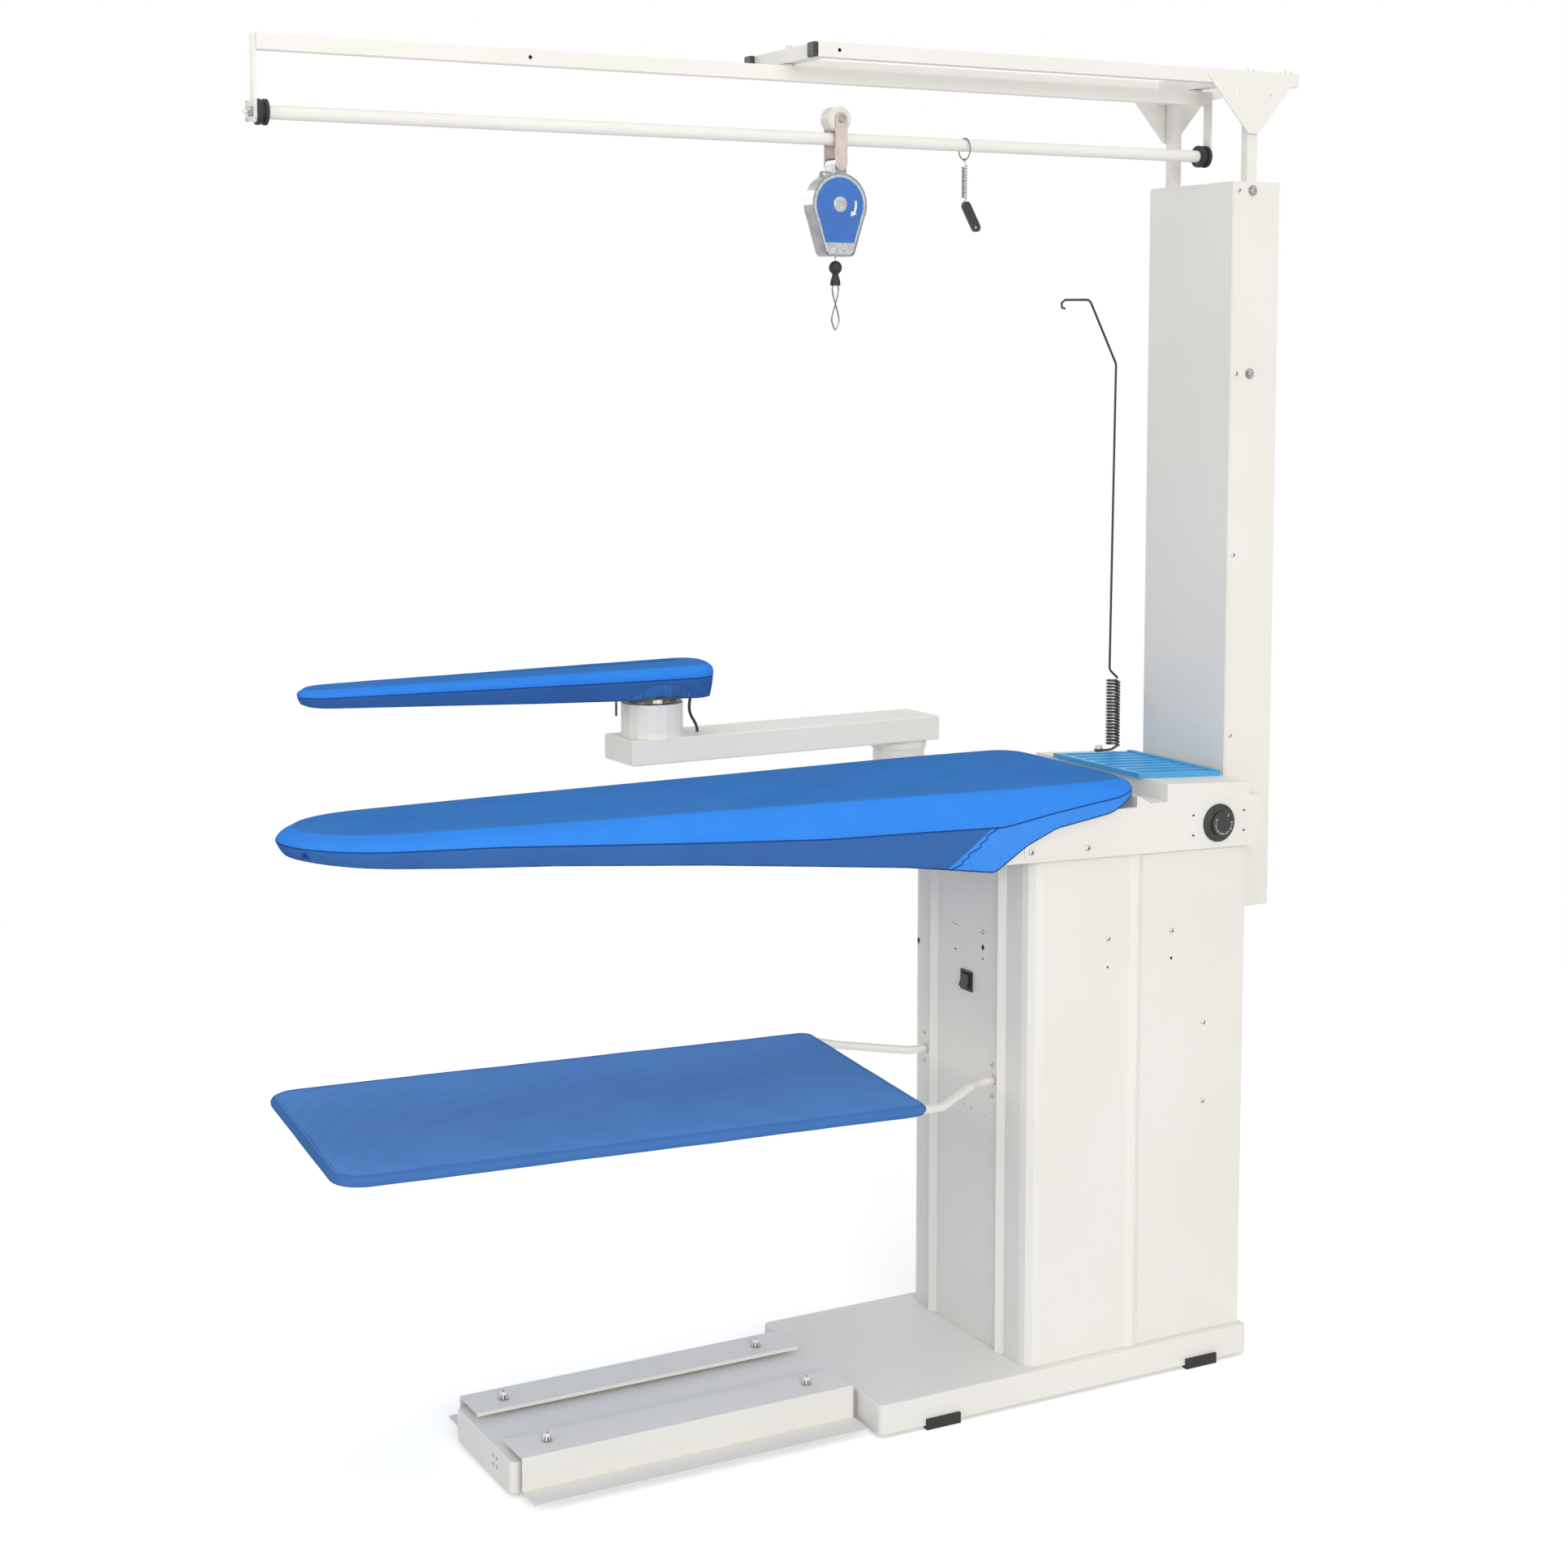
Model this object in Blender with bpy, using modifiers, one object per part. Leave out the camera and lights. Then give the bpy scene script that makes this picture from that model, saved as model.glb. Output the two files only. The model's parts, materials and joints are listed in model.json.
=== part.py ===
"""Vacuum ironing table with a swing-arm sleeve board, a cloth tray and an overhead rail.

Metres, +Z up. +X points from the board's nose to the column and +Y away from the
operator. Sizes are taken from the machine's middle plane and from the floor, and the
last step stands the origin under the middle of the whole object.
"""
import math

import bmesh
import bpy
import numpy as np
from mathutils import Matrix, Vector

OBJECT_NAME = "vacuum_ironing_table"

# Clearances and sheet
GAP = 0.0003
MERGE = 0.00005
OVERRUN = 0.004
SHEET = 0.002
SHEET_BEND = 0.003
THIN_TUBE_WALL = 0.0015

# Base pan, with its narrow pedal end
FLOOR_CLEARANCE = 0.0055
BASE_HEIGHT = 0.043
BASE_LEFT = -0.528
BASE_RIGHT = 0.120
BASE_HALF_WIDTH = 0.177
PEDAL_END_LEFT = -1.0545
PEDAL_END_HALF_WIDTH = 0.102
BASE_CORNER = 0.009
END_HOLE_RADIUS = 0.0035
END_HOLE_HEIGHT = 0.024
END_HOLE_SPACING = 0.012
END_HOLE_ACROSS = 0.052

# Rubber feet clipped on the skirt
FOOT_LENGTH = 0.056
FOOT_HEIGHT = 0.0155
FOOT_WALL = 0.004
FOOT_STRIP = 0.004
FOOT_FRONT_X = -0.425
FOOT_BACK_X = 0.0315
FOOT_PEDAL_X = -0.985

# Pedals: two Z-shaped bars on sprung studs
PEDAL_LEFT = -1.043
PEDAL_RIGHT = -0.537
PEDAL_WEB = 0.115
PEDAL_INNER_EDGE = 0.048
PEDAL_INNER_LIP = 0.003
PEDAL_OUTER_EDGE = 0.1605
PEDAL_TOP = 0.0585
PEDAL_FOOT_HEIGHT = 0.0105
STUD_ACROSS = 0.078
STUD_FRONT_X = -0.992
STUD_BACK_X = -0.592
STUD_RADIUS = 0.003
STUD_CLEARANCE = 0.0005
NUT_FLATS = 0.010
NUT_HEIGHT = 0.006
NUT_DOME = 0.0045
NUT_DOME_SHARE = 0.8
PEDAL_SPRING_WALL = 0.0012
SWITCH_PIN_X = -0.790
SWITCH_PIN_RADIUS = 0.0025
SWITCH_PIN_LENGTH = 0.014
SWITCH_PIN_CLEARANCE = 0.001
MICROSWITCH = (0.028, 0.010, 0.016)
MICROSWITCH_DEPTH = 0.0075
MICROSWITCH_BRACKET = 0.0015

# Cabinet
CABINET_LEFT = -0.273
CABINET_RIGHT = 0.1125
CABINET_HALF_WIDTH = 0.163
CABINET_CORNER = 0.022
CABINET_TOP = 0.7990
FRONT_RIB_NEAR_Y = -0.090
FRONT_RIB_FAR_Y = 0.097
FRONT_RIB_HALF = 0.011
FRONT_RIB_PROUD = 0.008
SIDE_RIB_X = -0.088
SIDE_RIB_HALF = 0.012
SIDE_RIB_PROUD = 0.0055
RIB_ROOT = 0.00003
BACK_PANEL_FOLD = 0.012
VENT_SLOT = (0.090, 0.004)
VENT_HEIGHT = 0.120
VENT_PITCH = 0.012
VENT_COUNT = 6

# Holes and screws of the cabinet's front and sides
PATTERN_X = (-0.137, -0.0225)
PATTERN_SCREW_HEIGHT = 0.6705
PATTERN_HOLE_HEIGHT = 0.6285
SIDE_SCREW_X = 0.039
SIDE_SCREW_HEIGHTS = (0.5245, 0.404)
FRONT_HOLES_SMALL = ((0.0365, 0.6295), (-0.038, 0.6295), (0.011, 0.397), (-0.008, 0.3965), (-0.045, 0.395))
FRONT_HOLES_LARGE = ((0.147, 0.6165), (-0.038, 0.6475))
FRONT_SCREWS = ((0.0375, 0.670), (-0.038, 0.6705))
TRAY_SCREWS = ((0.125, 0.481), (0.125, 0.4368), (-0.066, 0.4765), (-0.066, 0.4295))
SMALL_HOLE_RADIUS = 0.0016
LARGE_HOLE_RADIUS = 0.004
SCREW_HEAD_RADIUS = 0.0035
SCREW_HEAD_HEIGHT = 0.0020
SCREW_TOP_SHARE = 0.75
HEAD_SINK = 0.0004

# Power switch in the cabinet's front
SWITCH_Y = 0.0035
SWITCH_HEIGHT = 0.589
SWITCH_BEZEL = (0.030, 0.030)
SWITCH_BEZEL_PROUD = 0.003
SWITCH_BODY = (0.026, 0.0265)
SWITCH_BODY_DEPTH = 0.022
SWITCH_POCKET = (0.022, 0.0235)
SWITCH_POCKET_DEPTH = 0.012
ROCKER_PLAY = 0.0005
ROCKER_HALF_HEIGHT = 0.0105
ROCKER_ROOT_HALF = 0.007
ROCKER_ROOT_DEPTH = 0.006
ROCKER_EDGE_PROUD = 0.0045
ROCKER_MID_PROUD = 0.0025
ROCKER_TILT = math.radians(10)

# Suction unit in the cabinet
BLOWER_X = -0.080
MOTOR_RADIUS = 0.062
MOTOR_HEIGHT = 0.115
MOTOR_SHAFT_RADIUS = 0.005
MOTOR_BORE_DEPTH = 0.030
BLOWER_RADIUS = 0.120
BLOWER_HEIGHT = 0.075
BLOWER_WALL = 0.003
IMPELLER_RADIUS = 0.095
IMPELLER_HUB_RADIUS = 0.020
IMPELLER_DISC = 0.003
IMPELLER_HEIGHT = 0.050
IMPELLER_CLEARANCE = 0.006
IMPELLER_BLADES = 7
BLADE_HALF = 0.0015
DUCT_RADIUS = 0.040
DUCT_WALL = 0.002
OUTLET_HALF_WIDTH = 0.050
OUTLET_MARGIN = 0.012

# Head: floor plate, housing, access plate
HEAD_HALF_WIDTH = 0.172
HEAD_LEFT = -0.346
HEAD_LEFT_BOTTOM = 0.7995
HEAD_RIGHT = 0.134
HEAD_RIGHT_BOTTOM = 0.788
HEAD_EAR_TOP = 0.864
HEAD_EAR_LEFT = 0.112
HEAD_BACK_X = 0.108
HEAD_BACK_TOP = 0.8847
HEAD_STEP_X = -0.040
HEAD_STEP_TOP = 0.8922
HEAD_LEDGE_RIGHT = 0.8655
HEAD_LEDGE_X = -0.070
HEAD_LEDGE_LEFT = 0.8665
HEAD_RIDGE_X = -0.0905
HEAD_RIDGE_TOP = 0.8780
HEAD_RIDGE_WIDTH = 0.004
HEAD_FLOOR = 0.003
HEAD_FLOOR_LEFT = -0.330
HEAD_FLOOR_RIGHT = 0.106
ACCESS_LEFT = -0.291
ACCESS_RIGHT = -0.174
ACCESS_BOTTOM = 0.8035
ACCESS_TOP = 0.8565
ACCESS_SHEET = 0.0012
ACCESS_CORNER = 0.006
ACCESS_SCREWS = ((-0.2796, 0.8131), (-0.182, 0.8106))
PLATE_SCREW_RADIUS = 0.0045

# Vacuum dial on the head
DIAL_X = 0.0542
DIAL_HEIGHT = 0.8271
DIAL_SKIRT_RADIUS = 0.0285
DIAL_SKIRT_HEIGHT = 0.004
DIAL_CAP_RADIUS = 0.019
DIAL_HEIGHT_PROUD = 0.013
DIAL_SHAFT_RADIUS = 0.003
REGULATOR_RADIUS = 0.014
REGULATOR_DEPTH = 0.022
DIAL_HOLES_ACROSS = 0.047
DIAL_HOLES_UP = 0.015

# Iron rest: a ribbed silicone mat
REST_LEFT = -0.048
REST_RIGHT = 0.103
REST_HALF_WIDTH = 0.112
REST_BASE = 0.0025
REST_RIB_HEIGHT = 0.0045
REST_RIB_WIDTH = 0.011
REST_RIBS = 9
REST_BAR_WIDTH = 0.010
REST_BAR_HEIGHT = 0.009

# Main board: tub, chamber, grid and padded cover
BOARD_RIGHT = -0.095
BOARD_NOSE = -1.307
BOARD_HALF_WIDTH = 0.161
BOARD_CORNER = 0.045
BOARD_TOP = 0.9055
BOARD_NOSE_RISE = 0.006
BOARD_DEPTH = 0.120
BOARD_PAD = 0.008
BOARD_CROWN = 0.0015
BOARD_CROWN_INSET = 0.045
BOARD_EDGE = 0.004
BOARD_SEAM_OUTSET = 0.0195
BOARD_SKIRT = 0.0015
BOARD_HEM_DRAW = 0.010
# Half width of the board's top, seam drop, hem drop and hem draw along its length
BOARD_HALF_SHARES = ((0.0, 1.0), (0.15, 1.0), (0.215, 0.98), (0.417, 0.87), (0.747, 0.714), (0.887, 0.621))
BOARD_STATION_SHARES = (0.066, 0.111, 0.135, 0.161, 0.182, 0.204, 0.252, 0.317, 0.42, 0.56, 0.74, 0.887)
BOARD_SEAM_SHARES = (
    (0.0, 0.117), (0.03, 0.2), (0.12, 0.31), (0.19, 0.425), (0.28, 0.408), (0.42, 0.388), (0.56, 0.3125),
    (0.80, 0.167), (1.0, 0.105)
)
BOARD_HEM_SHARES = (
    (0.0, 0.20), (0.01, 0.20), (0.041, 0.38), (0.12, 0.50), (0.161, 0.675), (0.204, 0.958), (0.252, 0.892),
    (0.317, 0.808), (0.56, 0.575), (0.74, 0.43), (0.85, 0.368), (0.95, 0.296), (1.0, 0.245)
)
BOARD_DRAW_SHARES = ((0.0, 0.0), (0.208, 0.0), (0.30, 0.6), (1.0, 1.0))
WAIST_SHARE = 0.45
NOSE_POINTS = 10
CORNER_POINTS = 3
TUB_WALL = 0.0015
TUB_INSET = 0.003
TUB_BOTTOM = 0.8672
TUB_BOTTOM_SLOPE = 0.0177
TUB_TAPER = 0.006
GRID_SHEET = 0.0015
GRID_PLAY = 0.0007
GRID_SLOT = (0.120, 0.008)
GRID_SLOTS = 7
CHAMBER_LEFT = -0.950
CHAMBER_DEPTH = 0.062
CHAMBER_HALF_WIDTH = 0.098
CHAMBER_NOSE_DEPTH = 0.010
CHAMBER_MOUTH_MARGIN = 0.012

# Column
COLUMN_LEFT = 0.117
COLUMN_RIGHT = 0.2054
COLUMN_HALF_WIDTH = 0.102
COLUMN_BOTTOM = 0.6765
COLUMN_TOP_DROP = 0.163
COVER_FLANGE = 0.022
COLUMN_SCREW_X = 0.1285
COLUMN_SCREW_SHARES = (0.98818, 0.74064, 0.49291, 0.24273)
COLUMN_BOLT_X = 0.1538
COLUMN_BOLTS = 2
BOLT_FLATS = 0.008
BOLT_HEAD = 0.0045
BOLT_RADIUS = 0.0025
WASHER_RADIUS = 0.008
WASHER_HEIGHT = 0.0012
FRAME_WASHER_RADIUS = 0.0064
SPACER_HALF_WIDTH = 0.080
SPACER_BOTTOM = 0.690
SPACER_TOP = 0.780

# Gantry: posts, gussets, top frame
POST = (0.0187, 0.0140)
POST_LEFT = 0.1444
POST_OUTER = 0.0997
POST_DEPTH = 0.3465
FRAME_TUBE = 0.020
FRAME_LEFT = -0.5885
FRAME_RIGHT = 0.2377
FRAME_TOP = 1.9395
FRAME_OUTER = 0.1025
END_CAP = 0.007
CROSS_LEFT_X = -0.5785
CROSS_RIGHT_X = 0.125
FRAME_HOLE_X = -0.5556
FRAME_HOLE_RADIUS = 0.003
FRAME_BOLT_X = (0.1538, 0.2244)
GUSSET_LEFT = 0.0657
GUSSET_CUT_X = 0.221
GUSSET_CUT_DROP = 0.022
GUSSET_LEFT_DROP = 0.008
GUSSET_FOOT_LEFT = 0.1426
GUSSET_FOOT_RIGHT = 0.1616
GUSSET_DROP = 0.092
GUSSET_HOLES_X = (0.1245, 0.1831)
GUSSET_HOLE_DROP = 0.035
GUSSET_HOLE_RADIUS = 0.002

# Beam and rail under the top frame
BEAM_LEFT = -1.336
BEAM_RIGHT = 0.1457
BEAM_DROP = 0.023
BEAM_HOLE_X = -0.969
BEAM_HOLE_RADIUS = 0.003
SPACER_RADIUS = 0.009
TAB_WIDTH = 0.015
TAB_THICK = 0.004
TAB_BELOW_RAIL = 0.014
RAIL_RADIUS = 0.009
RAIL_DROP = 0.1195
RAIL_LEFT = -1.3214
RAIL_RIGHT = 0.128
STOPPER_RADIUS = 0.0165
STOPPER_GROOVE = 0.0035
RAIL_SCREW_RADIUS = 0.003
RAIL_SCREW_OUT = 0.012
WING_HUB_RADIUS = 0.006
WING_HUB_LENGTH = 0.006
WING_SPAN = 0.013
WING_THICK = 0.0022

# Trolley and spring balancer
TROLLEY_X = -0.504
ROLLER_RADIUS = 0.018
ROLLER_LENGTH = 0.029
ROLLER_EDGE = 0.003
ROLLER_BORE_PLAY = 0.0003
STRAP_GAP = 0.0155
STRAP_THICK = 0.002
STRAP_WIDTH = 0.019
RIVET_DROP = 0.0618
RIVET_RADIUS = 0.0025
RIVET_HEAD = 0.0015
TROLLEY_BOLT_RADIUS = 0.003
DRUM_DROP = 0.0565
CASE_RADIUS = 0.044
CASE_HALF_DEPTH = 0.013
CASE_FOOT_HALF = 0.024
CASE_FOOT_DROP = 0.0725
CASE_EAR_HALF = 0.020
CASE_EAR_RISE = 0.047
CASE_EAR_HOLES = 0.012
CASE_EAR_HOLE_RADIUS = 0.0022
LUG_HALF = 0.009
CASE_COVER = 0.003
CASE_RIM = SHEET + GAP
CASE_EDGE = 0.004
CASE_AXLE_RADIUS = 0.004
SPRING_DRUM_RADIUS = 0.033
SPRING_DRUM_DEPTH = 0.012
BALL_DROP = 0.1444
BALL_RADIUS = 0.0097
BALL_NECK_RADIUS = 0.0045
DOME_TOP_DROP = 0.0110
DOME_RADIUS = 0.0075
DOME_BOTTOM_DROP = 0.0250
CABLE_RADIUS = 0.001
CABLE_HOLE_RADIUS = 0.003
HOOK_WIRE = 0.0011
HOOK_EYE_HALF = 0.0050
HOOK_LOOP_HALF = 0.0058
HOOK_TWIST_DROP = 0.028
HOOK_DROP = 0.0635
HOOK_CROSSING = 0.0015

# Cord hanger: ring, spring and clip on the rail
RING_X = -0.290
RING_RADIUS = 0.0155
RING_WIRE = 0.001
HANGER_EYE_RADIUS = 0.0024
HANGER_WIRE = 0.0006
HANGER_COIL_RADIUS = 0.0039
HANGER_COIL_TOP_DROP = 0.0095
HANGER_COIL_LENGTH = 0.0447
HANGER_CURLS = 18
CLIP_LEAN = math.radians(-29)
CLIP_LENGTH = 0.048
CLIP_HALF_WIDTH = 0.0065
CLIP_THICK = 0.008
CLIP_HOLE_RADIUS = 0.0032
CLIP_SCREW_RADIUS = 0.0025
CLIP_SCREW_HEAD = 0.0012
CLIP_SCREW_SHARE = 0.42

# Cord wire: a standing spring wire on the head
WIRE_BOLT_X = 0.060
WIRE_Y = 0.142
WIRE_RADIUS = 0.002
WIRE_EYE_RADIUS = 0.0065
WIRE_COIL_X = 0.0865
WIRE_COIL_RADIUS = 0.010
WIRE_COIL_BOTTOM = 0.8985
WIRE_WASHER_HEIGHT = 0.0035
WIRE_CURLS = 21
WIRE_PITCH = 0.00505
WIRE_END_GAP = 0.0007
WIRE_KNEE = (-0.0022, 1.5055)
WIRE_SHOULDER = (-0.0537, 1.6052)
WIRE_TIP = (-0.1005, 1.6045)
WIRE_HOOK = 0.007

# Sleeve board: bracket, post, arm, cup
POST_X = -0.111
POST_Y = 0.477
NECK_RADIUS = 0.0435
NECK_BOTTOM = 0.690
COLLAR_RADIUS = 0.047
COLLAR_HEIGHT = 0.010
COLLAR_TOP = 0.8765
POST_BORE = 0.0365
BRACKET_HALF_WIDTH = 0.025
BRACKET_BOTTOM = 0.700
BRACKET_TOP = 0.750
BRACKET_WALL = 0.0025
BRACKET_PLATE = 0.0085
BRACKET_PLATE_MARGIN = 0.015
BRACKET_PLATE_TOP = 0.765
BRACKET_PLATE_BOTTOM = 0.615
ARM_TURN = math.radians(2)
ARM_LEFT = -0.5245
ARM_RIGHT = 0.0493
ARM_HALF_WIDTH = 0.050
ARM_BOTTOM = 0.8805
ARM_TOP = 0.9205
ARM_WALL = 0.002
SPIGOT_LENGTH = 0.080
SPIGOT_WALL = 0.003
SPIGOT_PLAY = 0.0011
CUP_X = -0.465
CUP_RADIUS = 0.0495
CUP_TOP = 0.9735
CUP_WALL = 0.003
CUP_SKIRT_RADIUS = 0.053
CUP_SKIRT_HEIGHT = 0.008
CUP_SCREW_HEIGHT = 0.9585
RING_FLANGE_RADIUS = 0.046
RING_FLANGE_TOP = 0.9820
RING_SPIGOT_LENGTH = 0.040
SLEEVE_TURN = math.radians(-7)
SLEEVE_PIN_RADIUS = 0.002
SLEEVE_PIN_PLACE = (-0.067, -0.020)
SLEEVE_PIN_LENGTH = 0.027
SLEEVE_CABLE_RADIUS = 0.0025
SLEEVE_CABLE_POINTS = (
    (0.0660, -0.006, 0.9816), (0.0657, -0.006, 0.9770), (0.0645, -0.006, 0.9700), (0.0637, -0.006, 0.9620),
    (0.0645, -0.006, 0.9540), (0.0675, -0.006, 0.9460), (0.0725, -0.006, 0.9380), (0.0765, -0.006, 0.9300),
    (0.0780, -0.006, 0.9230)
)
CABLE_ENTRY_DEPTH = 0.010

# Sleeve board's plan and section, in its own frame on the cup
SLEEVE_RIGHT = 0.0905
SLEEVE_NOSE = -0.558
SLEEVE_HALF_WIDTH = 0.052
SLEEVE_CORNER = 0.040
SLEEVE_TOP = 1.0365
SLEEVE_NOSE_RISE = -0.0125
SLEEVE_DEPTH = 0.054
SLEEVE_PAD = 0.006
SLEEVE_CROWN = 0.001
SLEEVE_CROWN_INSET = 0.018
SLEEVE_EDGE = 0.003
SLEEVE_SEAM_OUTSET = 0.0065
SLEEVE_SKIRT = 0.0015
SLEEVE_HEM_DRAW = 0.0065
SLEEVE_HALF_SHARES = ((0.0, 1.0), (0.12, 1.0), (0.40, 0.86), (0.70, 0.72), (0.94, 0.60))
SLEEVE_STATION_SHARES = (0.12, 0.20, 0.28, 0.45, 0.62, 0.78, 0.94)
SLEEVE_SEAM_SHARES = ((0.0, 0.40), (0.35, 0.44), (0.71, 0.46), (1.0, 0.48))
SLEEVE_HEM_SHARES = ((0.0, 1.0), (0.28, 0.97), (0.45, 0.93), (0.66, 0.86), (1.0, 0.755))
SLEEVE_DRAW_SHARES = ((0.0, 1.0), (1.0, 1.0))
SLEEVE_NOSE_POINTS = 8
SLEEVE_PORT_RADIUS = 0.030
SLEEVE_TUB_BOTTOM = 0.9823
SLEEVE_TUB_SLOPE = 0.046

# Cloth tray: tube frame with a cloth sleeve
TRAY_X = -0.870
TRAY_Y = 0.025
TRAY_HEIGHT = 0.4791
TRAY_TURN = math.radians(-4.2)
TRAY_TILT_X = math.radians(0.9)
TRAY_TILT_Y = math.radians(0.45)
TRAY_HALF_LENGTH = 0.419
TRAY_HALF_WIDTH = 0.2025
TRAY_TUBE_RADIUS = 0.0065
TRAY_CLOTH = 0.0012
TRAY_CLOTH_PLAY = 0.0004
TRAY_EXIT_INSET = 0.020
TRAY_BEND = 0.040
TRAY_FAR_BEND = (-0.402, 0.170, 0.4665)
TRAY_NEAR_BEND = (-0.420, -0.163, 0.4600)
TRAY_NEAR_RISE = (-0.340, -0.112, 0.4655)
TRAY_FAR_END = (0.1215, 0.4568)
TRAY_NEAR_END = (-0.070, 0.4550)
TRAY_STRAIGHT = 0.030
SOCKET = (0.030, 0.030, 0.060)
SOCKET_DEPTH = 0.015

# Counts of sides and steps
ROUND_SIDES = 16
FINE_SIDES = 20
SMALL_SIDES = 8
SCREW_SIDES = 6
HEX = 6
ARC_STEPS = 3
TUBE_RESOLUTION = 2
COIL_RESOLUTION = 1
CURL_POINTS = 8
SMOOTH_ANGLE = math.radians(35)
FLAT_ANGLE = math.radians(0.05)
OPEN_FACE_COSINE = 0.9

# Heights and places that follow from the sizes above
BASE_TOP = FLOOR_CLEARANCE + BASE_HEIGHT
PEDAL_FLANGE_BOTTOM = PEDAL_TOP - SHEET
COLUMN_TOP = FRAME_TOP - COLUMN_TOP_DROP
COLUMN_SCREW_HEIGHTS = tuple(
    COLUMN_BOTTOM + share * (COLUMN_TOP - COLUMN_BOTTOM) for share in COLUMN_SCREW_SHARES
)
COLUMN_BOLT_HEIGHTS = COLUMN_SCREW_HEIGHTS[:COLUMN_BOLTS]
POST_BOTTOM = COLUMN_TOP - POST_DEPTH
GUSSET_FOOT = FRAME_TOP - GUSSET_DROP
GUSSET_HOLE_HEIGHT = FRAME_TOP - GUSSET_HOLE_DROP
BEAM_TOP = FRAME_TOP - BEAM_DROP
RAIL_HEIGHT = FRAME_TOP - RAIL_DROP
ROLLER_HEIGHT = RAIL_HEIGHT + RAIL_RADIUS + ROLLER_RADIUS + GAP
FRAME_BOTTOM = FRAME_TOP - FRAME_TUBE
BEAM_BOTTOM = BEAM_TOP - FRAME_TUBE
FRAME_MIDDLE = FRAME_OUTER - FRAME_TUBE / 2
RING_HEIGHT = RAIL_HEIGHT + RAIL_RADIUS + GAP - RING_RADIUS + RING_WIRE
WIRE_COIL_TOP = WIRE_COIL_BOTTOM + WIRE_CURLS * WIRE_PITCH

parts = None
cutters = None
origin = None


# Scene, materials and object helpers
def clear_scene():
    for thing in list(bpy.data.objects):
        bpy.data.objects.remove(thing)


def finish(name, colour, roughness, metallic=0.0):
    """A plain Principled material; a repeated name returns the first one."""
    known = bpy.data.materials.get(name)
    if known:
        return known
    made = bpy.data.materials.new(name)
    made.use_nodes = True
    shader = made.node_tree.nodes["Principled BSDF"]
    shader.inputs["Base Color"].default_value = (*colour, 1.0)
    shader.inputs["Roughness"].default_value = roughness
    shader.inputs["Metallic"].default_value = metallic
    return made


def powder_coat():
    return finish("powder_coat", (0.80, 0.79, 0.76), 0.45)


def galvanised():
    return finish("galvanised", (0.55, 0.56, 0.57), 0.40, 1.0)


def bright_steel():
    return finish("bright_steel", (0.75, 0.75, 0.74), 0.22, 1.0)


def black_plastic():
    return finish("black_plastic", (0.035, 0.035, 0.035), 0.45)


def black_rubber():
    return finish("black_rubber", (0.03, 0.03, 0.03), 0.75)


def blue_cloth():
    return finish("blue_cloth", (0.05, 0.20, 0.55), 0.85)


def pivot(name, at, turn=(0, 0, 0), parent=None):
    """An empty on a joint's axis; the pieces of the moving body hang on it."""
    empty = bpy.data.objects.new(name, None)
    empty.location = at
    empty.rotation_euler = turn
    empty.parent = parent or origin
    parts.objects.link(empty)
    return empty


def adopt(name, mesh, material, parent=None, at=(0, 0, 0), turn=(0, 0, 0)):
    made = bpy.data.objects.new(name, mesh)
    mesh.materials.clear()
    mesh.materials.append(material)
    made.location = at
    made.rotation_euler = turn
    made.parent = parent or origin
    parts.objects.link(made)
    return made


def smooth(mesh):
    mesh.shade_smooth()
    mesh.set_sharp_from_angle(angle=SMOOTH_ANGLE)


def from_bmesh(name, bm, material, parent=None, at=(0, 0, 0), turn=(0, 0, 0)):
    bmesh.ops.recalc_face_normals(bm, faces=bm.faces)
    mesh = bpy.data.meshes.new(name)
    bm.to_mesh(mesh)
    bm.free()
    smooth(mesh)
    return adopt(name, mesh, material, parent, at, turn)


def add_box(bm, low, high):
    low, high = Vector(low), Vector(high)
    place = Matrix.Translation((low + high) / 2) @ Matrix.Diagonal((*(high - low), 1))
    bmesh.ops.create_cube(bm, size=1, matrix=place)


def add_rod(bm, start, end, radius, sides=SMALL_SIDES, end_radius=None):
    start, end = Vector(start), Vector(end)
    run = end - start
    place = Matrix.Translation((start + end) / 2) @ run.to_track_quat("Z", "Y").to_matrix().to_4x4()
    top = radius if end_radius is None else end_radius
    bmesh.ops.create_cone(
        bm, cap_ends=True, segments=sides, radius1=radius, radius2=top, depth=run.length, matrix=place
    )


def box(name, low, high, material, parent=None, at=(0, 0, 0), turn=(0, 0, 0)):
    bm = bmesh.new()
    add_box(bm, low, high)
    return from_bmesh(name, bm, material, parent, at, turn)


def rods(name, spans, radius, material, parent=None, sides=SMALL_SIDES, at=(0, 0, 0)):
    """Straight round bars, one for each start and end in spans."""
    bm = bmesh.new()
    for start, end in spans:
        add_rod(bm, start, end, radius, sides)
    return from_bmesh(name, bm, material, parent, at)


AXIS_FRAMES = {
    "X": Matrix(((0, 0, 1), (1, 0, 0), (0, 1, 0))),
    "Y": Matrix(((1, 0, 0), (0, 0, -1), (0, 1, 0))),
    "Z": Matrix(((1, 0, 0), (0, 1, 0), (0, 0, 1))),
}
AXIS_TURNS = {"X": (0, math.pi / 2, 0), "Y": (math.pi / 2, 0, 0), "Z": (0, 0, 0), "-X": (0, -math.pi / 2, 0)}


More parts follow.
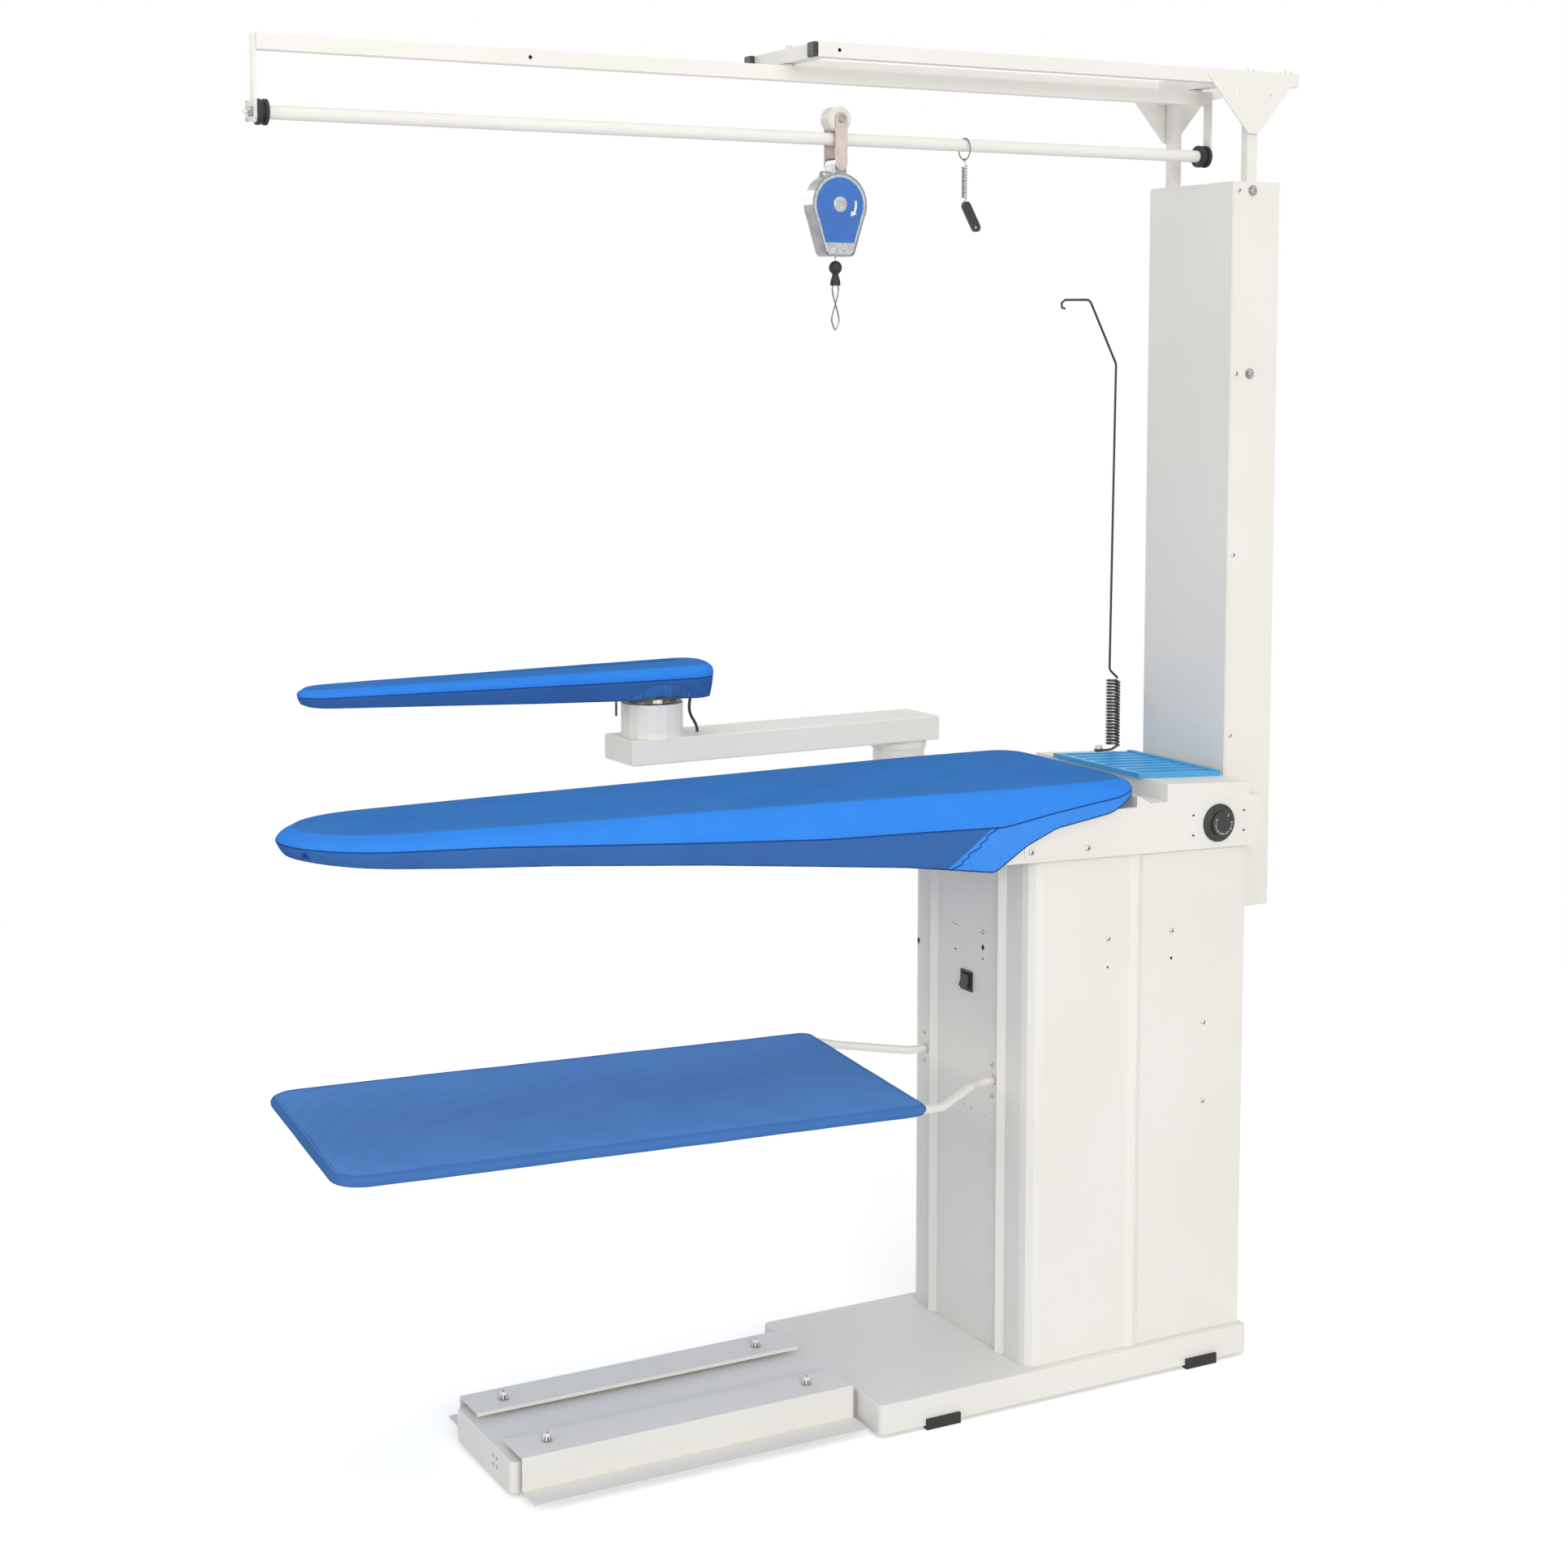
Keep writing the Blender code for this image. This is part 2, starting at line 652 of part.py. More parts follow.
def slab(name, outlines, low, high, axis, material, parent=None, at=(0, 0, 0), turn=(0, 0, 0)):
    """A flat outline, with any holes after it, made solid from low to high along an axis.

    The outline is in (x, y) for Z, (x, z) for Y and (y, z) for X.
    """
    curve = bpy.data.curves.new(name, "CURVE")
    curve.dimensions = "2D"
    curve.fill_mode = "BOTH"
    curve.extrude = (high - low) / 2
    for outline in outlines:
        spline = curve.splines.new("POLY")
        spline.points.add(len(outline) - 1)
        for point, (u, v) in zip(spline.points, outline):
            point.co = (u, v, 0, 1)
        spline.use_cyclic_u = True
    guide = bpy.data.objects.new(name + "_outline", curve)
    parts.objects.link(guide)
    mesh = welded_mesh(name, guide)
    bpy.data.objects.remove(guide)
    mesh.transform(AXIS_FRAMES[axis].to_4x4())
    middle = (low + high) / 2
    along = {"X": (middle, 0, 0), "Y": (0, middle, 0), "Z": (0, 0, middle)}[axis]
    mesh.transform(Matrix.Translation(along))
    return adopt(name, mesh, material, parent, at, turn)


def welded_mesh(name, source):
    """The evaluated shape of an object as a mesh with its caps joined and flat faces merged."""
    graph = bpy.context.evaluated_depsgraph_get()
    mesh = bpy.data.meshes.new_from_object(source.evaluated_get(graph))
    mesh.name = name
    bm = bmesh.new()
    bm.from_mesh(mesh)
    bmesh.ops.remove_doubles(bm, verts=bm.verts, dist=MERGE)
    bmesh.ops.dissolve_degenerate(bm, dist=MERGE, edges=bm.edges)
    bmesh.ops.dissolve_limit(bm, angle_limit=FLAT_ANGLE, verts=bm.verts, edges=bm.edges)
    bmesh.ops.recalc_face_normals(bm, faces=bm.faces)
    bm.to_mesh(mesh)
    bm.free()
    return mesh


def tube(name, points, radius, material, parent=None, resolution=TUBE_RESOLUTION, at=(0, 0, 0), closed=False):
    """A round wire or cable through the points."""
    curve = bpy.data.curves.new(name, "CURVE")
    curve.dimensions = "3D"
    curve.bevel_depth = radius
    curve.bevel_resolution = resolution
    curve.use_fill_caps = not closed
    spline = curve.splines.new("POLY")
    spline.points.add(len(points) - 1)
    for point, place in zip(spline.points, points):
        point.co = (*place, 1)
    spline.use_cyclic_u = closed
    spline.use_smooth = True
    made = bpy.data.objects.new(name, curve)
    made.data.materials.append(material)
    made.location = at
    made.parent = parent or origin
    parts.objects.link(made)
    return made


def as_mesh(source):
    """Turns a curve into a welded mesh object of the same name, so that it can be cut."""
    mesh = welded_mesh(source.name, source)
    name, parent, place = source.name, source.parent, source.location.copy()
    material = source.data.materials[0]
    bpy.data.objects.remove(source)
    return adopt(name, mesh, material, parent, place)


def turned(name, profile, material, parent=None, at=(0, 0, 0), axis="Z", steps=ROUND_SIDES, closed=False):
    """A turned piece. The profile is (radius, height), running down the outer side."""
    bm = bmesh.new()
    verts = [bm.verts.new((radius, 0, height)) for radius, height in profile]
    for first, second in zip(verts, verts[1:]):
        bm.edges.new((first, second))
    if closed:
        bm.edges.new((verts[-1], verts[0]))
    mesh = bpy.data.meshes.new(name)
    bm.to_mesh(mesh)
    bm.free()
    made = adopt(name, mesh, material, parent, at, AXIS_TURNS[axis])
    screw = made.modifiers.new("turn", "SCREW")
    screw.axis = "Z"
    screw.steps = steps
    screw.render_steps = steps
    screw.use_merge_vertices = True
    screw.merge_threshold = MERGE
    screw.use_smooth_shade = True
    return made


def ring_profile(inner, outer, bottom, top):
    return [(inner, top), (outer, top), (outer, bottom), (inner, bottom)]


def as_cutter(tool):
    parts.objects.unlink(tool)
    cutters.objects.link(tool)
    tool.hide_render = True
    tool.display_type = "WIRE"
    return tool


def cut(target, tool, operation="DIFFERENCE"):
    step = target.modifiers.new(operation.lower(), "BOOLEAN")
    step.operation = operation
    step.object = tool
    step.solver = "EXACT"
    return target


def drill(target, name, spans, radius, parent=None, sides=SCREW_SIDES):
    """Cuts straight round holes along the spans."""
    tool = as_cutter(rods(name, spans, radius, galvanised(), parent, sides))
    return cut(target, tool)


def mill(target, name, low, high, parent=None):
    """Cuts a box-shaped pocket or opening."""
    return cut(target, as_cutter(box(name, low, high, galvanised(), parent)))


def weld(target, tool):
    """Joins a second solid to the target, so that both are one body."""
    return cut(target, as_cutter(tool), "UNION")


def shell(solid, open_sides, thickness=SHEET, bend=SHEET_BEND):
    """Opens the named sides of a solid and makes the rest a folded sheet, inwards."""
    bm = bmesh.new()
    bm.from_mesh(solid.data)
    open_sides = [Vector(side) for side in open_sides]
    gone = [face for face in bm.faces if any(face.normal.dot(side) > OPEN_FACE_COSINE for side in open_sides)]
    bmesh.ops.delete(bm, geom=gone, context="FACES")
    bm.to_mesh(solid.data)
    bm.free()
    smooth(solid.data)
    if bend:
        fold = solid.modifiers.new("bend", "BEVEL")
        fold.width = bend
        fold.segments = 2
        fold.limit_method = "ANGLE"
        fold.angle_limit = math.radians(50)
    sheet = solid.modifiers.new("sheet", "SOLIDIFY")
    sheet.thickness = thickness
    sheet.offset = -1
    sheet.use_even_offset = True
    return solid


def soften(solid, width, segments=1):
    """Small round or chamfer on the sharp edges."""
    edge = solid.modifiers.new("edge", "BEVEL")
    edge.width = width
    edge.segments = segments
    edge.limit_method = "ANGLE"
    edge.angle_limit = math.radians(50)
    return solid


def arc(centre, radius, start, end, steps=ARC_STEPS):
    """Points of an arc, angles in degrees, both ends included."""
    angles = np.radians(np.linspace(start, end, steps + 1))
    return [(centre[0] + radius * math.cos(a), centre[1] + radius * math.sin(a)) for a in angles]


def rounded_rectangle(low, high, radius, steps=ARC_STEPS):
    (left, bottom), (right, top) = low, high
    return (
        arc((right - radius, top - radius), radius, 0, 90, steps)
        + arc((left + radius, top - radius), radius, 90, 180, steps)
        + arc((left + radius, bottom + radius), radius, 180, 270, steps)
        + arc((right - radius, bottom + radius), radius, 270, 360, steps)
    )


def circle(centre, radius, sides=SMALL_SIDES):
    return arc(centre, radius, 0, 360, sides)[:-1]


def stadium(top, bottom, half_width, steps=ARC_STEPS):
    """An upright link outline with round ends on two centres."""
    return arc((0, top), half_width, 0, 180, 2 * steps) + arc((0, bottom), half_width, 180, 360, 2 * steps)


def fillet_path(points, radius, steps=ARC_STEPS):
    """A polyline with each inner corner rounded."""
    points = [Vector(point) for point in points]
    path = [points[0]]
    for before, corner, after in zip(points, points[1:], points[2:]):
        into = (before - corner).normalized()
        out = (after - corner).normalized()
        half = into.angle(out) / 2
        reach = min(radius / math.tan(half), (before - corner).length / 2, (after - corner).length / 2)
        start, end = corner + into * reach, corner + out * reach
        for step in range(steps + 1):
            t = step / steps
            path.append(start * (1 - t) ** 2 + corner * 2 * t * (1 - t) + end * t**2)
    path.append(points[-1])
    return path


def smooth_path(points, per_span=4):
    """A Catmull-Rom curve through the points."""
    points = [Vector(point) for point in points]
    padded = [points[0] * 2 - points[1], *points, points[-1] * 2 - points[-2]]
    path = []
    for a, b, c, d in zip(padded, padded[1:], padded[2:], padded[3:]):
        for step in range(per_span):
            t = step / per_span
            bend = a * 2 - b * 5 + c * 4 - d
            twist = b * 3 - a - c * 3 + d
            path.append((b * 2 + (c - a) * t + bend * t**2 + twist * t**3) / 2)
    path.append(points[-1])
    return path


def report_clearance(name, path, wire_radius):
    """Prints the least gap between turns that don't follow each other along a coil."""
    path = np.array([tuple(point) for point in path])
    apart = CURL_POINTS - 2
    least = min(
        np.min(np.linalg.norm(path[index + apart:] - point, axis=1))
        for index, point in enumerate(path[:-apart])
    )
    print(f"{name}: least gap to itself {(least - 2 * wire_radius) * 1000:.2f} mm")


# Fasteners and repeated pieces
def add_lathe(bm, seat, outward, rings, sides=SCREW_SIDES, hexes=()):
    """A closed turned solid on a seat: (radius, height) rings that start and end on the axis.

    The rings numbered in hexes are hexagons; the number of sides is then twelve.
    """
    outward = Vector(outward)
    frame = outward.to_track_quat("Z", "Y").to_matrix()
    flat_share = math.cos(math.pi / HEX)
    loops = []
    for number, (radius, height) in enumerate(rings):
        if not radius:
            loops.append([bm.verts.new(Vector(seat) + outward * height)])
            continue
        loop = []
        for index in range(sides):
            angle = math.tau * index / sides
            reach = radius * flat_share if number in hexes and index % 2 else radius
            place = frame @ Vector((reach * math.cos(angle), reach * math.sin(angle), height))
            loop.append(bm.verts.new(Vector(seat) + place))
        loops.append(loop)
    for first, second in zip(loops, loops[1:]):
        for index in range(sides):
            after = (index + 1) % sides
            corners = [first[index % len(first)], first[after % len(first)], second[after % len(second)],
                       second[index % len(second)]]
            bm.faces.new(list(dict.fromkeys(corners)))


def screw_heads(name, places, outward, parent=None, radius=SCREW_HEAD_RADIUS):
    """Pan heads of tight screws, sunk a little into the panel at the places."""
    bm = bmesh.new()
    outward = Vector(outward)
    for place in places:
        foot = Vector(place) - outward * HEAD_SINK
        add_rod(bm, foot, Vector(place) + outward * SCREW_HEAD_HEIGHT, radius, SMALL_SIDES,
            radius * SCREW_TOP_SHARE)
    return from_bmesh(name, bm, bright_steel(), parent)


def bolt_heads(name, places, outward, washer=WASHER_RADIUS):
    """Flanged hexagon heads of tight bolts, sunk a little into the part at the places."""
    bm = bmesh.new()
    head = WASHER_HEIGHT + BOLT_HEAD
    corner = hex_radius(BOLT_FLATS)
    rings = [
        (0, -HEAD_SINK), (washer, -HEAD_SINK), (corner, WASHER_HEIGHT), (corner, head), (0, head)
    ]
    for place in places:
        add_lathe(bm, place, outward, rings, 2 * HEX, hexes=(2, 3))
    return from_bmesh(name, bm, bright_steel())


def hex_radius(flats):
    return flats / 2 / math.cos(math.pi / HEX)


# Base pan, feet and pedals
def build_base():
    left, step = PEDAL_END_LEFT, BASE_LEFT
    narrow, wide, corner = PEDAL_END_HALF_WIDTH, BASE_HALF_WIDTH, BASE_CORNER
    outline = (
        arc((BASE_RIGHT - corner, wide - corner), corner, 0, 90)
        + arc((step + corner, wide - corner), corner, 90, 180)
        + [(step, narrow)]
        + arc((left + corner, narrow - corner), corner, 90, 180)
        + arc((left + corner, -narrow + corner), corner, 180, 270)
        + [(step, -narrow)]
        + arc((step + corner, -wide + corner), corner, 180, 270)
        + arc((BASE_RIGHT - corner, -wide + corner), corner, 270, 360)
    )
    pan = slab("base_pan", [outline], FLOOR_CLEARANCE, BASE_TOP, "Z", powder_coat())
    shell(pan, [(0, 0, -1)])
    holes = [
        ((left - OVERRUN, side * END_HOLE_ACROSS + shift, height),
        (left + SHEET + OVERRUN, side * END_HOLE_ACROSS + shift, height))
        for side in (-1,)
        for shift in (0, END_HOLE_SPACING)
        for height in (END_HOLE_HEIGHT, END_HOLE_HEIGHT + END_HOLE_SPACING)
    ]
    drill(pan, "base_end_holes", holes, END_HOLE_RADIUS)
    pins = [
        ((SWITCH_PIN_X, side * STUD_ACROSS, BASE_TOP - SHEET - OVERRUN),
        (SWITCH_PIN_X, side * STUD_ACROSS, BASE_TOP + OVERRUN))
        for side in (-1, 1)
    ]
    drill(pan, "base_pin_holes", pins, SWITCH_PIN_RADIUS + SWITCH_PIN_CLEARANCE, sides=SMALL_SIDES)
    return pan


def foot_section(half_width):
    """A U-shaped rubber clip that grips the skirt's lower edge, in (y, z) on the far side."""
    out = half_width + GAP + FOOT_WALL
    groove_out = half_width + GAP
    groove_in = half_width - SHEET - GAP
    inner = groove_in - FOOT_WALL
    floor = FLOOR_CLEARANCE - GAP
    return [
        (inner, 0), (out, 0), (out, FOOT_HEIGHT), (groove_out, FOOT_HEIGHT), (groove_out, floor),
        (groove_in, floor), (groove_in, FOOT_HEIGHT), (inner, FOOT_HEIGHT)
    ]


def build_feet():
    for label, middle in (("front", FOOT_FRONT_X), ("back", FOOT_BACK_X)):
        low, high = middle - FOOT_LENGTH / 2, middle + FOOT_LENGTH / 2
        for side, word in ((1, "far"), (-1, "near")):
            outline = [(y * side, z) for y, z in foot_section(BASE_HALF_WIDTH)]
            slab(f"foot_{label}_{word}", [outline], low, high, "X", black_rubber())
    far = foot_section(PEDAL_END_HALF_WIDTH)
    near = [(-y, z) for y, z in reversed(far)]
    strip = [*far[1:], (far[0][0], FOOT_STRIP), (near[-1][0], FOOT_STRIP), *near[:-1]]
    half = FOOT_LENGTH / 2
    slab("foot_pedal_end", [strip], FOOT_PEDAL_X - half, FOOT_PEDAL_X + half, "X", black_rubber())


def pedal_section():
    """The Z-shaped bar in (y, z) on the far side, with a lip folded down along its inner edge."""
    foot_top = PEDAL_FOOT_HEIGHT + SHEET
    lip = PEDAL_INNER_EDGE + SHEET
    lip_bottom = PEDAL_FLANGE_BOTTOM - PEDAL_INNER_LIP
    return [
        (PEDAL_INNER_EDGE, lip_bottom), (lip, lip_bottom), (lip, PEDAL_FLANGE_BOTTOM),
        (PEDAL_WEB - SHEET, PEDAL_FLANGE_BOTTOM), (PEDAL_WEB - SHEET, PEDAL_FOOT_HEIGHT),
        (PEDAL_OUTER_EDGE, PEDAL_FOOT_HEIGHT), (PEDAL_OUTER_EDGE, foot_top), (PEDAL_WEB, foot_top),
        (PEDAL_WEB, PEDAL_TOP), (PEDAL_INNER_EDGE, PEDAL_TOP)
    ]


def build_pedals(pan):
    for side, word in ((1, "far"), (-1, "near")):
        hub = pivot(f"pedal_{word}_axis", (SWITCH_PIN_X, side * STUD_ACROSS, PEDAL_TOP))
        section = [(side * (y - STUD_ACROSS), z - PEDAL_TOP) for y, z in pedal_section()]
        low, high = PEDAL_LEFT - SWITCH_PIN_X, PEDAL_RIGHT - SWITCH_PIN_X
        bar = slab(f"pedal_{word}", [section], low, high, "X", powder_coat(), hub)
        stud_places = (STUD_FRONT_X - SWITCH_PIN_X, STUD_BACK_X - SWITCH_PIN_X)
        holes = [((x, 0, -SHEET - OVERRUN), (x, 0, OVERRUN)) for x in stud_places]
        drill(bar, f"pedal_{word}_holes", holes, STUD_RADIUS + STUD_CLEARANCE, hub, SMALL_SIDES)
        pin = rods(
            f"pedal_{word}_pin", [((0, 0, -SHEET / 2), (0, 0, -SWITCH_PIN_LENGTH))], SWITCH_PIN_RADIUS,
            bright_steel(), hub
        )
        weld(bar, pin)
        inner = SWITCH_PIN_RADIUS + SWITCH_PIN_CLEARANCE
        profile = ring_profile(inner, inner + PEDAL_SPRING_WALL, BASE_TOP + GAP, PEDAL_FLANGE_BOTTOM - GAP)
        turned(
            f"pedal_spring_{word}", profile, galvanised(), at=(SWITCH_PIN_X, side * STUD_ACROSS, 0),
            closed=True
        )
    weld(pan, studs())


def studs():
    """Studs welded on the pan's top, each with its domed nut above a pedal."""
    bm = bmesh.new()
    bottom = BASE_TOP - SHEET / 2
    seat = PEDAL_TOP + GAP - bottom
    outer = hex_radius(NUT_FLATS)
    shoulder = seat + NUT_HEIGHT
    rings = [
        (0, 0), (STUD_RADIUS, 0), (STUD_RADIUS, seat), (outer, seat), (outer, shoulder),
        (NUT_FLATS / 2 * NUT_DOME_SHARE, shoulder + NUT_DOME), (0, shoulder + NUT_DOME + SHEET / 2)
    ]
    for x in (STUD_FRONT_X, STUD_BACK_X):
        for y in (-STUD_ACROSS, STUD_ACROSS):
            add_lathe(bm, (x, y, bottom), (0, 0, 1), rings, 2 * HEX, hexes=(3, 4))
    return from_bmesh("pedal_studs", bm, bright_steel())


def build_pedal_switches():
    """A bracket under the pan with a small switch below each pedal's pin."""
    length, width, height = MICROSWITCH
    ceiling = BASE_TOP - SHEET - GAP
    top = ceiling - MICROSWITCH_DEPTH
    left, right = SWITCH_PIN_X - length / 2, SWITCH_PIN_X + length / 2
    reach = STUD_ACROSS + width / 2 + MICROSWITCH_BRACKET
    outline = [
        (reach, ceiling), (reach - MICROSWITCH_BRACKET, ceiling), (reach - MICROSWITCH_BRACKET, top),
        (reach - width, top), (reach - width, top - height), (-reach + width, top - height),
        (-reach + width, top),
        (-reach + MICROSWITCH_BRACKET, top), (-reach + MICROSWITCH_BRACKET, ceiling), (-reach, ceiling),
        (-reach, top - height - MICROSWITCH_BRACKET), (reach, top - height - MICROSWITCH_BRACKET)
    ]
    slab("pedal_switches", [outline], left, right, "X", black_plastic())


# Cabinet
def rib(position, half, proud):
    return [(position - half, RIB_ROOT), (position, proud), (position + half, RIB_ROOT)]


def cabinet_outline():
    """Plan of the cabinet, all round, with its pressed V-ribs."""
    left, wide, corner = CABINET_LEFT, CABINET_HALF_WIDTH, CABINET_CORNER
    far_side = [(x, wide + out) for x, out in reversed(rib(SIDE_RIB_X, SIDE_RIB_HALF, SIDE_RIB_PROUD))]
    near_side = [(x, -wide - out) for x, out in rib(SIDE_RIB_X, SIDE_RIB_HALF, SIDE_RIB_PROUD)]
    front = [
        (left - out, y)
        for position in (FRONT_RIB_FAR_Y, FRONT_RIB_NEAR_Y)
        for y, out in reversed(rib(position, FRONT_RIB_HALF, FRONT_RIB_PROUD))
    ]
    return (
        [(CABINET_RIGHT, wide)] + far_side + arc((left + corner, wide - corner), corner, 90, 180) + front
        + arc((left + corner, -wide + corner), corner, 180, 270) + near_side + [(CABINET_RIGHT, -wide)]
    )


def build_cabinet():
    case = slab("cabinet_shell", [cabinet_outline()], BASE_TOP + GAP, CABINET_TOP, "Z", powder_coat())
    shell(case, [(0, 0, -1), (0, 0, 1), (1, 0, 0)], bend=0)
    face = CABINET_LEFT
    spans = [((face - OVERRUN, y, z), (face + SHEET + OVERRUN, y, z)) for y, z in FRONT_HOLES_SMALL]
    drill(case, "front_small_holes", spans, SMALL_HOLE_RADIUS)
    spans = [((face - OVERRUN, y, z), (face + SHEET + OVERRUN, y, z)) for y, z in FRONT_HOLES_LARGE]
    drill(case, "front_large_holes", spans, LARGE_HOLE_RADIUS, sides=SMALL_SIDES)
    wall = CABINET_HALF_WIDTH
    spans = [((x, -wall - OVERRUN, PATTERN_HOLE_HEIGHT),
        (x, -wall + SHEET + OVERRUN, PATTERN_HOLE_HEIGHT)) for x in PATTERN_X]
    drill(case, "side_pattern_holes", spans, SMALL_HOLE_RADIUS + SMALL_HOLE_RADIUS / 3)
    front_places = [(face, y, z) for y, z in FRONT_SCREWS + TRAY_SCREWS]
    side_places = [(x, -wall, PATTERN_SCREW_HEIGHT) for x in PATTERN_X]
    side_places += [(SIDE_SCREW_X, -wall, z) for z in SIDE_SCREW_HEIGHTS]
    weld(case, tray_sockets())
    weld(case, screw_heads("front_screws", front_places, (-1, 0, 0)))
    weld(case, screw_heads("side_screws", side_places, (0, -1, 0)))
    mill(
        case, "switch_opening",
        (face - OVERRUN, SWITCH_Y - SWITCH_BODY[0] / 2 - GAP, SWITCH_HEIGHT - SWITCH_BODY[1] / 2 - GAP),
        (face + SHEET + OVERRUN, SWITCH_Y + SWITCH_BODY[0] / 2 + GAP,
        SWITCH_HEIGHT + SWITCH_BODY[1] / 2 + GAP)
    )
    ends = ((TRAY_FAR_END[0], TRAY_FAR_END[1]), (TRAY_NEAR_END[0], TRAY_NEAR_END[1]))
    spans = [((face - OVERRUN, y, z), (face + SHEET + SOCKET_DEPTH + GAP, y, z)) for y, z in ends]
    drill(case, "tray_tube_holes", spans, TRAY_TUBE_RADIUS + GAP * 2, sides=ROUND_SIDES)
    build_back_panel()


def build_back_panel():
    """The rear closing panel, folded at its sides, with air slots and a pad for the column."""
    wide = CABINET_HALF_WIDTH - SHEET - GAP
    panel = box(
        "cabinet_back", (CABINET_RIGHT - BACK_PANEL_FOLD, -wide, BASE_TOP + GAP),
        (CABINET_RIGHT, wide, CABINET_TOP),
        powder_coat()
    )
    shell(panel, [(-1, 0, 0), (0, 0, 1), (0, 0, -1)], bend=0)
    bm = bmesh.new()
    for index in range(VENT_COUNT):
        height = VENT_HEIGHT + index * VENT_PITCH
        add_box(
            bm, (CABINET_RIGHT - SHEET - OVERRUN, -VENT_SLOT[0] / 2, height),
            (CABINET_RIGHT + OVERRUN, VENT_SLOT[0] / 2, height + VENT_SLOT[1])
        )
    cut(panel, as_cutter(from_bmesh("vent_slots", bm, galvanised())))
    weld(panel, box(
        "column_pad", (CABINET_RIGHT - SHEET / 2, -SPACER_HALF_WIDTH, SPACER_BOTTOM),
        (COLUMN_LEFT - GAP, SPACER_HALF_WIDTH, SPACER_TOP), powder_coat()
    ))


def build_power_switch():
    face = CABINET_LEFT - GAP
    across, up = SWITCH_BEZEL[0] / 2, SWITCH_BEZEL[1] / 2
    body_across, body_up = SWITCH_BODY[0] / 2, SWITCH_BODY[1] / 2
    bezel = box(
        "switch_bezel", (face - SWITCH_BEZEL_PROUD, SWITCH_Y - across, SWITCH_HEIGHT - up),
        (face, SWITCH_Y + across, SWITCH_HEIGHT + up), black_plastic()
    )
    weld(bezel, box(
        "switch_body", (face - SWITCH_BEZEL_PROUD / 2, SWITCH_Y - body_across, SWITCH_HEIGHT - body_up),
        (face + SWITCH_BODY_DEPTH, SWITCH_Y + body_across, SWITCH_HEIGHT + body_up), black_plastic()
    ))
    pocket_across, pocket_up = SWITCH_POCKET[0] / 2, SWITCH_POCKET[1] / 2
    mill(
        bezel, "switch_pocket",
        (face - SWITCH_BEZEL_PROUD - OVERRUN, SWITCH_Y - pocket_across, SWITCH_HEIGHT - pocket_up),
        (face - SWITCH_BEZEL_PROUD + SWITCH_POCKET_DEPTH, SWITCH_Y + pocket_across, SWITCH_HEIGHT + pocket_up)
    )
    axle = pivot("rocker_axis", (face - SWITCH_BEZEL_PROUD, SWITCH_Y, SWITCH_HEIGHT), (0, ROCKER_TILT, 0))
    outline = [
        (-ROCKER_EDGE_PROUD, ROCKER_HALF_HEIGHT - ROCKER_PLAY), (-ROCKER_MID_PROUD, 0),
        (-ROCKER_EDGE_PROUD, -ROCKER_HALF_HEIGHT + ROCKER_PLAY), (0, -ROCKER_HALF_HEIGHT),
        (ROCKER_ROOT_DEPTH, -ROCKER_ROOT_HALF), (ROCKER_ROOT_DEPTH, ROCKER_ROOT_HALF), (0, ROCKER_HALF_HEIGHT)
    ]
    half = pocket_across - GAP
    slab("switch_rocker", [outline], -half, half, "Y", black_plastic(), axle)


# Suction unit
def build_blower():
    middle = (BLOWER_X, 0)
    floor = BASE_TOP + GAP
    motor_top = floor + MOTOR_HEIGHT
    bore = MOTOR_SHAFT_RADIUS + GAP * 2
    turned(
        "blower_motor",
        [(0, motor_top - MOTOR_BORE_DEPTH), (bore, motor_top - MOTOR_BORE_DEPTH), (bore, motor_top),
         (MOTOR_RADIUS, motor_top), (MOTOR_RADIUS, floor), (0, floor)],
        galvanised(), at=(*middle, 0)
    )
    bottom = motor_top + GAP
    top = bottom + BLOWER_HEIGHT
    wall = BLOWER_WALL
    eye = DUCT_RADIUS - DUCT_WALL
    shaft_hole = MOTOR_SHAFT_RADIUS + wall
    housing = turned(
        "blower_housing",
        [(eye, top), (BLOWER_RADIUS, top), (BLOWER_RADIUS, bottom), (shaft_hole, bottom),
         (shaft_hole, bottom + wall), (BLOWER_RADIUS - wall, bottom + wall),
         (BLOWER_RADIUS - wall, top - wall),
         (eye, top - wall)],
        galvanised(), at=(*middle, 0), closed=True
    )
    outlet_bottom = bottom + OUTLET_MARGIN
    outlet_top = top - OUTLET_MARGIN
    weld(housing, outlet_duct(outlet_bottom, outlet_top))
    mill(
        housing, "outlet_bore", (BLOWER_X + IMPELLER_RADIUS, -OUTLET_HALF_WIDTH + wall, outlet_bottom + wall),
        (CABINET_RIGHT, OUTLET_HALF_WIDTH - wall, outlet_top - wall)
    )
    hub = pivot("impeller_axis", (*middle, bottom))
    disc_bottom = wall + IMPELLER_CLEARANCE
    outline = impeller_outline()
    impeller = slab(
        "impeller", [outline], disc_bottom + IMPELLER_DISC / 2, disc_bottom + IMPELLER_HEIGHT, "Z",
        galvanised(), hub
    )
    disc = turned(
        "impeller_disc", [(0, disc_bottom + IMPELLER_DISC), (IMPELLER_RADIUS, disc_bottom + IMPELLER_DISC),
                          (IMPELLER_RADIUS, disc_bottom), (0, disc_bottom)],
        galvanised(), hub
    )
    weld(impeller, disc)
    weld(impeller, rods(
        "motor_shaft", [((0, 0, -MOTOR_BORE_DEPTH + GAP), (0, 0, disc_bottom + IMPELLER_DISC))],
        MOTOR_SHAFT_RADIUS,
        bright_steel(), hub
    ))
    return top


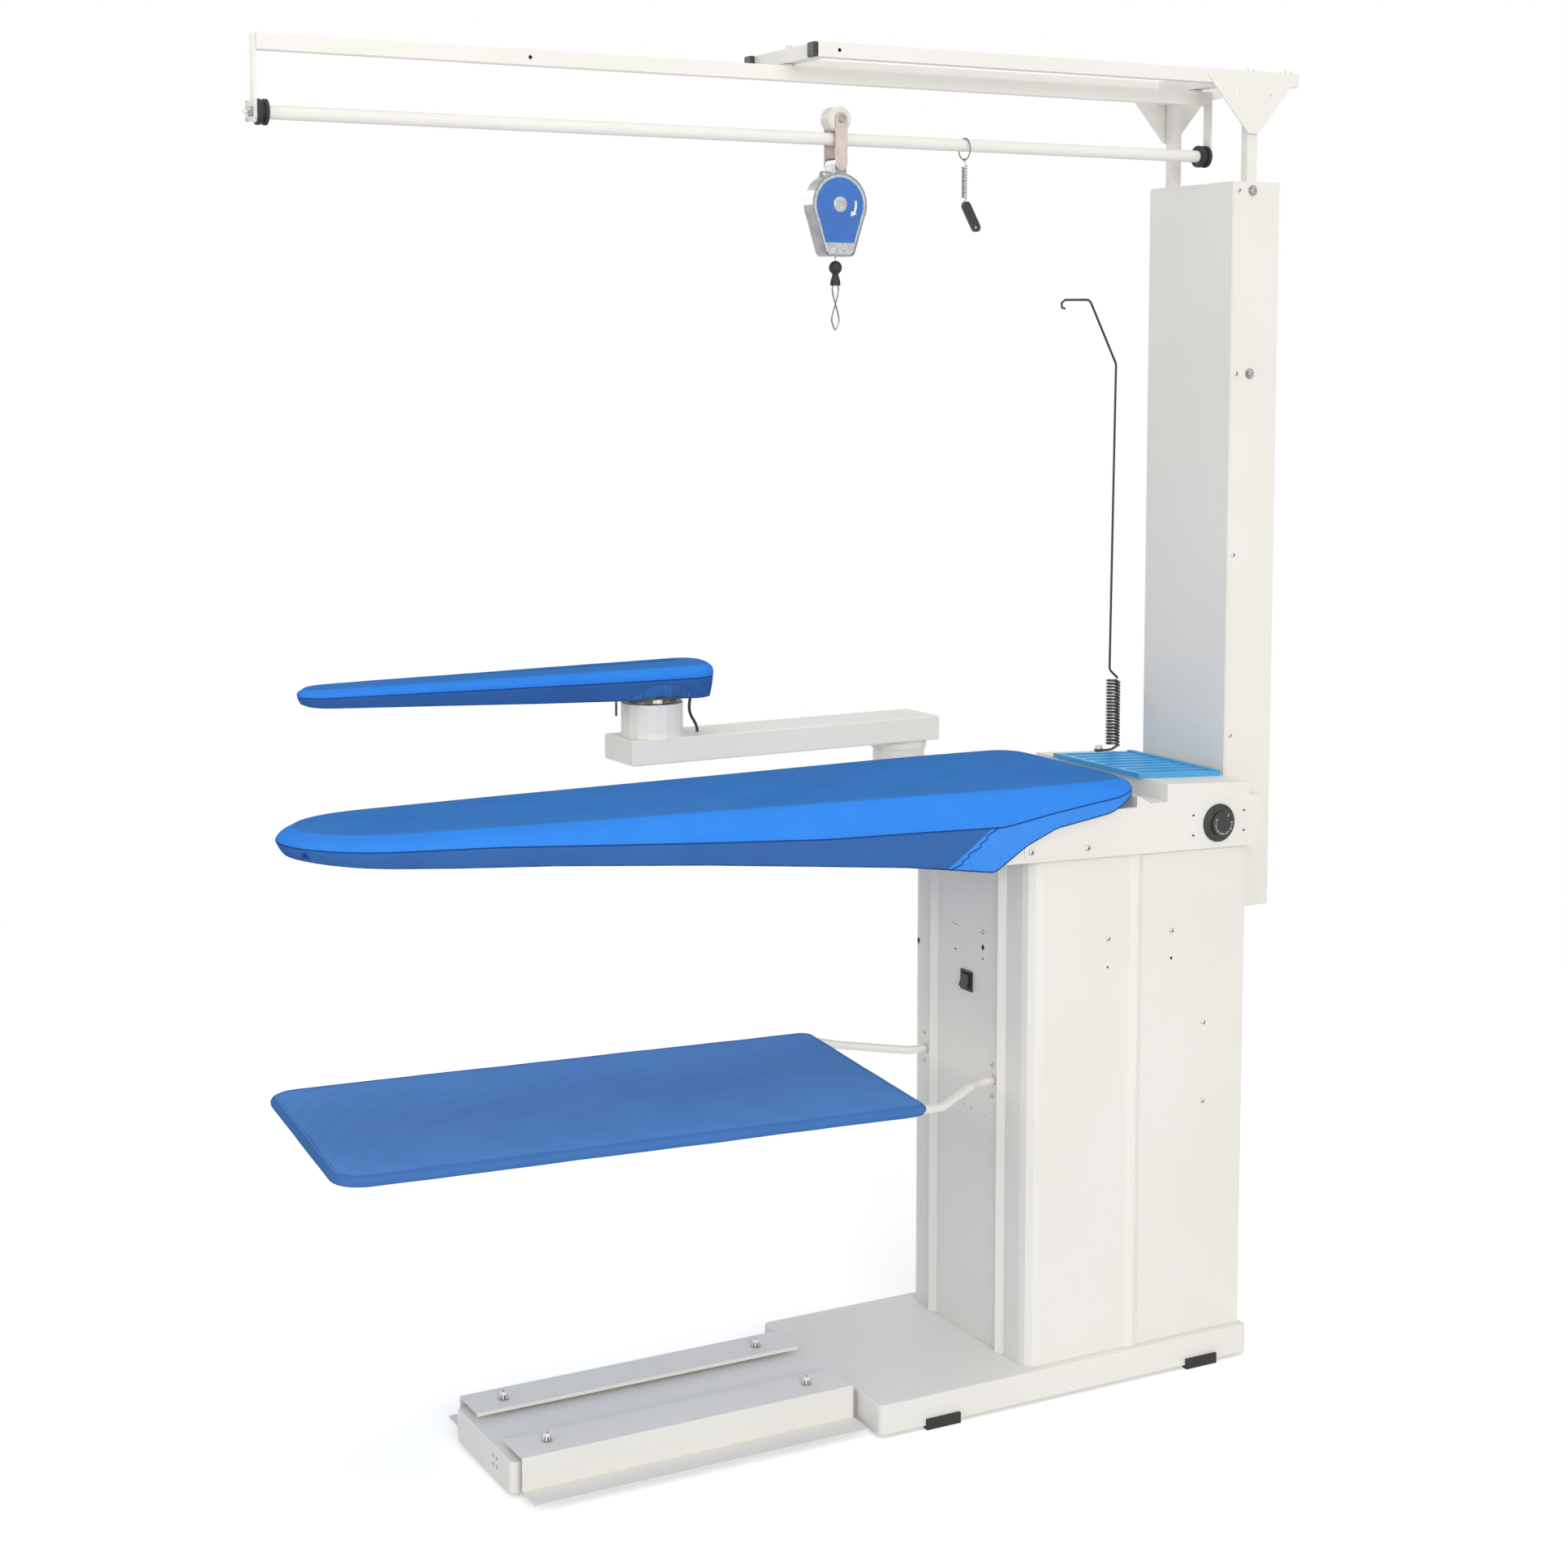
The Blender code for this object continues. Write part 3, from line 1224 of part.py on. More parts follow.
def impeller_outline():
    """A hub with straight radial blades."""
    outline = []
    spread = math.asin(BLADE_HALF / IMPELLER_HUB_RADIUS)
    for blade in range(IMPELLER_BLADES):
        angle = math.tau * blade / IMPELLER_BLADES
        along = Vector((math.cos(angle), math.sin(angle)))
        side = Vector((-along.y, along.x)) * BLADE_HALF
        tip = along * (IMPELLER_RADIUS - BLADE_HALF)
        for turn in (-spread, None, spread):
            if turn is None:
                outline += [tuple(tip - side), tuple(tip + side)]
            else:
                at = angle + turn
                outline.append((IMPELLER_HUB_RADIUS * math.cos(at), IMPELLER_HUB_RADIUS * math.sin(at)))
    return outline


def outlet_duct(bottom, top):
    """A square duct from the blower's side to the slots in the back panel, round at its blower end."""
    left = BLOWER_X + IMPELLER_RADIUS
    right = CABINET_RIGHT - SHEET - GAP
    duct = box("outlet_duct", (left, -OUTLET_HALF_WIDTH, bottom), (right, OUTLET_HALF_WIDTH, top),
        galvanised())
    round_off = rods(
        "blower_round", [((BLOWER_X, 0, bottom - OVERRUN), (BLOWER_X, 0, top + OVERRUN))],
        BLOWER_RADIUS - BLOWER_WALL,
        galvanised(), sides=ROUND_SIDES
    )
    return cut(duct, as_cutter(round_off))


# Head
def tub_bottom(x):
    return TUB_BOTTOM + (HEAD_LEFT - x) * TUB_BOTTOM_SLOPE


def head_outline():
    ridge_left = HEAD_RIDGE_X - HEAD_RIDGE_WIDTH
    return [
        (HEAD_LEFT, HEAD_LEFT_BOTTOM), (HEAD_RIGHT, HEAD_RIGHT_BOTTOM), (HEAD_RIGHT, HEAD_EAR_TOP),
        (HEAD_EAR_LEFT, HEAD_EAR_TOP), (HEAD_BACK_X, HEAD_BACK_TOP), (HEAD_STEP_X, HEAD_STEP_TOP),
        (HEAD_STEP_X, HEAD_LEDGE_RIGHT), (HEAD_LEDGE_X, HEAD_LEDGE_LEFT), (HEAD_RIDGE_X, HEAD_RIDGE_TOP),
        (ridge_left, HEAD_RIDGE_TOP), (ridge_left, tub_bottom(ridge_left) - GAP),
        (HEAD_LEFT, tub_bottom(HEAD_LEFT) - GAP)
    ]


def build_head():
    head = slab("head_housing", [head_outline()], -HEAD_HALF_WIDTH, HEAD_HALF_WIDTH, "Y", powder_coat())
    shell(head, [(0, 0, -1)], bend=0)
    notch = COLUMN_HALF_WIDTH + GAP
    mill(
        head, "column_notch", (COLUMN_LEFT - GAP, -notch, HEAD_RIGHT_BOTTOM - OVERRUN),
        (HEAD_RIGHT + OVERRUN, notch, HEAD_EAR_TOP + OVERRUN)
    )
    near = -HEAD_HALF_WIDTH
    holes = [
        ((DIAL_X + side * DIAL_HOLES_ACROSS, near - OVERRUN, DIAL_HEIGHT + up * DIAL_HOLES_UP),
         (DIAL_X + side * DIAL_HOLES_ACROSS, near + SHEET + OVERRUN, DIAL_HEIGHT + up * DIAL_HOLES_UP))
        for side in (-1, 1) for up in (-1, 1)
    ]
    drill(head, "dial_plate_holes", holes, SMALL_HOLE_RADIUS)
    shaft = [((DIAL_X, near - OVERRUN, DIAL_HEIGHT), (DIAL_X, near + SHEET + OVERRUN, DIAL_HEIGHT))]
    drill(head, "dial_shaft_hole", shaft, DIAL_SHAFT_RADIUS + GAP * 2, sides=SMALL_SIDES)
    mouth = CHAMBER_HALF_WIDTH - CHAMBER_MOUTH_MARGIN
    mill(
        head, "head_mouth", (HEAD_LEFT - OVERRUN, -mouth, TUB_BOTTOM - CHAMBER_DEPTH + CHAMBER_MOUTH_MARGIN),
        (HEAD_LEFT + SHEET + OVERRUN, mouth, TUB_BOTTOM - CHAMBER_MOUTH_MARGIN)
    )
    weld(head, wire_bolt())
    build_access_plate()


def head_top(x):
    """Height of the head's sloping top plate."""
    slope = (HEAD_BACK_TOP - HEAD_STEP_TOP) / (HEAD_BACK_X - HEAD_STEP_X)
    return HEAD_STEP_TOP + (x - HEAD_STEP_X) * slope


def build_head_floor(blower_top):
    """The plate between cabinet and head, with the suction duct that hangs from it."""
    wide = HEAD_HALF_WIDTH - SHEET - GAP
    low, high = CABINET_TOP + GAP, CABINET_TOP + GAP + HEAD_FLOOR
    plate = box("head_floor", (HEAD_FLOOR_LEFT, -wide, low), (HEAD_FLOOR_RIGHT, wide, high), galvanised())
    duct = rods(
        "suction_duct", [((BLOWER_X, 0, blower_top + GAP), (BLOWER_X, 0, low + HEAD_FLOOR / 2))],
        DUCT_RADIUS, galvanised(),
        sides=ROUND_SIDES
    )
    weld(plate, duct)
    drill(
        plate, "duct_bore", [((BLOWER_X, 0, blower_top - OVERRUN), (BLOWER_X, 0, high + OVERRUN))],
        DUCT_RADIUS - DUCT_WALL, sides=ROUND_SIDES
    )


def build_access_plate():
    face = -HEAD_HALF_WIDTH - GAP
    outline = rounded_rectangle((ACCESS_LEFT, ACCESS_BOTTOM), (ACCESS_RIGHT, ACCESS_TOP), ACCESS_CORNER, 2)
    plate = slab("access_plate", [outline], face - ACCESS_SHEET, face, "Y", powder_coat())
    places = [(x, face - ACCESS_SHEET, z) for x, z in ACCESS_SCREWS]
    weld(plate, screw_heads("access_screws", places, (0, -1, 0), radius=PLATE_SCREW_RADIUS))


def build_dial():
    near = -HEAD_HALF_WIDTH
    hub = pivot("dial_axis", (DIAL_X, near, DIAL_HEIGHT))
    bore = DIAL_SHAFT_RADIUS + GAP * 2
    shaft_end = -SHEET - REGULATOR_DEPTH / 2
    turned(
        "dial_knob",
        [(0, DIAL_HEIGHT_PROUD), (DIAL_CAP_RADIUS - SHEET / 2, DIAL_HEIGHT_PROUD),
         (DIAL_CAP_RADIUS, DIAL_HEIGHT_PROUD - SHEET / 2), (DIAL_CAP_RADIUS, DIAL_SKIRT_HEIGHT + SHEET / 2),
         (DIAL_SKIRT_RADIUS, DIAL_SKIRT_HEIGHT / 2), (DIAL_SKIRT_RADIUS, GAP), (DIAL_SHAFT_RADIUS, GAP),
         (DIAL_SHAFT_RADIUS, shaft_end), (0, shaft_end)],
        black_plastic(), hub, axis="Y", steps=FINE_SIDES
    )
    back = SHEET + GAP
    blind = SHEET + REGULATOR_DEPTH / 2 + GAP
    body = rods(
        "dial_regulator", [((DIAL_X, near + back, DIAL_HEIGHT), (DIAL_X, near + back + REGULATOR_DEPTH,
        DIAL_HEIGHT))],
        REGULATOR_RADIUS, black_plastic(), sides=ROUND_SIDES
    )
    drill(
        body, "regulator_bore", [((DIAL_X, near, DIAL_HEIGHT), (DIAL_X, near + blind, DIAL_HEIGHT))], bore,
        sides=SMALL_SIDES
    )


def build_iron_rest():
    """A silicone mat on the head's top: a thin base, ribs along X and a raised bar at its back edge."""
    pitch = (2 * REST_HALF_WIDTH - REST_RIB_WIDTH) / (REST_RIBS - 1)
    top = REST_BASE + REST_RIB_HEIGHT
    outline = [(REST_HALF_WIDTH, 0)]
    for index in range(REST_RIBS):
        right = REST_HALF_WIDTH - index * pitch
        left = right - REST_RIB_WIDTH
        outline += [(right, REST_BASE), (right, top), (left, top), (left, REST_BASE)]
    outline.append((-REST_HALF_WIDTH, 0))
    outline = list(dict.fromkeys(outline))
    slope = math.atan2(HEAD_STEP_TOP - HEAD_BACK_TOP, HEAD_BACK_X - HEAD_STEP_X)
    seat = (HEAD_STEP_X, 0, HEAD_STEP_TOP + GAP)
    low, high = REST_LEFT - HEAD_STEP_X, REST_RIGHT - HEAD_STEP_X
    mat = slab("iron_rest", [outline], low, high, "X", finish("rest_silicone", (0.10, 0.42, 0.72), 0.5),
        at=seat,
               turn=(0, slope, 0))
    for label, left in (("back", high - REST_BAR_WIDTH), ("front", low)):
        height = REST_BAR_HEIGHT if label == "back" else top
        bar = box(
            f"rest_bar_{label}", (left, -REST_HALF_WIDTH, REST_BASE / 2),
            (left + REST_BAR_WIDTH, REST_HALF_WIDTH, height),
            galvanised(), at=seat, turn=(0, slope, 0)
        )
        weld(mat, bar)


# Boards: outlines, lofts and covers
def board_plan(right, nose, half, corner, half_shares, stations, nose_points):
    """Plan of a board's top edge, anticlockwise from the near wide corner round to it again."""
    length = right - nose
    side = [(right - share * length, half * np.interp(share, *zip(*half_shares))) for share in stations]
    start_x, start_half = side[-1]
    reach = start_x - nose
    near_corner = arc((right - corner, -half + corner), corner, 270, 360, CORNER_POINTS)
    far_corner = arc((right - corner, half - corner), corner, 0, 90, CORNER_POINTS)
    angles = np.linspace(90, 270, nose_points + 1)[1:-1]
    tip = [(start_x + reach * math.cos(math.radians(a)),
        start_half * math.sin(math.radians(a))) for a in angles]
    return near_corner + far_corner + side + tip + [(x, -y) for x, y in reversed(side)]


def outset(points, distances):
    """Moves each point of a closed plan outwards along its normal."""
    plan = np.array(points)
    along = np.roll(plan, -1, axis=0) - np.roll(plan, 1, axis=0)
    normal = np.column_stack((along[:, 1], -along[:, 0]))
    normal /= np.linalg.norm(normal, axis=1)[:, None]
    return plan + normal * np.reshape(distances, (-1, 1))


def loft(name, rings, material, parent=None):
    """Skins closed rings of equally many points and closes the first and last with a face."""
    bm = bmesh.new()
    loops = [[bm.verts.new(point) for point in ring] for ring in rings]
    for first, second in zip(loops, loops[1:]):
        for index in range(len(first)):
            after = (index + 1) % len(first)
            bm.faces.new((first[index], first[after], second[after], second[index]))
    bm.faces.new(loops[0])
    bm.faces.new(loops[-1])
    return from_bmesh(name, bm, material, parent)


def ring_at(plan, heights):
    return [(x, y, z) for (x, y), z in zip(plan, heights)]


def padded_cover(name, plan, spec, parent=None):
    """A fitted cover: crowned pad, drawn-in sides down to a seam, and a gathered skirt below it."""
    points = np.array(plan)
    share = (spec["right"] - points[:, 0]) / (spec["right"] - spec["nose"])
    share = np.clip(share, 0, 1)
    top = spec["top"] + share * spec["rise"]
    seam = spec["top"] - spec["depth"] * np.interp(share, *zip(*spec["seam"]))
    hem = spec["top"] - spec["depth"] * np.interp(share, *zip(*spec["hem"]))
    drawn = spec["seam_outset"] - spec["draw_in"] * np.interp(share, *zip(*spec["draw"]))
    cloth, edge, out = spec["cloth"], spec["edge"], spec["seam_outset"]
    level = np.ones(len(plan))
    bulge = (out * 3 + drawn * 2) / 5
    rings = [
        (-spec["crown_inset"] * level, top + spec["crown"]),
        (-edge * level, top),
        (edge / 2 * level, top - edge / 2),
        ((out + edge) / 2 * level, top - (top - seam) * WAIST_SHARE),
        (out * level, seam),
        (bulge, (seam + hem) / 2),
        (drawn, hem),
        (drawn - cloth, hem),
        ((out - cloth) * level, seam),
        (((out + edge) / 2 - cloth) * level, top - (top - seam) * WAIST_SHARE),
        (0 * level, top - spec["pad"]),
        (-spec["crown_inset"] * level, top - spec["pad"]),
    ]
    return loft(name, [ring_at(outset(plan, distance), height) for distance, height in rings], blue_cloth(),
        parent)


def build_board():
    plan = board_plan(
        BOARD_RIGHT, BOARD_NOSE, BOARD_HALF_WIDTH, BOARD_CORNER, BOARD_HALF_SHARES, BOARD_STATION_SHARES,
        NOSE_POINTS
    )
    padded_cover("board_cover", plan, {
        "right": BOARD_RIGHT, "nose": BOARD_NOSE, "top": BOARD_TOP, "rise": BOARD_NOSE_RISE,
        "depth": BOARD_DEPTH,
        "seam": BOARD_SEAM_SHARES, "hem": BOARD_HEM_SHARES, "draw": BOARD_DRAW_SHARES,
        "draw_in": BOARD_HEM_DRAW,
        "seam_outset": BOARD_SEAM_OUTSET, "crown": BOARD_CROWN, "crown_inset": BOARD_CROWN_INSET,
        "edge": BOARD_EDGE, "pad": BOARD_PAD, "cloth": BOARD_SKIRT
    })
    build_tub(plan)
    build_chamber()


def board_top(x):
    share = (BOARD_RIGHT - x) / (BOARD_RIGHT - BOARD_NOSE)
    return BOARD_TOP + share * BOARD_NOSE_RISE


def build_tub(plan):
    """The board's sheet-metal tub, with a slotted grid plate in its top under the pad."""
    outer = outset(plan, [-TUB_INSET] * len(plan))
    foot = outset(plan, [-TUB_INSET - TUB_TAPER] * len(plan))
    inner = outset(plan, [-TUB_INSET - TUB_WALL] * len(plan))
    inner_foot = outset(plan, [-TUB_INSET - TUB_TAPER - TUB_WALL] * len(plan))
    rim = [board_top(x) - BOARD_PAD - GAP for x, _ in outer]
    bottom = [tub_bottom(x) for x, _ in foot]
    inside = [tub_bottom(x) + TUB_WALL for x, _ in inner_foot]
    tub = loft("board_tub", [ring_at(foot, bottom), ring_at(outer, rim), ring_at(inner, rim),
        ring_at(inner_foot, inside)],
               galvanised())
    mouth = CHAMBER_HALF_WIDTH - CHAMBER_MOUTH_MARGIN
    mill(tub, "tub_mouth", (CHAMBER_LEFT / 2, -mouth, TUB_BOTTOM - OVERRUN),
         (HEAD_LEFT - CHAMBER_MOUTH_MARGIN, mouth, TUB_BOTTOM + OVERRUN * 2))
    edge = outset(plan, [-TUB_INSET - TUB_WALL - GRID_PLAY] * len(plan))
    above = [board_top(x) - BOARD_PAD - GAP for x, _ in edge]
    below = [height - GRID_SHEET for height in above]
    grid = loft("board_grid", [ring_at(edge, below), ring_at(edge, above)], galvanised())
    bm = bmesh.new()
    for index in range(GRID_SLOTS):
        middle = BOARD_RIGHT + (BOARD_NOSE - BOARD_RIGHT) * (index + 1) / (GRID_SLOTS + 1)
        add_box(
            bm, (middle - GRID_SLOT[1] / 2, -GRID_SLOT[0] / 2, BOARD_TOP - BOARD_PAD - OVERRUN * 2),
            (middle + GRID_SLOT[1] / 2, GRID_SLOT[0] / 2, BOARD_TOP + OVERRUN)
        )
    cut(grid, as_cutter(from_bmesh("grid_slots", bm, galvanised())))


def build_chamber():
    """The wedge-shaped suction chamber under the tub that leads the air into the head."""
    right = HEAD_LEFT - GAP
    top_right = tub_bottom(right) - GAP
    top_left = tub_bottom(CHAMBER_LEFT) - GAP
    outline = [
        (right, top_right), (CHAMBER_LEFT, top_left), (CHAMBER_LEFT, top_left - CHAMBER_NOSE_DEPTH),
        (right, top_right - CHAMBER_DEPTH)
    ]
    chamber = slab("board_chamber", [outline], -CHAMBER_HALF_WIDTH, CHAMBER_HALF_WIDTH, "Y", powder_coat())
    shell(chamber, [(0, 0, 1), (1, 0, 0)], bend=0)


# Column
def build_column():
    front = COLUMN_LEFT + SHEET + GAP
    wide = COLUMN_HALF_WIDTH
    channel = box(
        "column_channel", (front, -wide, COLUMN_BOTTOM), (COLUMN_RIGHT, wide, COLUMN_TOP), powder_coat()
    )
    shell(channel, [(-1, 0, 0), (0, 0, -1)], bend=0)
    inner = wide - SHEET - GAP
    flange = COLUMN_LEFT + COVER_FLANGE
    thick = SHEET
    lid_outline = [
        (COLUMN_LEFT, -wide), (COLUMN_LEFT + thick, -wide), (COLUMN_LEFT + thick, -inner), (flange, -inner),
        (flange, -inner + thick), (COLUMN_LEFT + thick, -inner + thick), (COLUMN_LEFT + thick, inner - thick),
        (flange, inner - thick), (flange, inner), (COLUMN_LEFT + thick, inner), (COLUMN_LEFT + thick, wide),
        (COLUMN_LEFT, wide)
    ]
    slab("column_cover", [lid_outline], COLUMN_BOTTOM, COLUMN_TOP - SHEET - GAP, "Z", powder_coat())
    for side in (-1, 1):
        screws = [(COLUMN_SCREW_X, side * wide, height) for height in COLUMN_SCREW_HEIGHTS]
        weld(channel, screw_heads(f"column_screws_{side}", screws, (0, side, 0)))
        bolts = [(COLUMN_BOLT_X, side * wide, height) for height in COLUMN_BOLT_HEIGHTS]
        weld(channel, bolt_heads(f"column_bolts_{side}", bolts, (0, side, 0)))
    for side in (-1, 1):
        edges = sorted((side * (POST_OUTER + GAP), side * (POST_OUTER - POST[1] - GAP)))
        mill(
            channel, f"post_opening_{side}", (POST_LEFT - GAP, edges[0], COLUMN_TOP - SHEET - OVERRUN),
            (POST_LEFT + POST[0] + GAP, edges[1], COLUMN_TOP + OVERRUN)
        )


# Gantry
def build_top_frame():
    """One weldment: two long tubes, two cross tubes, the posts and the side gussets."""
    bores = bmesh.new()
    sink = THIN_TUBE_WALL / 2
    inner = FRAME_OUTER - FRAME_TUBE
    frame = None
    for side, word in ((-1, "near"), (1, "far")):
        edges = sorted((side * FRAME_OUTER, side * inner))
        low, high = (FRAME_LEFT, edges[0], FRAME_BOTTOM), (FRAME_RIGHT, edges[1], FRAME_TOP)
        solid = box(f"frame_tube_{word}" if frame else "gantry_frame", low, high, powder_coat())
        frame = weld(frame, solid) if frame else solid
        add_bore(bores, low, high, 0)
        post_edges = sorted((side * POST_OUTER, side * (POST_OUTER - POST[1])))
        post_low = (POST_LEFT, post_edges[0], POST_BOTTOM)
        post_high = (POST_LEFT + POST[0], post_edges[1], FRAME_BOTTOM + sink)
        weld(frame, box(f"gantry_post_{word}", post_low, post_high, powder_coat()))
        add_bore(bores, post_low, (*post_high[:2], FRAME_BOTTOM - OVERRUN), 2, closed_top=True)
        weld(frame, gusset(side, word))
        end = box(
            f"end_cap_{word}", (FRAME_LEFT - GAP - END_CAP, edges[0], FRAME_BOTTOM),
            (FRAME_LEFT - GAP, edges[1], FRAME_TOP),
            black_plastic()
        )
        soften(end, THIN_TUBE_WALL)
    for middle, word in ((CROSS_LEFT_X, "left"), (CROSS_RIGHT_X, "right")):
        low = (middle - FRAME_TUBE / 2, -inner - sink, FRAME_BOTTOM + sink / 2)
        high = (middle + FRAME_TUBE / 2, inner + sink, FRAME_TOP - sink / 2)
        weld(frame, box(f"cross_tube_{word}", low, high, powder_coat()))
        wall = THIN_TUBE_WALL + sink / 2
        add_box(
            bores, (low[0] + wall, -FRAME_MIDDLE, low[2] + THIN_TUBE_WALL),
            (high[0] - wall, FRAME_MIDDLE, high[2] - THIN_TUBE_WALL)
        )
    cut(frame, as_cutter(from_bmesh("frame_bores", bores, galvanised())))
    height = FRAME_TOP - FRAME_TUBE / 2
    holes = [
        ((FRAME_HOLE_X, side * (FRAME_OUTER + OVERRUN), height),
         (FRAME_HOLE_X, side * (FRAME_OUTER - THIN_TUBE_WALL - OVERRUN), height))
        for side in (-1, 1)
    ]
    drill(frame, "frame_holes", holes, FRAME_HOLE_RADIUS)
    tops = [(x, side * FRAME_MIDDLE, FRAME_TOP) for x in FRAME_BOLT_X for side in (-1, 1)]
    weld(frame, bolt_heads("frame_bolts", tops, (0, 0, 1), FRAME_WASHER_RADIUS))
    crosses = [(middle, 0, FRAME_TOP - sink / 2) for middle in (CROSS_LEFT_X, CROSS_RIGHT_X)]
    weld(frame, bolt_heads("cross_bolts", crosses, (0, 0, 1), FRAME_WASHER_RADIUS))


def add_bore(bm, low, high, along, closed_top=False):
    """The inside of a box-section tube, running out of its ends."""
    low, high = list(low), list(high)
    for axis in range(3):
        low[axis] += -OVERRUN if axis == along else THIN_TUBE_WALL
        if axis == along and closed_top:
            continue
        high[axis] += OVERRUN if axis == along else -THIN_TUBE_WALL
    add_box(bm, low, high)


def gusset(side, word):
    edges = sorted((side * (FRAME_OUTER - THIN_TUBE_WALL / 3), side * (FRAME_OUTER + SHEET)))
    top, ends = FRAME_TOP - THIN_TUBE_WALL / 3, FRAME_RIGHT - THIN_TUBE_WALL / 3
    outline = [
        (GUSSET_LEFT, top), (GUSSET_LEFT, top - GUSSET_LEFT_DROP), (GUSSET_FOOT_LEFT, GUSSET_FOOT),
        (GUSSET_FOOT_RIGHT, GUSSET_FOOT), (GUSSET_CUT_X, top - GUSSET_CUT_DROP),
        (ends, top - GUSSET_LEFT_DROP), (ends, top)
    ]
    holes = [circle((x, GUSSET_HOLE_HEIGHT), GUSSET_HOLE_RADIUS, SCREW_SIDES) for x in GUSSET_HOLES_X]
    return slab(f"gusset_{word}", [outline, *holes], edges[0], edges[1], "Y", powder_coat())


def build_beam():
    """The square beam with a welded tab at each end that carries the rail."""
    half_tube = FRAME_TUBE / 2
    low, high = (BEAM_LEFT, -half_tube, BEAM_BOTTOM), (BEAM_RIGHT, half_tube, BEAM_TOP)
    beam = box("rail_beam", low, high, powder_coat())
    bore = bmesh.new()
    add_bore(bore, low, high, 0)
    cut(beam, as_cutter(from_bmesh("beam_bore", bore, galvanised())))
    height = BEAM_TOP - half_tube
    drill(
        beam, "beam_hole",
        [((BEAM_HOLE_X, -half_tube - OVERRUN, height),
        (BEAM_HOLE_X, -half_tube + THIN_TUBE_WALL + OVERRUN, height))],
        BEAM_HOLE_RADIUS
    )
    half = TAB_WIDTH / 2
    bottom = RAIL_HEIGHT - TAB_BELOW_RAIL
    sink = THIN_TUBE_WALL / 3
    top = BEAM_TOP - sink
    outline = [(half, top), (-half, top)] + arc((0, bottom + half), half, 180, 360)
    hole = circle((0, RAIL_HEIGHT), RAIL_SCREW_RADIUS + GAP * 2)
    for word, start, end in (
        ("left", BEAM_LEFT - TAB_THICK, BEAM_LEFT + sink),
        ("right", BEAM_RIGHT - sink, BEAM_RIGHT + TAB_THICK)
    ):
        weld(beam, slab(f"beam_tab_{word}", [outline, hole], start, end, "X", powder_coat()))
    spacers = [
        ((middle, 0, BEAM_TOP - sink), (middle, 0, FRAME_BOTTOM - GAP)) for middle in (CROSS_LEFT_X,
        CROSS_RIGHT_X)
    ]
    weld(beam, rods("beam_spacers", spacers, SPACER_RADIUS, powder_coat()))


def build_rail():
    """The round rail with a threaded stud in each end, its rubber stoppers and its wing nut."""
    rail = rods(
        "trolley_rail", [((RAIL_LEFT, 0, RAIL_HEIGHT), (RAIL_RIGHT, 0, RAIL_HEIGHT))], RAIL_RADIUS,
        powder_coat(),
        sides=ROUND_SIDES
    )
    left_face = BEAM_LEFT - TAB_THICK - GAP
    right_face = BEAM_RIGHT + TAB_THICK + GAP
    weld(rail, rods(
        "rail_studs", [((left_face - RAIL_SCREW_OUT, 0, RAIL_HEIGHT), (right_face + BOLT_HEAD / 2, 0,
        RAIL_HEIGHT))],
        RAIL_SCREW_RADIUS, bright_steel(), sides=SMALL_SIDES
    ))
    weld(rail, rods(
        "rail_nut", [((right_face, 0, RAIL_HEIGHT), (right_face + BOLT_HEAD, 0, RAIL_HEIGHT))],
        hex_radius(BOLT_FLATS),
        bright_steel(), sides=HEX
    ))
    bore = RAIL_SCREW_RADIUS + GAP
    tab_in = THIN_TUBE_WALL / 3 + GAP
    stops = (("left", BEAM_LEFT + tab_in, RAIL_LEFT - GAP), ("right", RAIL_RIGHT + GAP, BEAM_RIGHT - tab_in))
    for word, low, high in stops:
        third = (high - low) / 3
        profile = [
            (bore, high), (STOPPER_RADIUS, high), (STOPPER_RADIUS, high - third),
            (STOPPER_RADIUS - STOPPER_GROOVE, high - third), (STOPPER_RADIUS - STOPPER_GROOVE, low + third),
            (STOPPER_RADIUS, low + third), (STOPPER_RADIUS, low), (bore, low)
        ]
        turned(f"rail_stopper_{word}", profile, black_rubber(), at=(0, 0, RAIL_HEIGHT), axis="X", closed=True)
    build_wing_nut(left_face)


def build_wing_nut(seat):
    end = seat - WING_HUB_LENGTH
    nut = rods("wing_nut", [((end, 0, RAIL_HEIGHT), (seat, 0, RAIL_HEIGHT))], WING_HUB_RADIUS,
        bright_steel(), sides=ROUND_SIDES)
    half = WING_THICK / 2
    wings = box(
        "nut_wings", (end - WING_HUB_LENGTH / 2, -half, RAIL_HEIGHT - WING_SPAN),
        (seat - WING_HUB_LENGTH / 3, half, RAIL_HEIGHT + WING_SPAN), bright_steel()
    )
    weld(nut, wings)
    bore = [((end - WING_HUB_LENGTH, 0, RAIL_HEIGHT), (seat + OVERRUN, 0, RAIL_HEIGHT))]
    drill(nut, "wing_nut_bore", bore, RAIL_SCREW_RADIUS + GAP, sides=SMALL_SIDES)


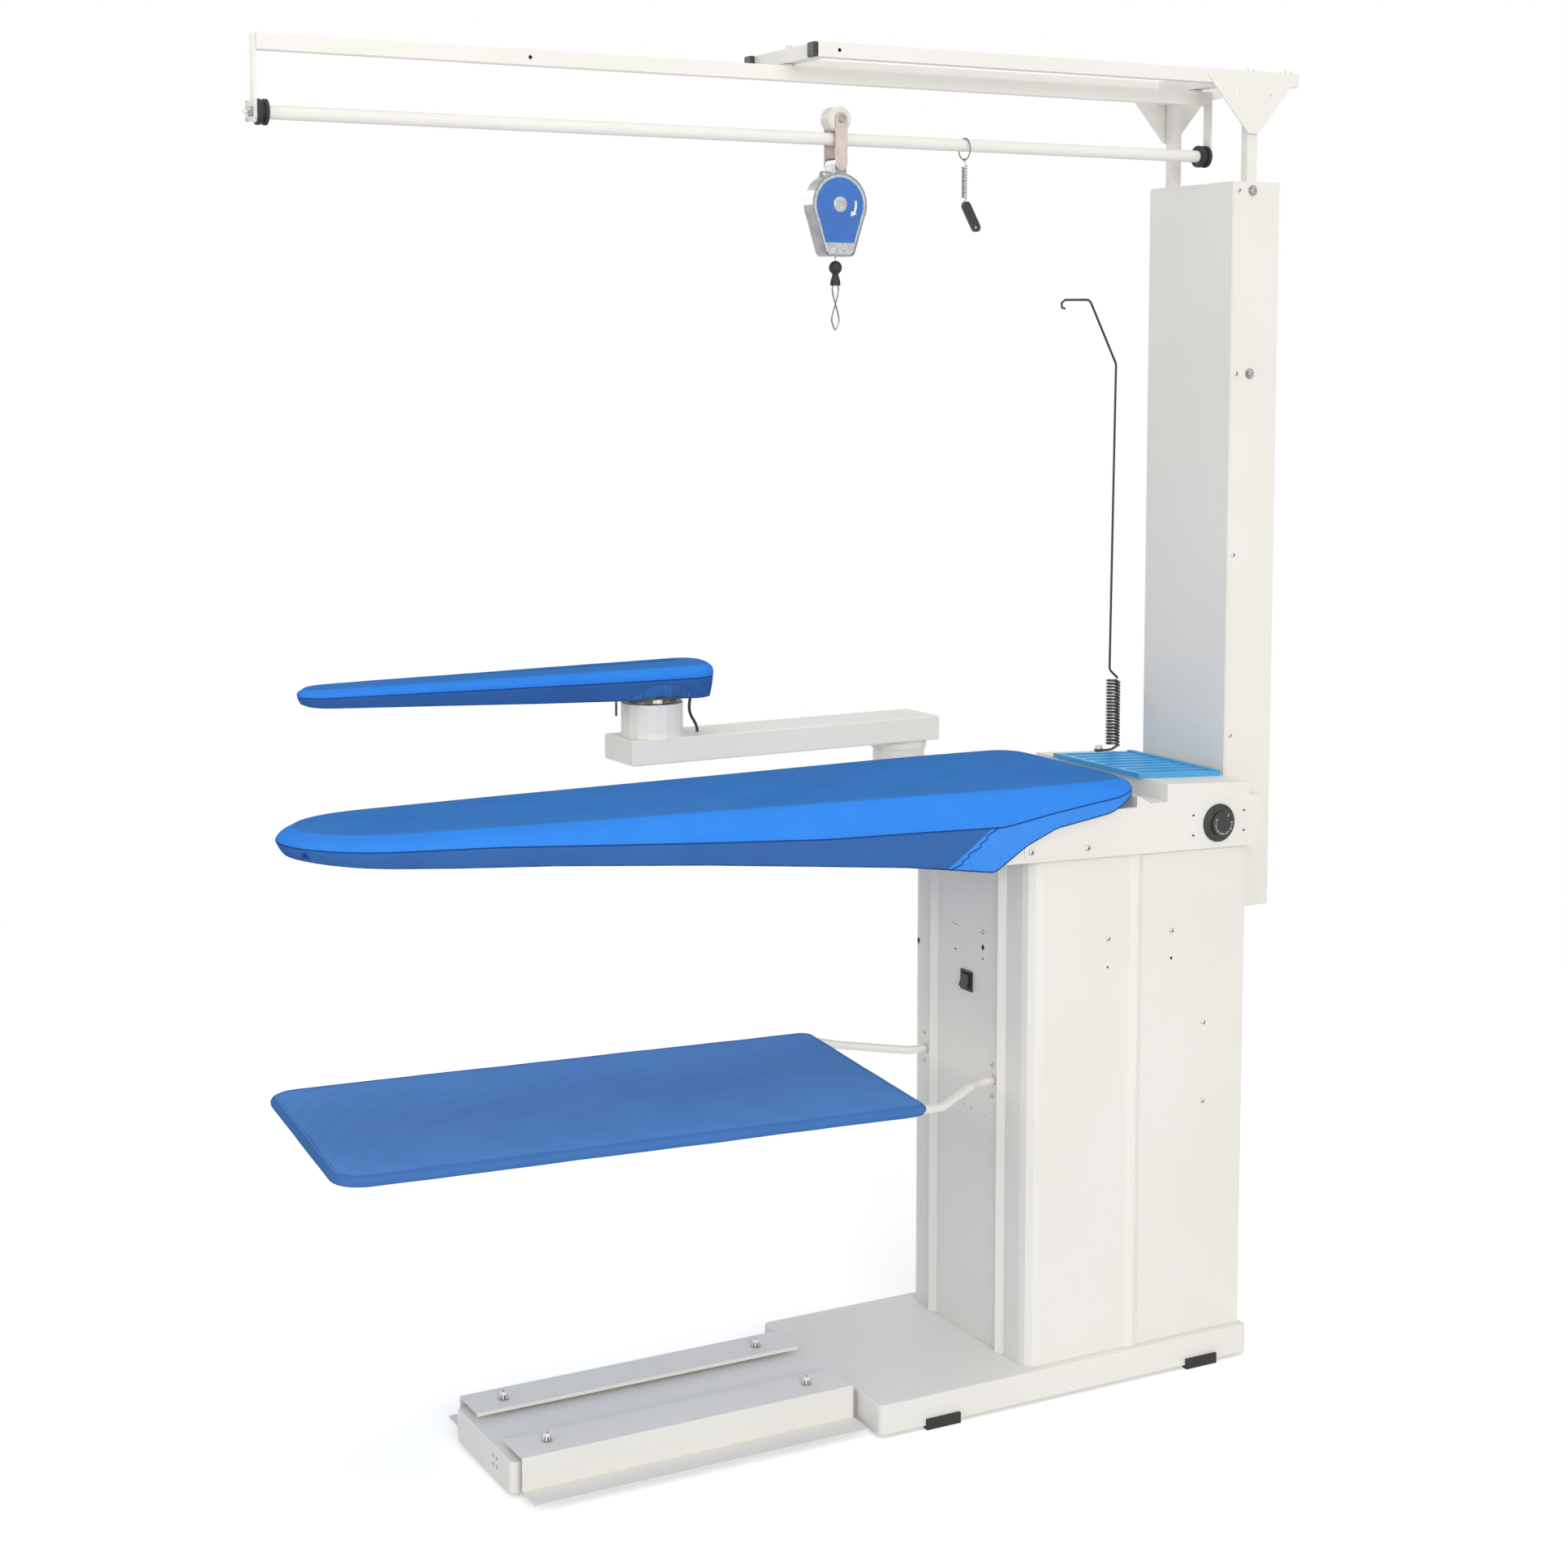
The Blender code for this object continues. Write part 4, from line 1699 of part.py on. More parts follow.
# Trolley and balancer
def build_trolley():
    axle = pivot("trolley_axis", (TROLLEY_X, 0, ROLLER_HEIGHT))
    strap_out = STRAP_GAP + STRAP_THICK
    head = BOLT_HEAD
    bolt = rods(
        "trolley_bolt", [((0, -strap_out - GAP - head / 2, 0), (0, strap_out + GAP + head / 2, 0))],
        TROLLEY_BOLT_RADIUS,
        bright_steel(), axle
    )
    heads = rods(
        "trolley_bolt_heads",
        [((0, -strap_out - GAP - head, 0), (0, -strap_out - GAP, 0)),
        ((0, strap_out + GAP, 0), (0, strap_out + GAP + head, 0))],
        hex_radius(BOLT_FLATS + SHEET), bright_steel(), axle, sides=HEX
    )
    weld(bolt, heads)
    half = ROLLER_LENGTH / 2
    bore = TROLLEY_BOLT_RADIUS + ROLLER_BORE_PLAY
    spin = pivot("roller_axis", (0, 0, 0), parent=axle)
    turned(
        "trolley_roller",
        [(bore, half), (ROLLER_RADIUS - ROLLER_EDGE, half), (ROLLER_RADIUS, half - ROLLER_EDGE),
         (ROLLER_RADIUS, -half + ROLLER_EDGE), (ROLLER_RADIUS - ROLLER_EDGE, -half), (bore, -half)],
        finish("nylon", (0.75, 0.74, 0.70), 0.5), spin, axis="Y", closed=True
    )
    hang = pivot("strap_axis", (0, 0, 0), parent=axle)
    outline = stadium(0, -RIVET_DROP, STRAP_WIDTH / 2)
    hole = circle((0, 0), bore + GAP)
    strap_metal = finish("strap_metal", (0.60, 0.55, 0.48), 0.4, 0.6)
    straps = slab("trolley_straps", [outline, hole], -strap_out, -STRAP_GAP, "Y", strap_metal, hang)
    weld(straps, slab("strap_far", [outline, hole], STRAP_GAP, strap_out, "Y", strap_metal, hang))
    inside = STRAP_GAP + STRAP_THICK / 2
    weld(straps, rods(
        "strap_rivet", [((0, -inside, -RIVET_DROP), (0, inside, -RIVET_DROP))], RIVET_RADIUS, bright_steel(),
        hang
    ))
    heads = [((0, side * inside, -RIVET_DROP),
        (0, side * (strap_out + RIVET_HEAD), -RIVET_DROP)) for side in (-1, 1)]
    weld(straps, rods("rivet_heads", heads, RIVET_RADIUS * 2, bright_steel(), hang))
    swing = pivot("balancer_axis", (0, 0, -RIVET_DROP), parent=hang)
    build_balancer(swing)


def case_outline(inset=0.0):
    """Drum-shaped case that narrows to its foot, in (x, z) from the rivet."""
    centre = (0, -DRUM_DROP)
    radius = CASE_RADIUS - inset
    foot = CASE_FOOT_HALF - inset
    foot_z = -DRUM_DROP - CASE_FOOT_DROP + inset
    edge = [(foot, foot_z + CASE_EDGE), (foot - CASE_EDGE, foot_z)]
    return arc(centre, radius, -28, 208, 18) + [(-x, z) for x, z in edge] + [(x, z) for x,
        z in reversed(edge)]


def build_balancer(swing):
    half = CASE_HALF_DEPTH
    case = slab("balancer_case", [case_outline()], -half, half, "Y",
        finish("cast_silver", (0.62, 0.63, 0.64), 0.35, 0.8), swing)
    shell(case, [(0, -1, 0)], thickness=SHEET, bend=0)
    foot_z = -DRUM_DROP - CASE_FOOT_DROP
    drill(case, "cable_hole", [((0, 0, foot_z - OVERRUN), (0, 0, foot_z + SHEET + OVERRUN))],
        CABLE_HOLE_RADIUS, swing, SMALL_SIDES)
    ears = slab(
        "case_ears",
        [rounded_rectangle((-CASE_EAR_HALF, -DRUM_DROP + CASE_RADIUS / 2),
        (CASE_EAR_HALF, -DRUM_DROP + CASE_EAR_RISE), CASE_EDGE, 2)],
        half - SHEET, half, "Y", galvanised(), swing
    )
    weld(case, ears)
    lug = slab(
        "case_lug", [stadium(0, -DRUM_DROP + CASE_RADIUS - SHEET, LUG_HALF), circle((0, 0),
        RIVET_RADIUS + GAP * 2)],
        -STRAP_GAP + GAP, STRAP_GAP - GAP, "Y", galvanised(), swing
    )
    keep_lug_above = box(
        "lug_trim", (-LUG_HALF * 2, -STRAP_GAP * 2, -DRUM_DROP - CASE_RADIUS),
        (LUG_HALF * 2, STRAP_GAP * 2, -DRUM_DROP + CASE_RADIUS - SHEET / 2), galvanised(), swing
    )
    cut(lug, as_cutter(keep_lug_above))
    weld(case, lug)
    holes = [
        ((side * CASE_EAR_HOLES, half - SHEET - OVERRUN, -DRUM_DROP + CASE_EAR_RISE - CASE_EDGE * 0.9),
         (side * CASE_EAR_HOLES, half + OVERRUN, -DRUM_DROP + CASE_EAR_RISE - CASE_EDGE * 0.9))
        for side in (-1, 1)
    ]
    drill(case, "ear_holes", holes, CASE_EAR_HOLE_RADIUS, swing)
    cover = slab("balancer_cover", [case_outline(CASE_RIM)], -half, -half + CASE_COVER, "Y",
                 finish("label_blue", (0.03, 0.16, 0.50), 0.4), swing)
    axle = rods(
        "cover_axle", [((0, -half + CASE_COVER / 2, -DRUM_DROP), (0, half - SHEET - GAP, -DRUM_DROP))],
        CASE_AXLE_RADIUS,
        galvanised(), swing
    )
    weld(cover, axle)
    boss = slab(
        "cover_boss", [circle((0, -DRUM_DROP), CASE_RADIUS / 4, ROUND_SIDES)], -half - CASE_COVER / 3,
        -half + CASE_COVER / 2,
        "Y", galvanised(), swing
    )
    weld(cover, boss)
    drum_axis = pivot("drum_axis", (0, 0, -DRUM_DROP), parent=swing)
    depth = SPRING_DRUM_DEPTH / 2
    turned(
        "balancer_drum", ring_profile(CASE_AXLE_RADIUS + GAP, SPRING_DRUM_RADIUS, -depth, depth),
        galvanised(), drum_axis,
        axis="Y", closed=True
    )
    build_hook(swing)


def build_hook(swing):
    lift = pivot("hook_axis", (0, 0, -BALL_DROP), parent=swing)
    top = BALL_DROP - DRUM_DROP - SPRING_DRUM_RADIUS - GAP
    rods("balancer_cable", [((0, 0, BALL_RADIUS + GAP), (0, 0, top))], CABLE_RADIUS, galvanised(), lift,
        sides=SCREW_SIDES)
    profile = arc((0, 0), BALL_RADIUS, 90, -60, 8)
    profile += [
        (BALL_NECK_RADIUS, -DOME_TOP_DROP + BALL_NECK_RADIUS / 4),
        (DOME_RADIUS * 0.75, -DOME_TOP_DROP - BALL_NECK_RADIUS / 2),
        (DOME_RADIUS, -DOME_BOTTOM_DROP + BALL_NECK_RADIUS), (DOME_RADIUS, -DOME_BOTTOM_DROP),
        (0, -DOME_BOTTOM_DROP)
    ]
    profile[0] = (0, BALL_RADIUS)
    turned("balancer_ball", profile, black_rubber(), lift, steps=SMALL_SIDES)
    seat = -DOME_BOTTOM_DROP - GAP
    eye, loop = HOOK_EYE_HALF, HOOK_LOOP_HALF
    twist = seat - HOOK_TWIST_DROP
    end = seat - HOOK_DROP + HOOK_WIRE
    middle = (twist + end) / 2
    route = [
        (-eye * 0.8, 0, seat), (-eye, 0, seat - eye), (-eye * 0.7, 0, (seat + twist) / 2),
        (0, -HOOK_CROSSING, twist),
        (loop, 0, middle), (loop * 0.75, 0, (middle + end) / 2), (0, 0, end),
        (-loop * 0.75, 0, (middle + end) / 2),
        (-loop, 0, middle), (0, HOOK_CROSSING, twist), (eye * 0.7, 0, (seat + twist) / 2),
        (eye, 0, seat - eye),
        (eye * 0.8, 0, seat)
    ]
    tube("balancer_hook", smooth_path(route, 2), HOOK_WIRE, bright_steel(), lift, resolution=COIL_RESOLUTION)


# Cord hanger on the rail
def coil_path(radius, bottom, top, curls, start_angle=0.0):
    steps = curls * CURL_POINTS
    return [
        Vector((
            radius * math.cos(start_angle + math.tau * step / CURL_POINTS),
            radius * math.sin(start_angle + math.tau * step / CURL_POINTS),
            bottom + (top - bottom) * step / steps
        ))
        for step in range(steps + 1)
    ]


def build_hanger():
    ring_hub = pivot("ring_axis", (RING_X, 0, RING_HEIGHT))
    points = [(0, *point) for point in circle((0, 0), RING_RADIUS, ROUND_SIDES)]
    tube("key_ring", points, RING_WIRE, bright_steel(), ring_hub, resolution=COIL_RESOLUTION, closed=True)
    swing = pivot("hanger_axis", (0, 0, -RING_RADIUS), parent=ring_hub)
    coil_top = -HANGER_COIL_TOP_DROP
    coil_bottom = coil_top - HANGER_COIL_LENGTH
    eye_middle = -(HANGER_EYE_RADIUS - HANGER_WIRE - RING_WIRE - GAP)
    eye = [(x, 0, z) for x, z in arc((0, eye_middle), HANGER_EYE_RADIUS, -60, 250, 10)]
    radius = HANGER_COIL_RADIUS
    coil = coil_path(radius, coil_bottom, coil_top, HANGER_CURLS)
    lead = [(radius * 0.9, 0, coil_top + HANGER_WIRE * 2), (radius * 0.45, 0, coil_top + HANGER_WIRE * 4)]
    tail = [(0, 0, coil_bottom - HANGER_WIRE * 8), (radius * 0.6, 0, coil_bottom - HANGER_WIRE * 4)]
    path = [Vector(point) for point in tail] + coil + [Vector(point) for point in lead + eye]
    report_clearance("hanger_spring", coil, HANGER_WIRE)
    tube("hanger_spring", path, HANGER_WIRE, bright_steel(), swing, resolution=COIL_RESOLUTION)
    build_clip(swing, coil_bottom - HANGER_WIRE * 9 - GAP)


def build_clip(swing, top):
    """A cord clip: a long eye of black plastic that leans under the spring, with one screw."""
    draw = pivot("clip_axis", (0, 0, top), (0, CLIP_LEAN, 0), parent=swing)
    half = CLIP_HALF_WIDTH
    end = -CLIP_LENGTH + half
    screw_z = end * CLIP_SCREW_SHARE
    holes = [circle((0, end), CLIP_HOLE_RADIUS)]
    thick = CLIP_THICK / 2
    clip = slab("cord_clip", [stadium(-half, end, half), *holes], -thick, thick, "Y", black_plastic(), draw)
    soften(clip, CLIP_SCREW_HEAD)
    head = [((0, -thick - CLIP_SCREW_HEAD, screw_z), (0, 0, screw_z))]
    weld(clip, rods("clip_screw", head, CLIP_SCREW_RADIUS, bright_steel(), draw))


# Standing cord wire
def wire_eye_height():
    return head_top(WIRE_BOLT_X) + WIRE_WASHER_HEIGHT + GAP + WIRE_RADIUS


def wire_bolt():
    """The bolt on the head that the wire's eye turns on, with a thick washer below the eye."""
    bm = bmesh.new()
    eye = wire_eye_height()
    washer_top = eye - WIRE_RADIUS - GAP
    head_low = eye + WIRE_RADIUS + GAP
    corner = hex_radius(BOLT_FLATS + SHEET)
    sunk = head_top(WIRE_BOLT_X) - SHEET / 2
    rings = [
        (0, 0), (WASHER_RADIUS, 0), (WASHER_RADIUS, washer_top - sunk), (BOLT_RADIUS, washer_top - sunk),
        (BOLT_RADIUS, head_low - sunk), (corner, head_low - sunk), (corner, head_low - sunk + BOLT_HEAD),
        (0, head_low - sunk + BOLT_HEAD)
    ]
    add_lathe(bm, (WIRE_BOLT_X, WIRE_Y, sunk), (0, 0, 1), rings, 2 * HEX, hexes=(5, 6))
    return from_bmesh("wire_bolt", bm, bright_steel())


def build_cord_wire():
    eye_height = wire_eye_height()
    swivel = pivot("wire_swivel_axis", (WIRE_BOLT_X, WIRE_Y, eye_height))
    reach = WIRE_COIL_X - WIRE_BOLT_X
    rise = WIRE_COIL_BOTTOM - eye_height
    eye = [(x, y, 0) for x, y in arc((0, 0), WIRE_EYE_RADIUS, 40, 310, 9)]
    lead = [(reach * 0.5, -WIRE_EYE_RADIUS, 0),
        (reach - WIRE_COIL_RADIUS * 0.7, -WIRE_COIL_RADIUS * 0.95, rise * 0.3)]
    start = -math.pi / 2
    coil = []
    for point in coil_path(WIRE_COIL_RADIUS, rise, rise + WIRE_CURLS * WIRE_PITCH, WIRE_CURLS, start):
        coil.append(point + Vector((reach, 0, 0)))
    path = [Vector(point) for point in eye + lead] + coil
    report_clearance("wire_coil", coil, WIRE_RADIUS)
    tube("wire_coil", path, WIRE_RADIUS, black_plastic(), swivel, resolution=COIL_RESOLUTION)
    build_upright(swivel, reach, coil[-1])


def build_upright(swivel, reach, coil_end):
    """The long wire above the coil, which bends over and ends in a small hook."""
    bend = pivot("wire_bend_axis", (reach, 0, coil_end.z), parent=swivel)
    start = coil_end - Vector((reach, 0, coil_end.z))
    lift = bend.location.z + swivel.location.z
    knee, shoulder, tip = (
        Vector((x, 0, height - lift)) for x, height in (WIRE_KNEE, WIRE_SHOULDER, WIRE_TIP)
    )
    first = start + Vector((0, 0, WIRE_RADIUS + WIRE_END_GAP))
    rise = Vector((-WIRE_COIL_RADIUS * 0.75, 0, WIRE_COIL_RADIUS * 1.3))
    corner = [first, first + Vector((0, 0, WIRE_RADIUS)), Vector((0, 0, first.z)) + rise, knee, shoulder, tip]
    path = fillet_path(corner, WIRE_COIL_RADIUS, 3)
    hook = [tip + Vector((-WIRE_HOOK * 0.9, 0, -WIRE_HOOK * 0.7)),
        tip + Vector((-WIRE_HOOK * 0.8, 0, -WIRE_HOOK * 1.7)),
            tip + Vector((0, 0, -WIRE_HOOK * 1.9))]
    tube("wire_upright", path + hook, WIRE_RADIUS, black_plastic(), bend, resolution=COIL_RESOLUTION)


# Sleeve board on its swing arm
def build_sleeve_post():
    neck = [
        (POST_BORE, ARM_BOTTOM - GAP), (COLLAR_RADIUS - SHEET, ARM_BOTTOM - GAP),
        (COLLAR_RADIUS - SHEET, COLLAR_TOP),
        (COLLAR_RADIUS, COLLAR_TOP), (COLLAR_RADIUS, COLLAR_TOP - COLLAR_HEIGHT),
        (NECK_RADIUS, COLLAR_TOP - COLLAR_HEIGHT), (NECK_RADIUS, NECK_BOTTOM), (POST_BORE, NECK_BOTTOM)
    ]
    post = turned("sleeve_post", neck, powder_coat(), at=(POST_X, POST_Y, 0), closed=True)
    wall = CABINET_HALF_WIDTH + GAP
    half = BRACKET_HALF_WIDTH
    plate_low = (PATTERN_X[0] - BRACKET_PLATE_MARGIN, wall, BRACKET_PLATE_BOTTOM)
    plate_high = (PATTERN_X[1] + BRACKET_PLATE_MARGIN, wall + BRACKET_PLATE, BRACKET_PLATE_TOP)
    weld(post, box("bracket_plate", plate_low, plate_high, powder_coat()))
    weld(post, box(
        "bracket_beam", (POST_X - half, wall + BRACKET_PLATE / 2, BRACKET_BOTTOM),
        (POST_X + half, POST_Y - POST_BORE - BRACKET_WALL / 2, BRACKET_TOP), powder_coat()
    ))
    mill(
        post, "bracket_hollow", (POST_X - half + BRACKET_WALL, wall + BRACKET_PLATE + OVERRUN,
        BRACKET_BOTTOM - OVERRUN),
        (POST_X + half - BRACKET_WALL, POST_Y - NECK_RADIUS - OVERRUN, BRACKET_TOP - BRACKET_WALL)
    )
    rib_left, rib_right = SIDE_RIB_X - SIDE_RIB_HALF - GAP, SIDE_RIB_X + SIDE_RIB_HALF + GAP
    mill(
        post, "rib_slot", (rib_left, wall - OVERRUN, BRACKET_PLATE_BOTTOM - OVERRUN),
        (rib_right, wall + SIDE_RIB_PROUD + GAP, BRACKET_PLATE_TOP + OVERRUN)
    )
    face = wall + BRACKET_PLATE
    places = [(x, face, z) for x in PATTERN_X for z in (PATTERN_HOLE_HEIGHT, PATTERN_SCREW_HEIGHT)]
    weld(post, screw_heads("bracket_bolts", places, (0, 1, 0), radius=PLATE_SCREW_RADIUS))


def build_sleeve_arm():
    arm_axis = pivot("arm_axis", (POST_X, POST_Y, 0), (0, 0, ARM_TURN))
    wide = ARM_HALF_WIDTH
    arm = box("sleeve_arm", (ARM_LEFT, -wide, ARM_BOTTOM), (ARM_RIGHT, wide, ARM_TOP), powder_coat(),
        arm_axis)
    soften(arm, ARM_WALL)
    wall = ARM_WALL
    mill(arm, "arm_bore", (ARM_LEFT + wall, -wide + wall, ARM_BOTTOM + wall),
        (ARM_RIGHT - wall, wide - wall, ARM_TOP - wall), arm_axis)
    spigot_out = POST_BORE - SPIGOT_PLAY
    spigot_in = spigot_out - SPIGOT_WALL
    spigot = turned(
        "arm_spigot", ring_profile(spigot_in, spigot_out, ARM_BOTTOM - SPIGOT_LENGTH, ARM_BOTTOM + wall / 2),
        powder_coat(), arm_axis, closed=True
    )
    weld(arm, spigot)
    drill(arm, "arm_post_hole", [((0, 0, ARM_BOTTOM - OVERRUN), (0, 0, ARM_BOTTOM + wall + OVERRUN))],
        spigot_in - GAP, arm_axis, ROUND_SIDES)
    cup_bore = CUP_RADIUS - CUP_WALL
    drill(arm, "arm_cup_hole", [((CUP_X, 0, ARM_TOP - wall - OVERRUN), (CUP_X, 0, ARM_TOP + OVERRUN))],
        cup_bore - CUP_WALL, arm_axis, ROUND_SIDES)
    entry = cable_places()[-1]
    drill(
        arm, "arm_cable_hole", [((entry[0], entry[1], ARM_TOP - wall - OVERRUN), (entry[0], entry[1],
        ARM_TOP + OVERRUN))],
        SLEEVE_CABLE_RADIUS + GAP, arm_axis, SMALL_SIDES
    )
    cup = turned(
        "sleeve_cup",
        [(cup_bore, CUP_TOP), (CUP_RADIUS, CUP_TOP), (CUP_RADIUS, ARM_TOP + CUP_SKIRT_HEIGHT),
         (CUP_SKIRT_RADIUS - SHEET, ARM_TOP - wall / 2), (cup_bore, ARM_TOP - wall / 2)],
        powder_coat(), arm_axis, at=(CUP_X, 0, 0), closed=True, steps=FINE_SIDES
    )
    weld(arm, cup)
    screw_x = CUP_X + CUP_RADIUS
    head = [((screw_x - CUP_WALL / 2, 0, CUP_SCREW_HEIGHT),
        (screw_x + SCREW_HEAD_HEIGHT, 0, CUP_SCREW_HEIGHT))]
    weld(arm, rods("cup_screw", head, SCREW_HEAD_RADIUS, bright_steel(), arm_axis))
    tube("sleeve_cable", smooth_path(cable_places(), 2), SLEEVE_CABLE_RADIUS, black_rubber(), arm_axis,
        COIL_RESOLUTION)
    build_sleeve_board(arm_axis)


def cable_places():
    """The heater lead's route from under the sleeve board into the arm, in the arm's frame."""
    route = [(CUP_X + x, y, z) for x, y, z in SLEEVE_CABLE_POINTS]
    last = route[-1]
    return route + [(last[0], last[1], last[2] - CABLE_ENTRY_DEPTH)]


def build_sleeve_board(arm_axis):
    hub = pivot("sleeve_board_axis", (CUP_X, 0, 0), (0, 0, SLEEVE_TURN), arm_axis)
    bore = CUP_RADIUS - CUP_WALL - SPIGOT_PLAY
    inner = bore - CUP_WALL
    flange_bottom = CUP_TOP + GAP
    turned(
        "sleeve_spigot",
        [(inner, RING_FLANGE_TOP), (RING_FLANGE_RADIUS, RING_FLANGE_TOP),
        (RING_FLANGE_RADIUS + SHEET / 2, flange_bottom + SHEET),
         (RING_FLANGE_RADIUS + SHEET / 2, flange_bottom), (bore, flange_bottom),
         (bore, CUP_TOP - RING_SPIGOT_LENGTH),
         (inner, CUP_TOP - RING_SPIGOT_LENGTH)],
        finish("chrome", (0.85, 0.85, 0.86), 0.08, 1.0), hub, closed=True, steps=FINE_SIDES
    )
    plan = board_plan(
        SLEEVE_RIGHT, SLEEVE_NOSE, SLEEVE_HALF_WIDTH, SLEEVE_CORNER, SLEEVE_HALF_SHARES,
        SLEEVE_STATION_SHARES,
        SLEEVE_NOSE_POINTS
    )
    padded_cover("sleeve_cover", plan, {
        "right": SLEEVE_RIGHT, "nose": SLEEVE_NOSE, "top": SLEEVE_TOP, "rise": SLEEVE_NOSE_RISE,
        "depth": SLEEVE_DEPTH,
        "seam": SLEEVE_SEAM_SHARES, "hem": SLEEVE_HEM_SHARES, "draw": SLEEVE_DRAW_SHARES,
        "draw_in": SLEEVE_HEM_DRAW,
        "seam_outset": SLEEVE_SEAM_OUTSET, "crown": SLEEVE_CROWN, "crown_inset": SLEEVE_CROWN_INSET,
        "edge": SLEEVE_EDGE, "pad": SLEEVE_PAD, "cloth": SLEEVE_SKIRT
    }, hub)
    tub = sleeve_tub(plan, hub)
    drill(tub, "tub_port", [((0, 0, SLEEVE_TUB_BOTTOM - OVERRUN), (0, 0,
        SLEEVE_TUB_BOTTOM + SPIGOT_WALL * 2))], SLEEVE_PORT_RADIUS, hub, ROUND_SIDES)
    px, py = SLEEVE_PIN_PLACE
    pin_top = SLEEVE_TUB_BOTTOM + (-RING_FLANGE_RADIUS - SHEET - px) * SLEEVE_TUB_SLOPE + TUB_WALL / 2
    pin = [((px, py, pin_top - SLEEVE_PIN_LENGTH), (px, py, pin_top))]
    weld(tub, rods("sleeve_pin", pin, SLEEVE_PIN_RADIUS, galvanised(), hub))


def sleeve_tub(plan, hub):
    """The sleeve board's open sheet tub: flat over the cup and rising towards the nose."""
    length = SLEEVE_RIGHT - SLEEVE_NOSE
    rim = SLEEVE_TOP - SLEEVE_PAD - GAP
    bend_x = -RING_FLANGE_RADIUS - SHEET
    past = SLEEVE_EDGE
    nose_bottom = SLEEVE_TUB_BOTTOM + (bend_x - SLEEVE_NOSE) * SLEEVE_TUB_SLOPE
    profile = [
        (SLEEVE_RIGHT + past, SLEEVE_TUB_BOTTOM), (SLEEVE_RIGHT + past, rim),
        (SLEEVE_NOSE - past, rim + SLEEVE_NOSE_RISE * (1 + past / length)), (SLEEVE_NOSE - past, nose_bottom),
        (bend_x, SLEEVE_TUB_BOTTOM)
    ]
    outline = [tuple(point) for point in outset(plan, [-SLEEVE_EDGE] * len(plan))]
    block = slab("tub_block", [outline], SLEEVE_TUB_BOTTOM - OVERRUN, SLEEVE_TOP, "Z", galvanised())
    side = slab("tub_side", [profile], -SLEEVE_HALF_WIDTH - OVERRUN, SLEEVE_HALF_WIDTH + OVERRUN, "Y",
        galvanised())
    cut(block, side, "INTERSECT")
    mesh = welded_mesh("sleeve_tub", block)
    for guide in (block, side):
        bpy.data.objects.remove(guide)
    return shell(adopt("sleeve_tub", mesh, galvanised(), hub), [(0, 0, 1)], thickness=TUB_WALL, bend=0)


# Cloth tray
def tray_sockets():
    """Blocks welded behind the cabinet's front that hold the tube's ends."""
    bm = bmesh.new()
    inside = CABINET_LEFT + SHEET / 2
    for y, z in (TRAY_FAR_END, TRAY_NEAR_END):
        low = (inside, y - SOCKET[1] / 2, z - SOCKET[2] / 2)
        add_box(bm, low, Vector(low) + Vector(SOCKET))
    return from_bmesh("tray_sockets", bm, galvanised())


def tray_matrix():
    turn = Matrix.Rotation(TRAY_TURN, 4, "Z") @ Matrix.Rotation(TRAY_TILT_Y, 4,
        "Y") @ Matrix.Rotation(TRAY_TILT_X, 4, "X")
    return Matrix.Translation((TRAY_X, TRAY_Y, TRAY_HEIGHT)) @ turn


def tray_route():
    """The bent tube, from the cabinet's far socket round the tray to the near socket."""
    edge = TRAY_TUBE_RADIUS + TRAY_CLOTH + TRAY_CLOTH_PLAY
    length, width = TRAY_HALF_LENGTH - edge, TRAY_HALF_WIDTH - edge
    to_machine = tray_matrix()
    corners = [(length - TRAY_EXIT_INSET, width, 0), (-length, width, 0), (-length, -width, 0),
        (length - TRAY_EXIT_INSET, -width, 0)]
    far_exit, far_left, near_left, near_exit = (to_machine @ Vector(corner) for corner in corners)
    socket_x = CABINET_LEFT + SHEET + SOCKET_DEPTH
    far_end = Vector((socket_x, *TRAY_FAR_END))
    near_end = Vector((socket_x, *TRAY_NEAR_END))
    far_straight = Vector((CABINET_LEFT - TRAY_STRAIGHT, *TRAY_FAR_END))
    near_straight = Vector((CABINET_LEFT - TRAY_STRAIGHT, *TRAY_NEAR_END))
    return [
        far_end, far_straight, Vector(TRAY_FAR_BEND), far_exit, far_left, near_left, near_exit,
        Vector(TRAY_NEAR_BEND),
        Vector(TRAY_NEAR_RISE), near_straight, near_end
    ]


def build_tray():
    route = fillet_path(tray_route(), TRAY_BEND)
    tube("tray_frame", route, TRAY_TUBE_RADIUS, powder_coat())
    cutter_curve = tube("tray_tunnel", route, TRAY_TUBE_RADIUS + TRAY_CLOTH_PLAY, galvanised())
    tunnel = as_cutter(as_mesh(cutter_curve))
    middle, lean = (TRAY_X, TRAY_Y, TRAY_HEIGHT), tray_matrix().to_euler()
    thick = TRAY_TUBE_RADIUS + TRAY_CLOTH + TRAY_CLOTH_PLAY
    outline = rounded_rectangle((-TRAY_HALF_LENGTH, -TRAY_HALF_WIDTH), (TRAY_HALF_LENGTH, TRAY_HALF_WIDTH),
        TRAY_BEND)
    cloth = slab("tray_cloth", [outline], -thick, thick, "Z", blue_cloth(), at=middle, turn=lean)
    soften(cloth, thick * 0.6, 2)
    cut(cloth, tunnel)


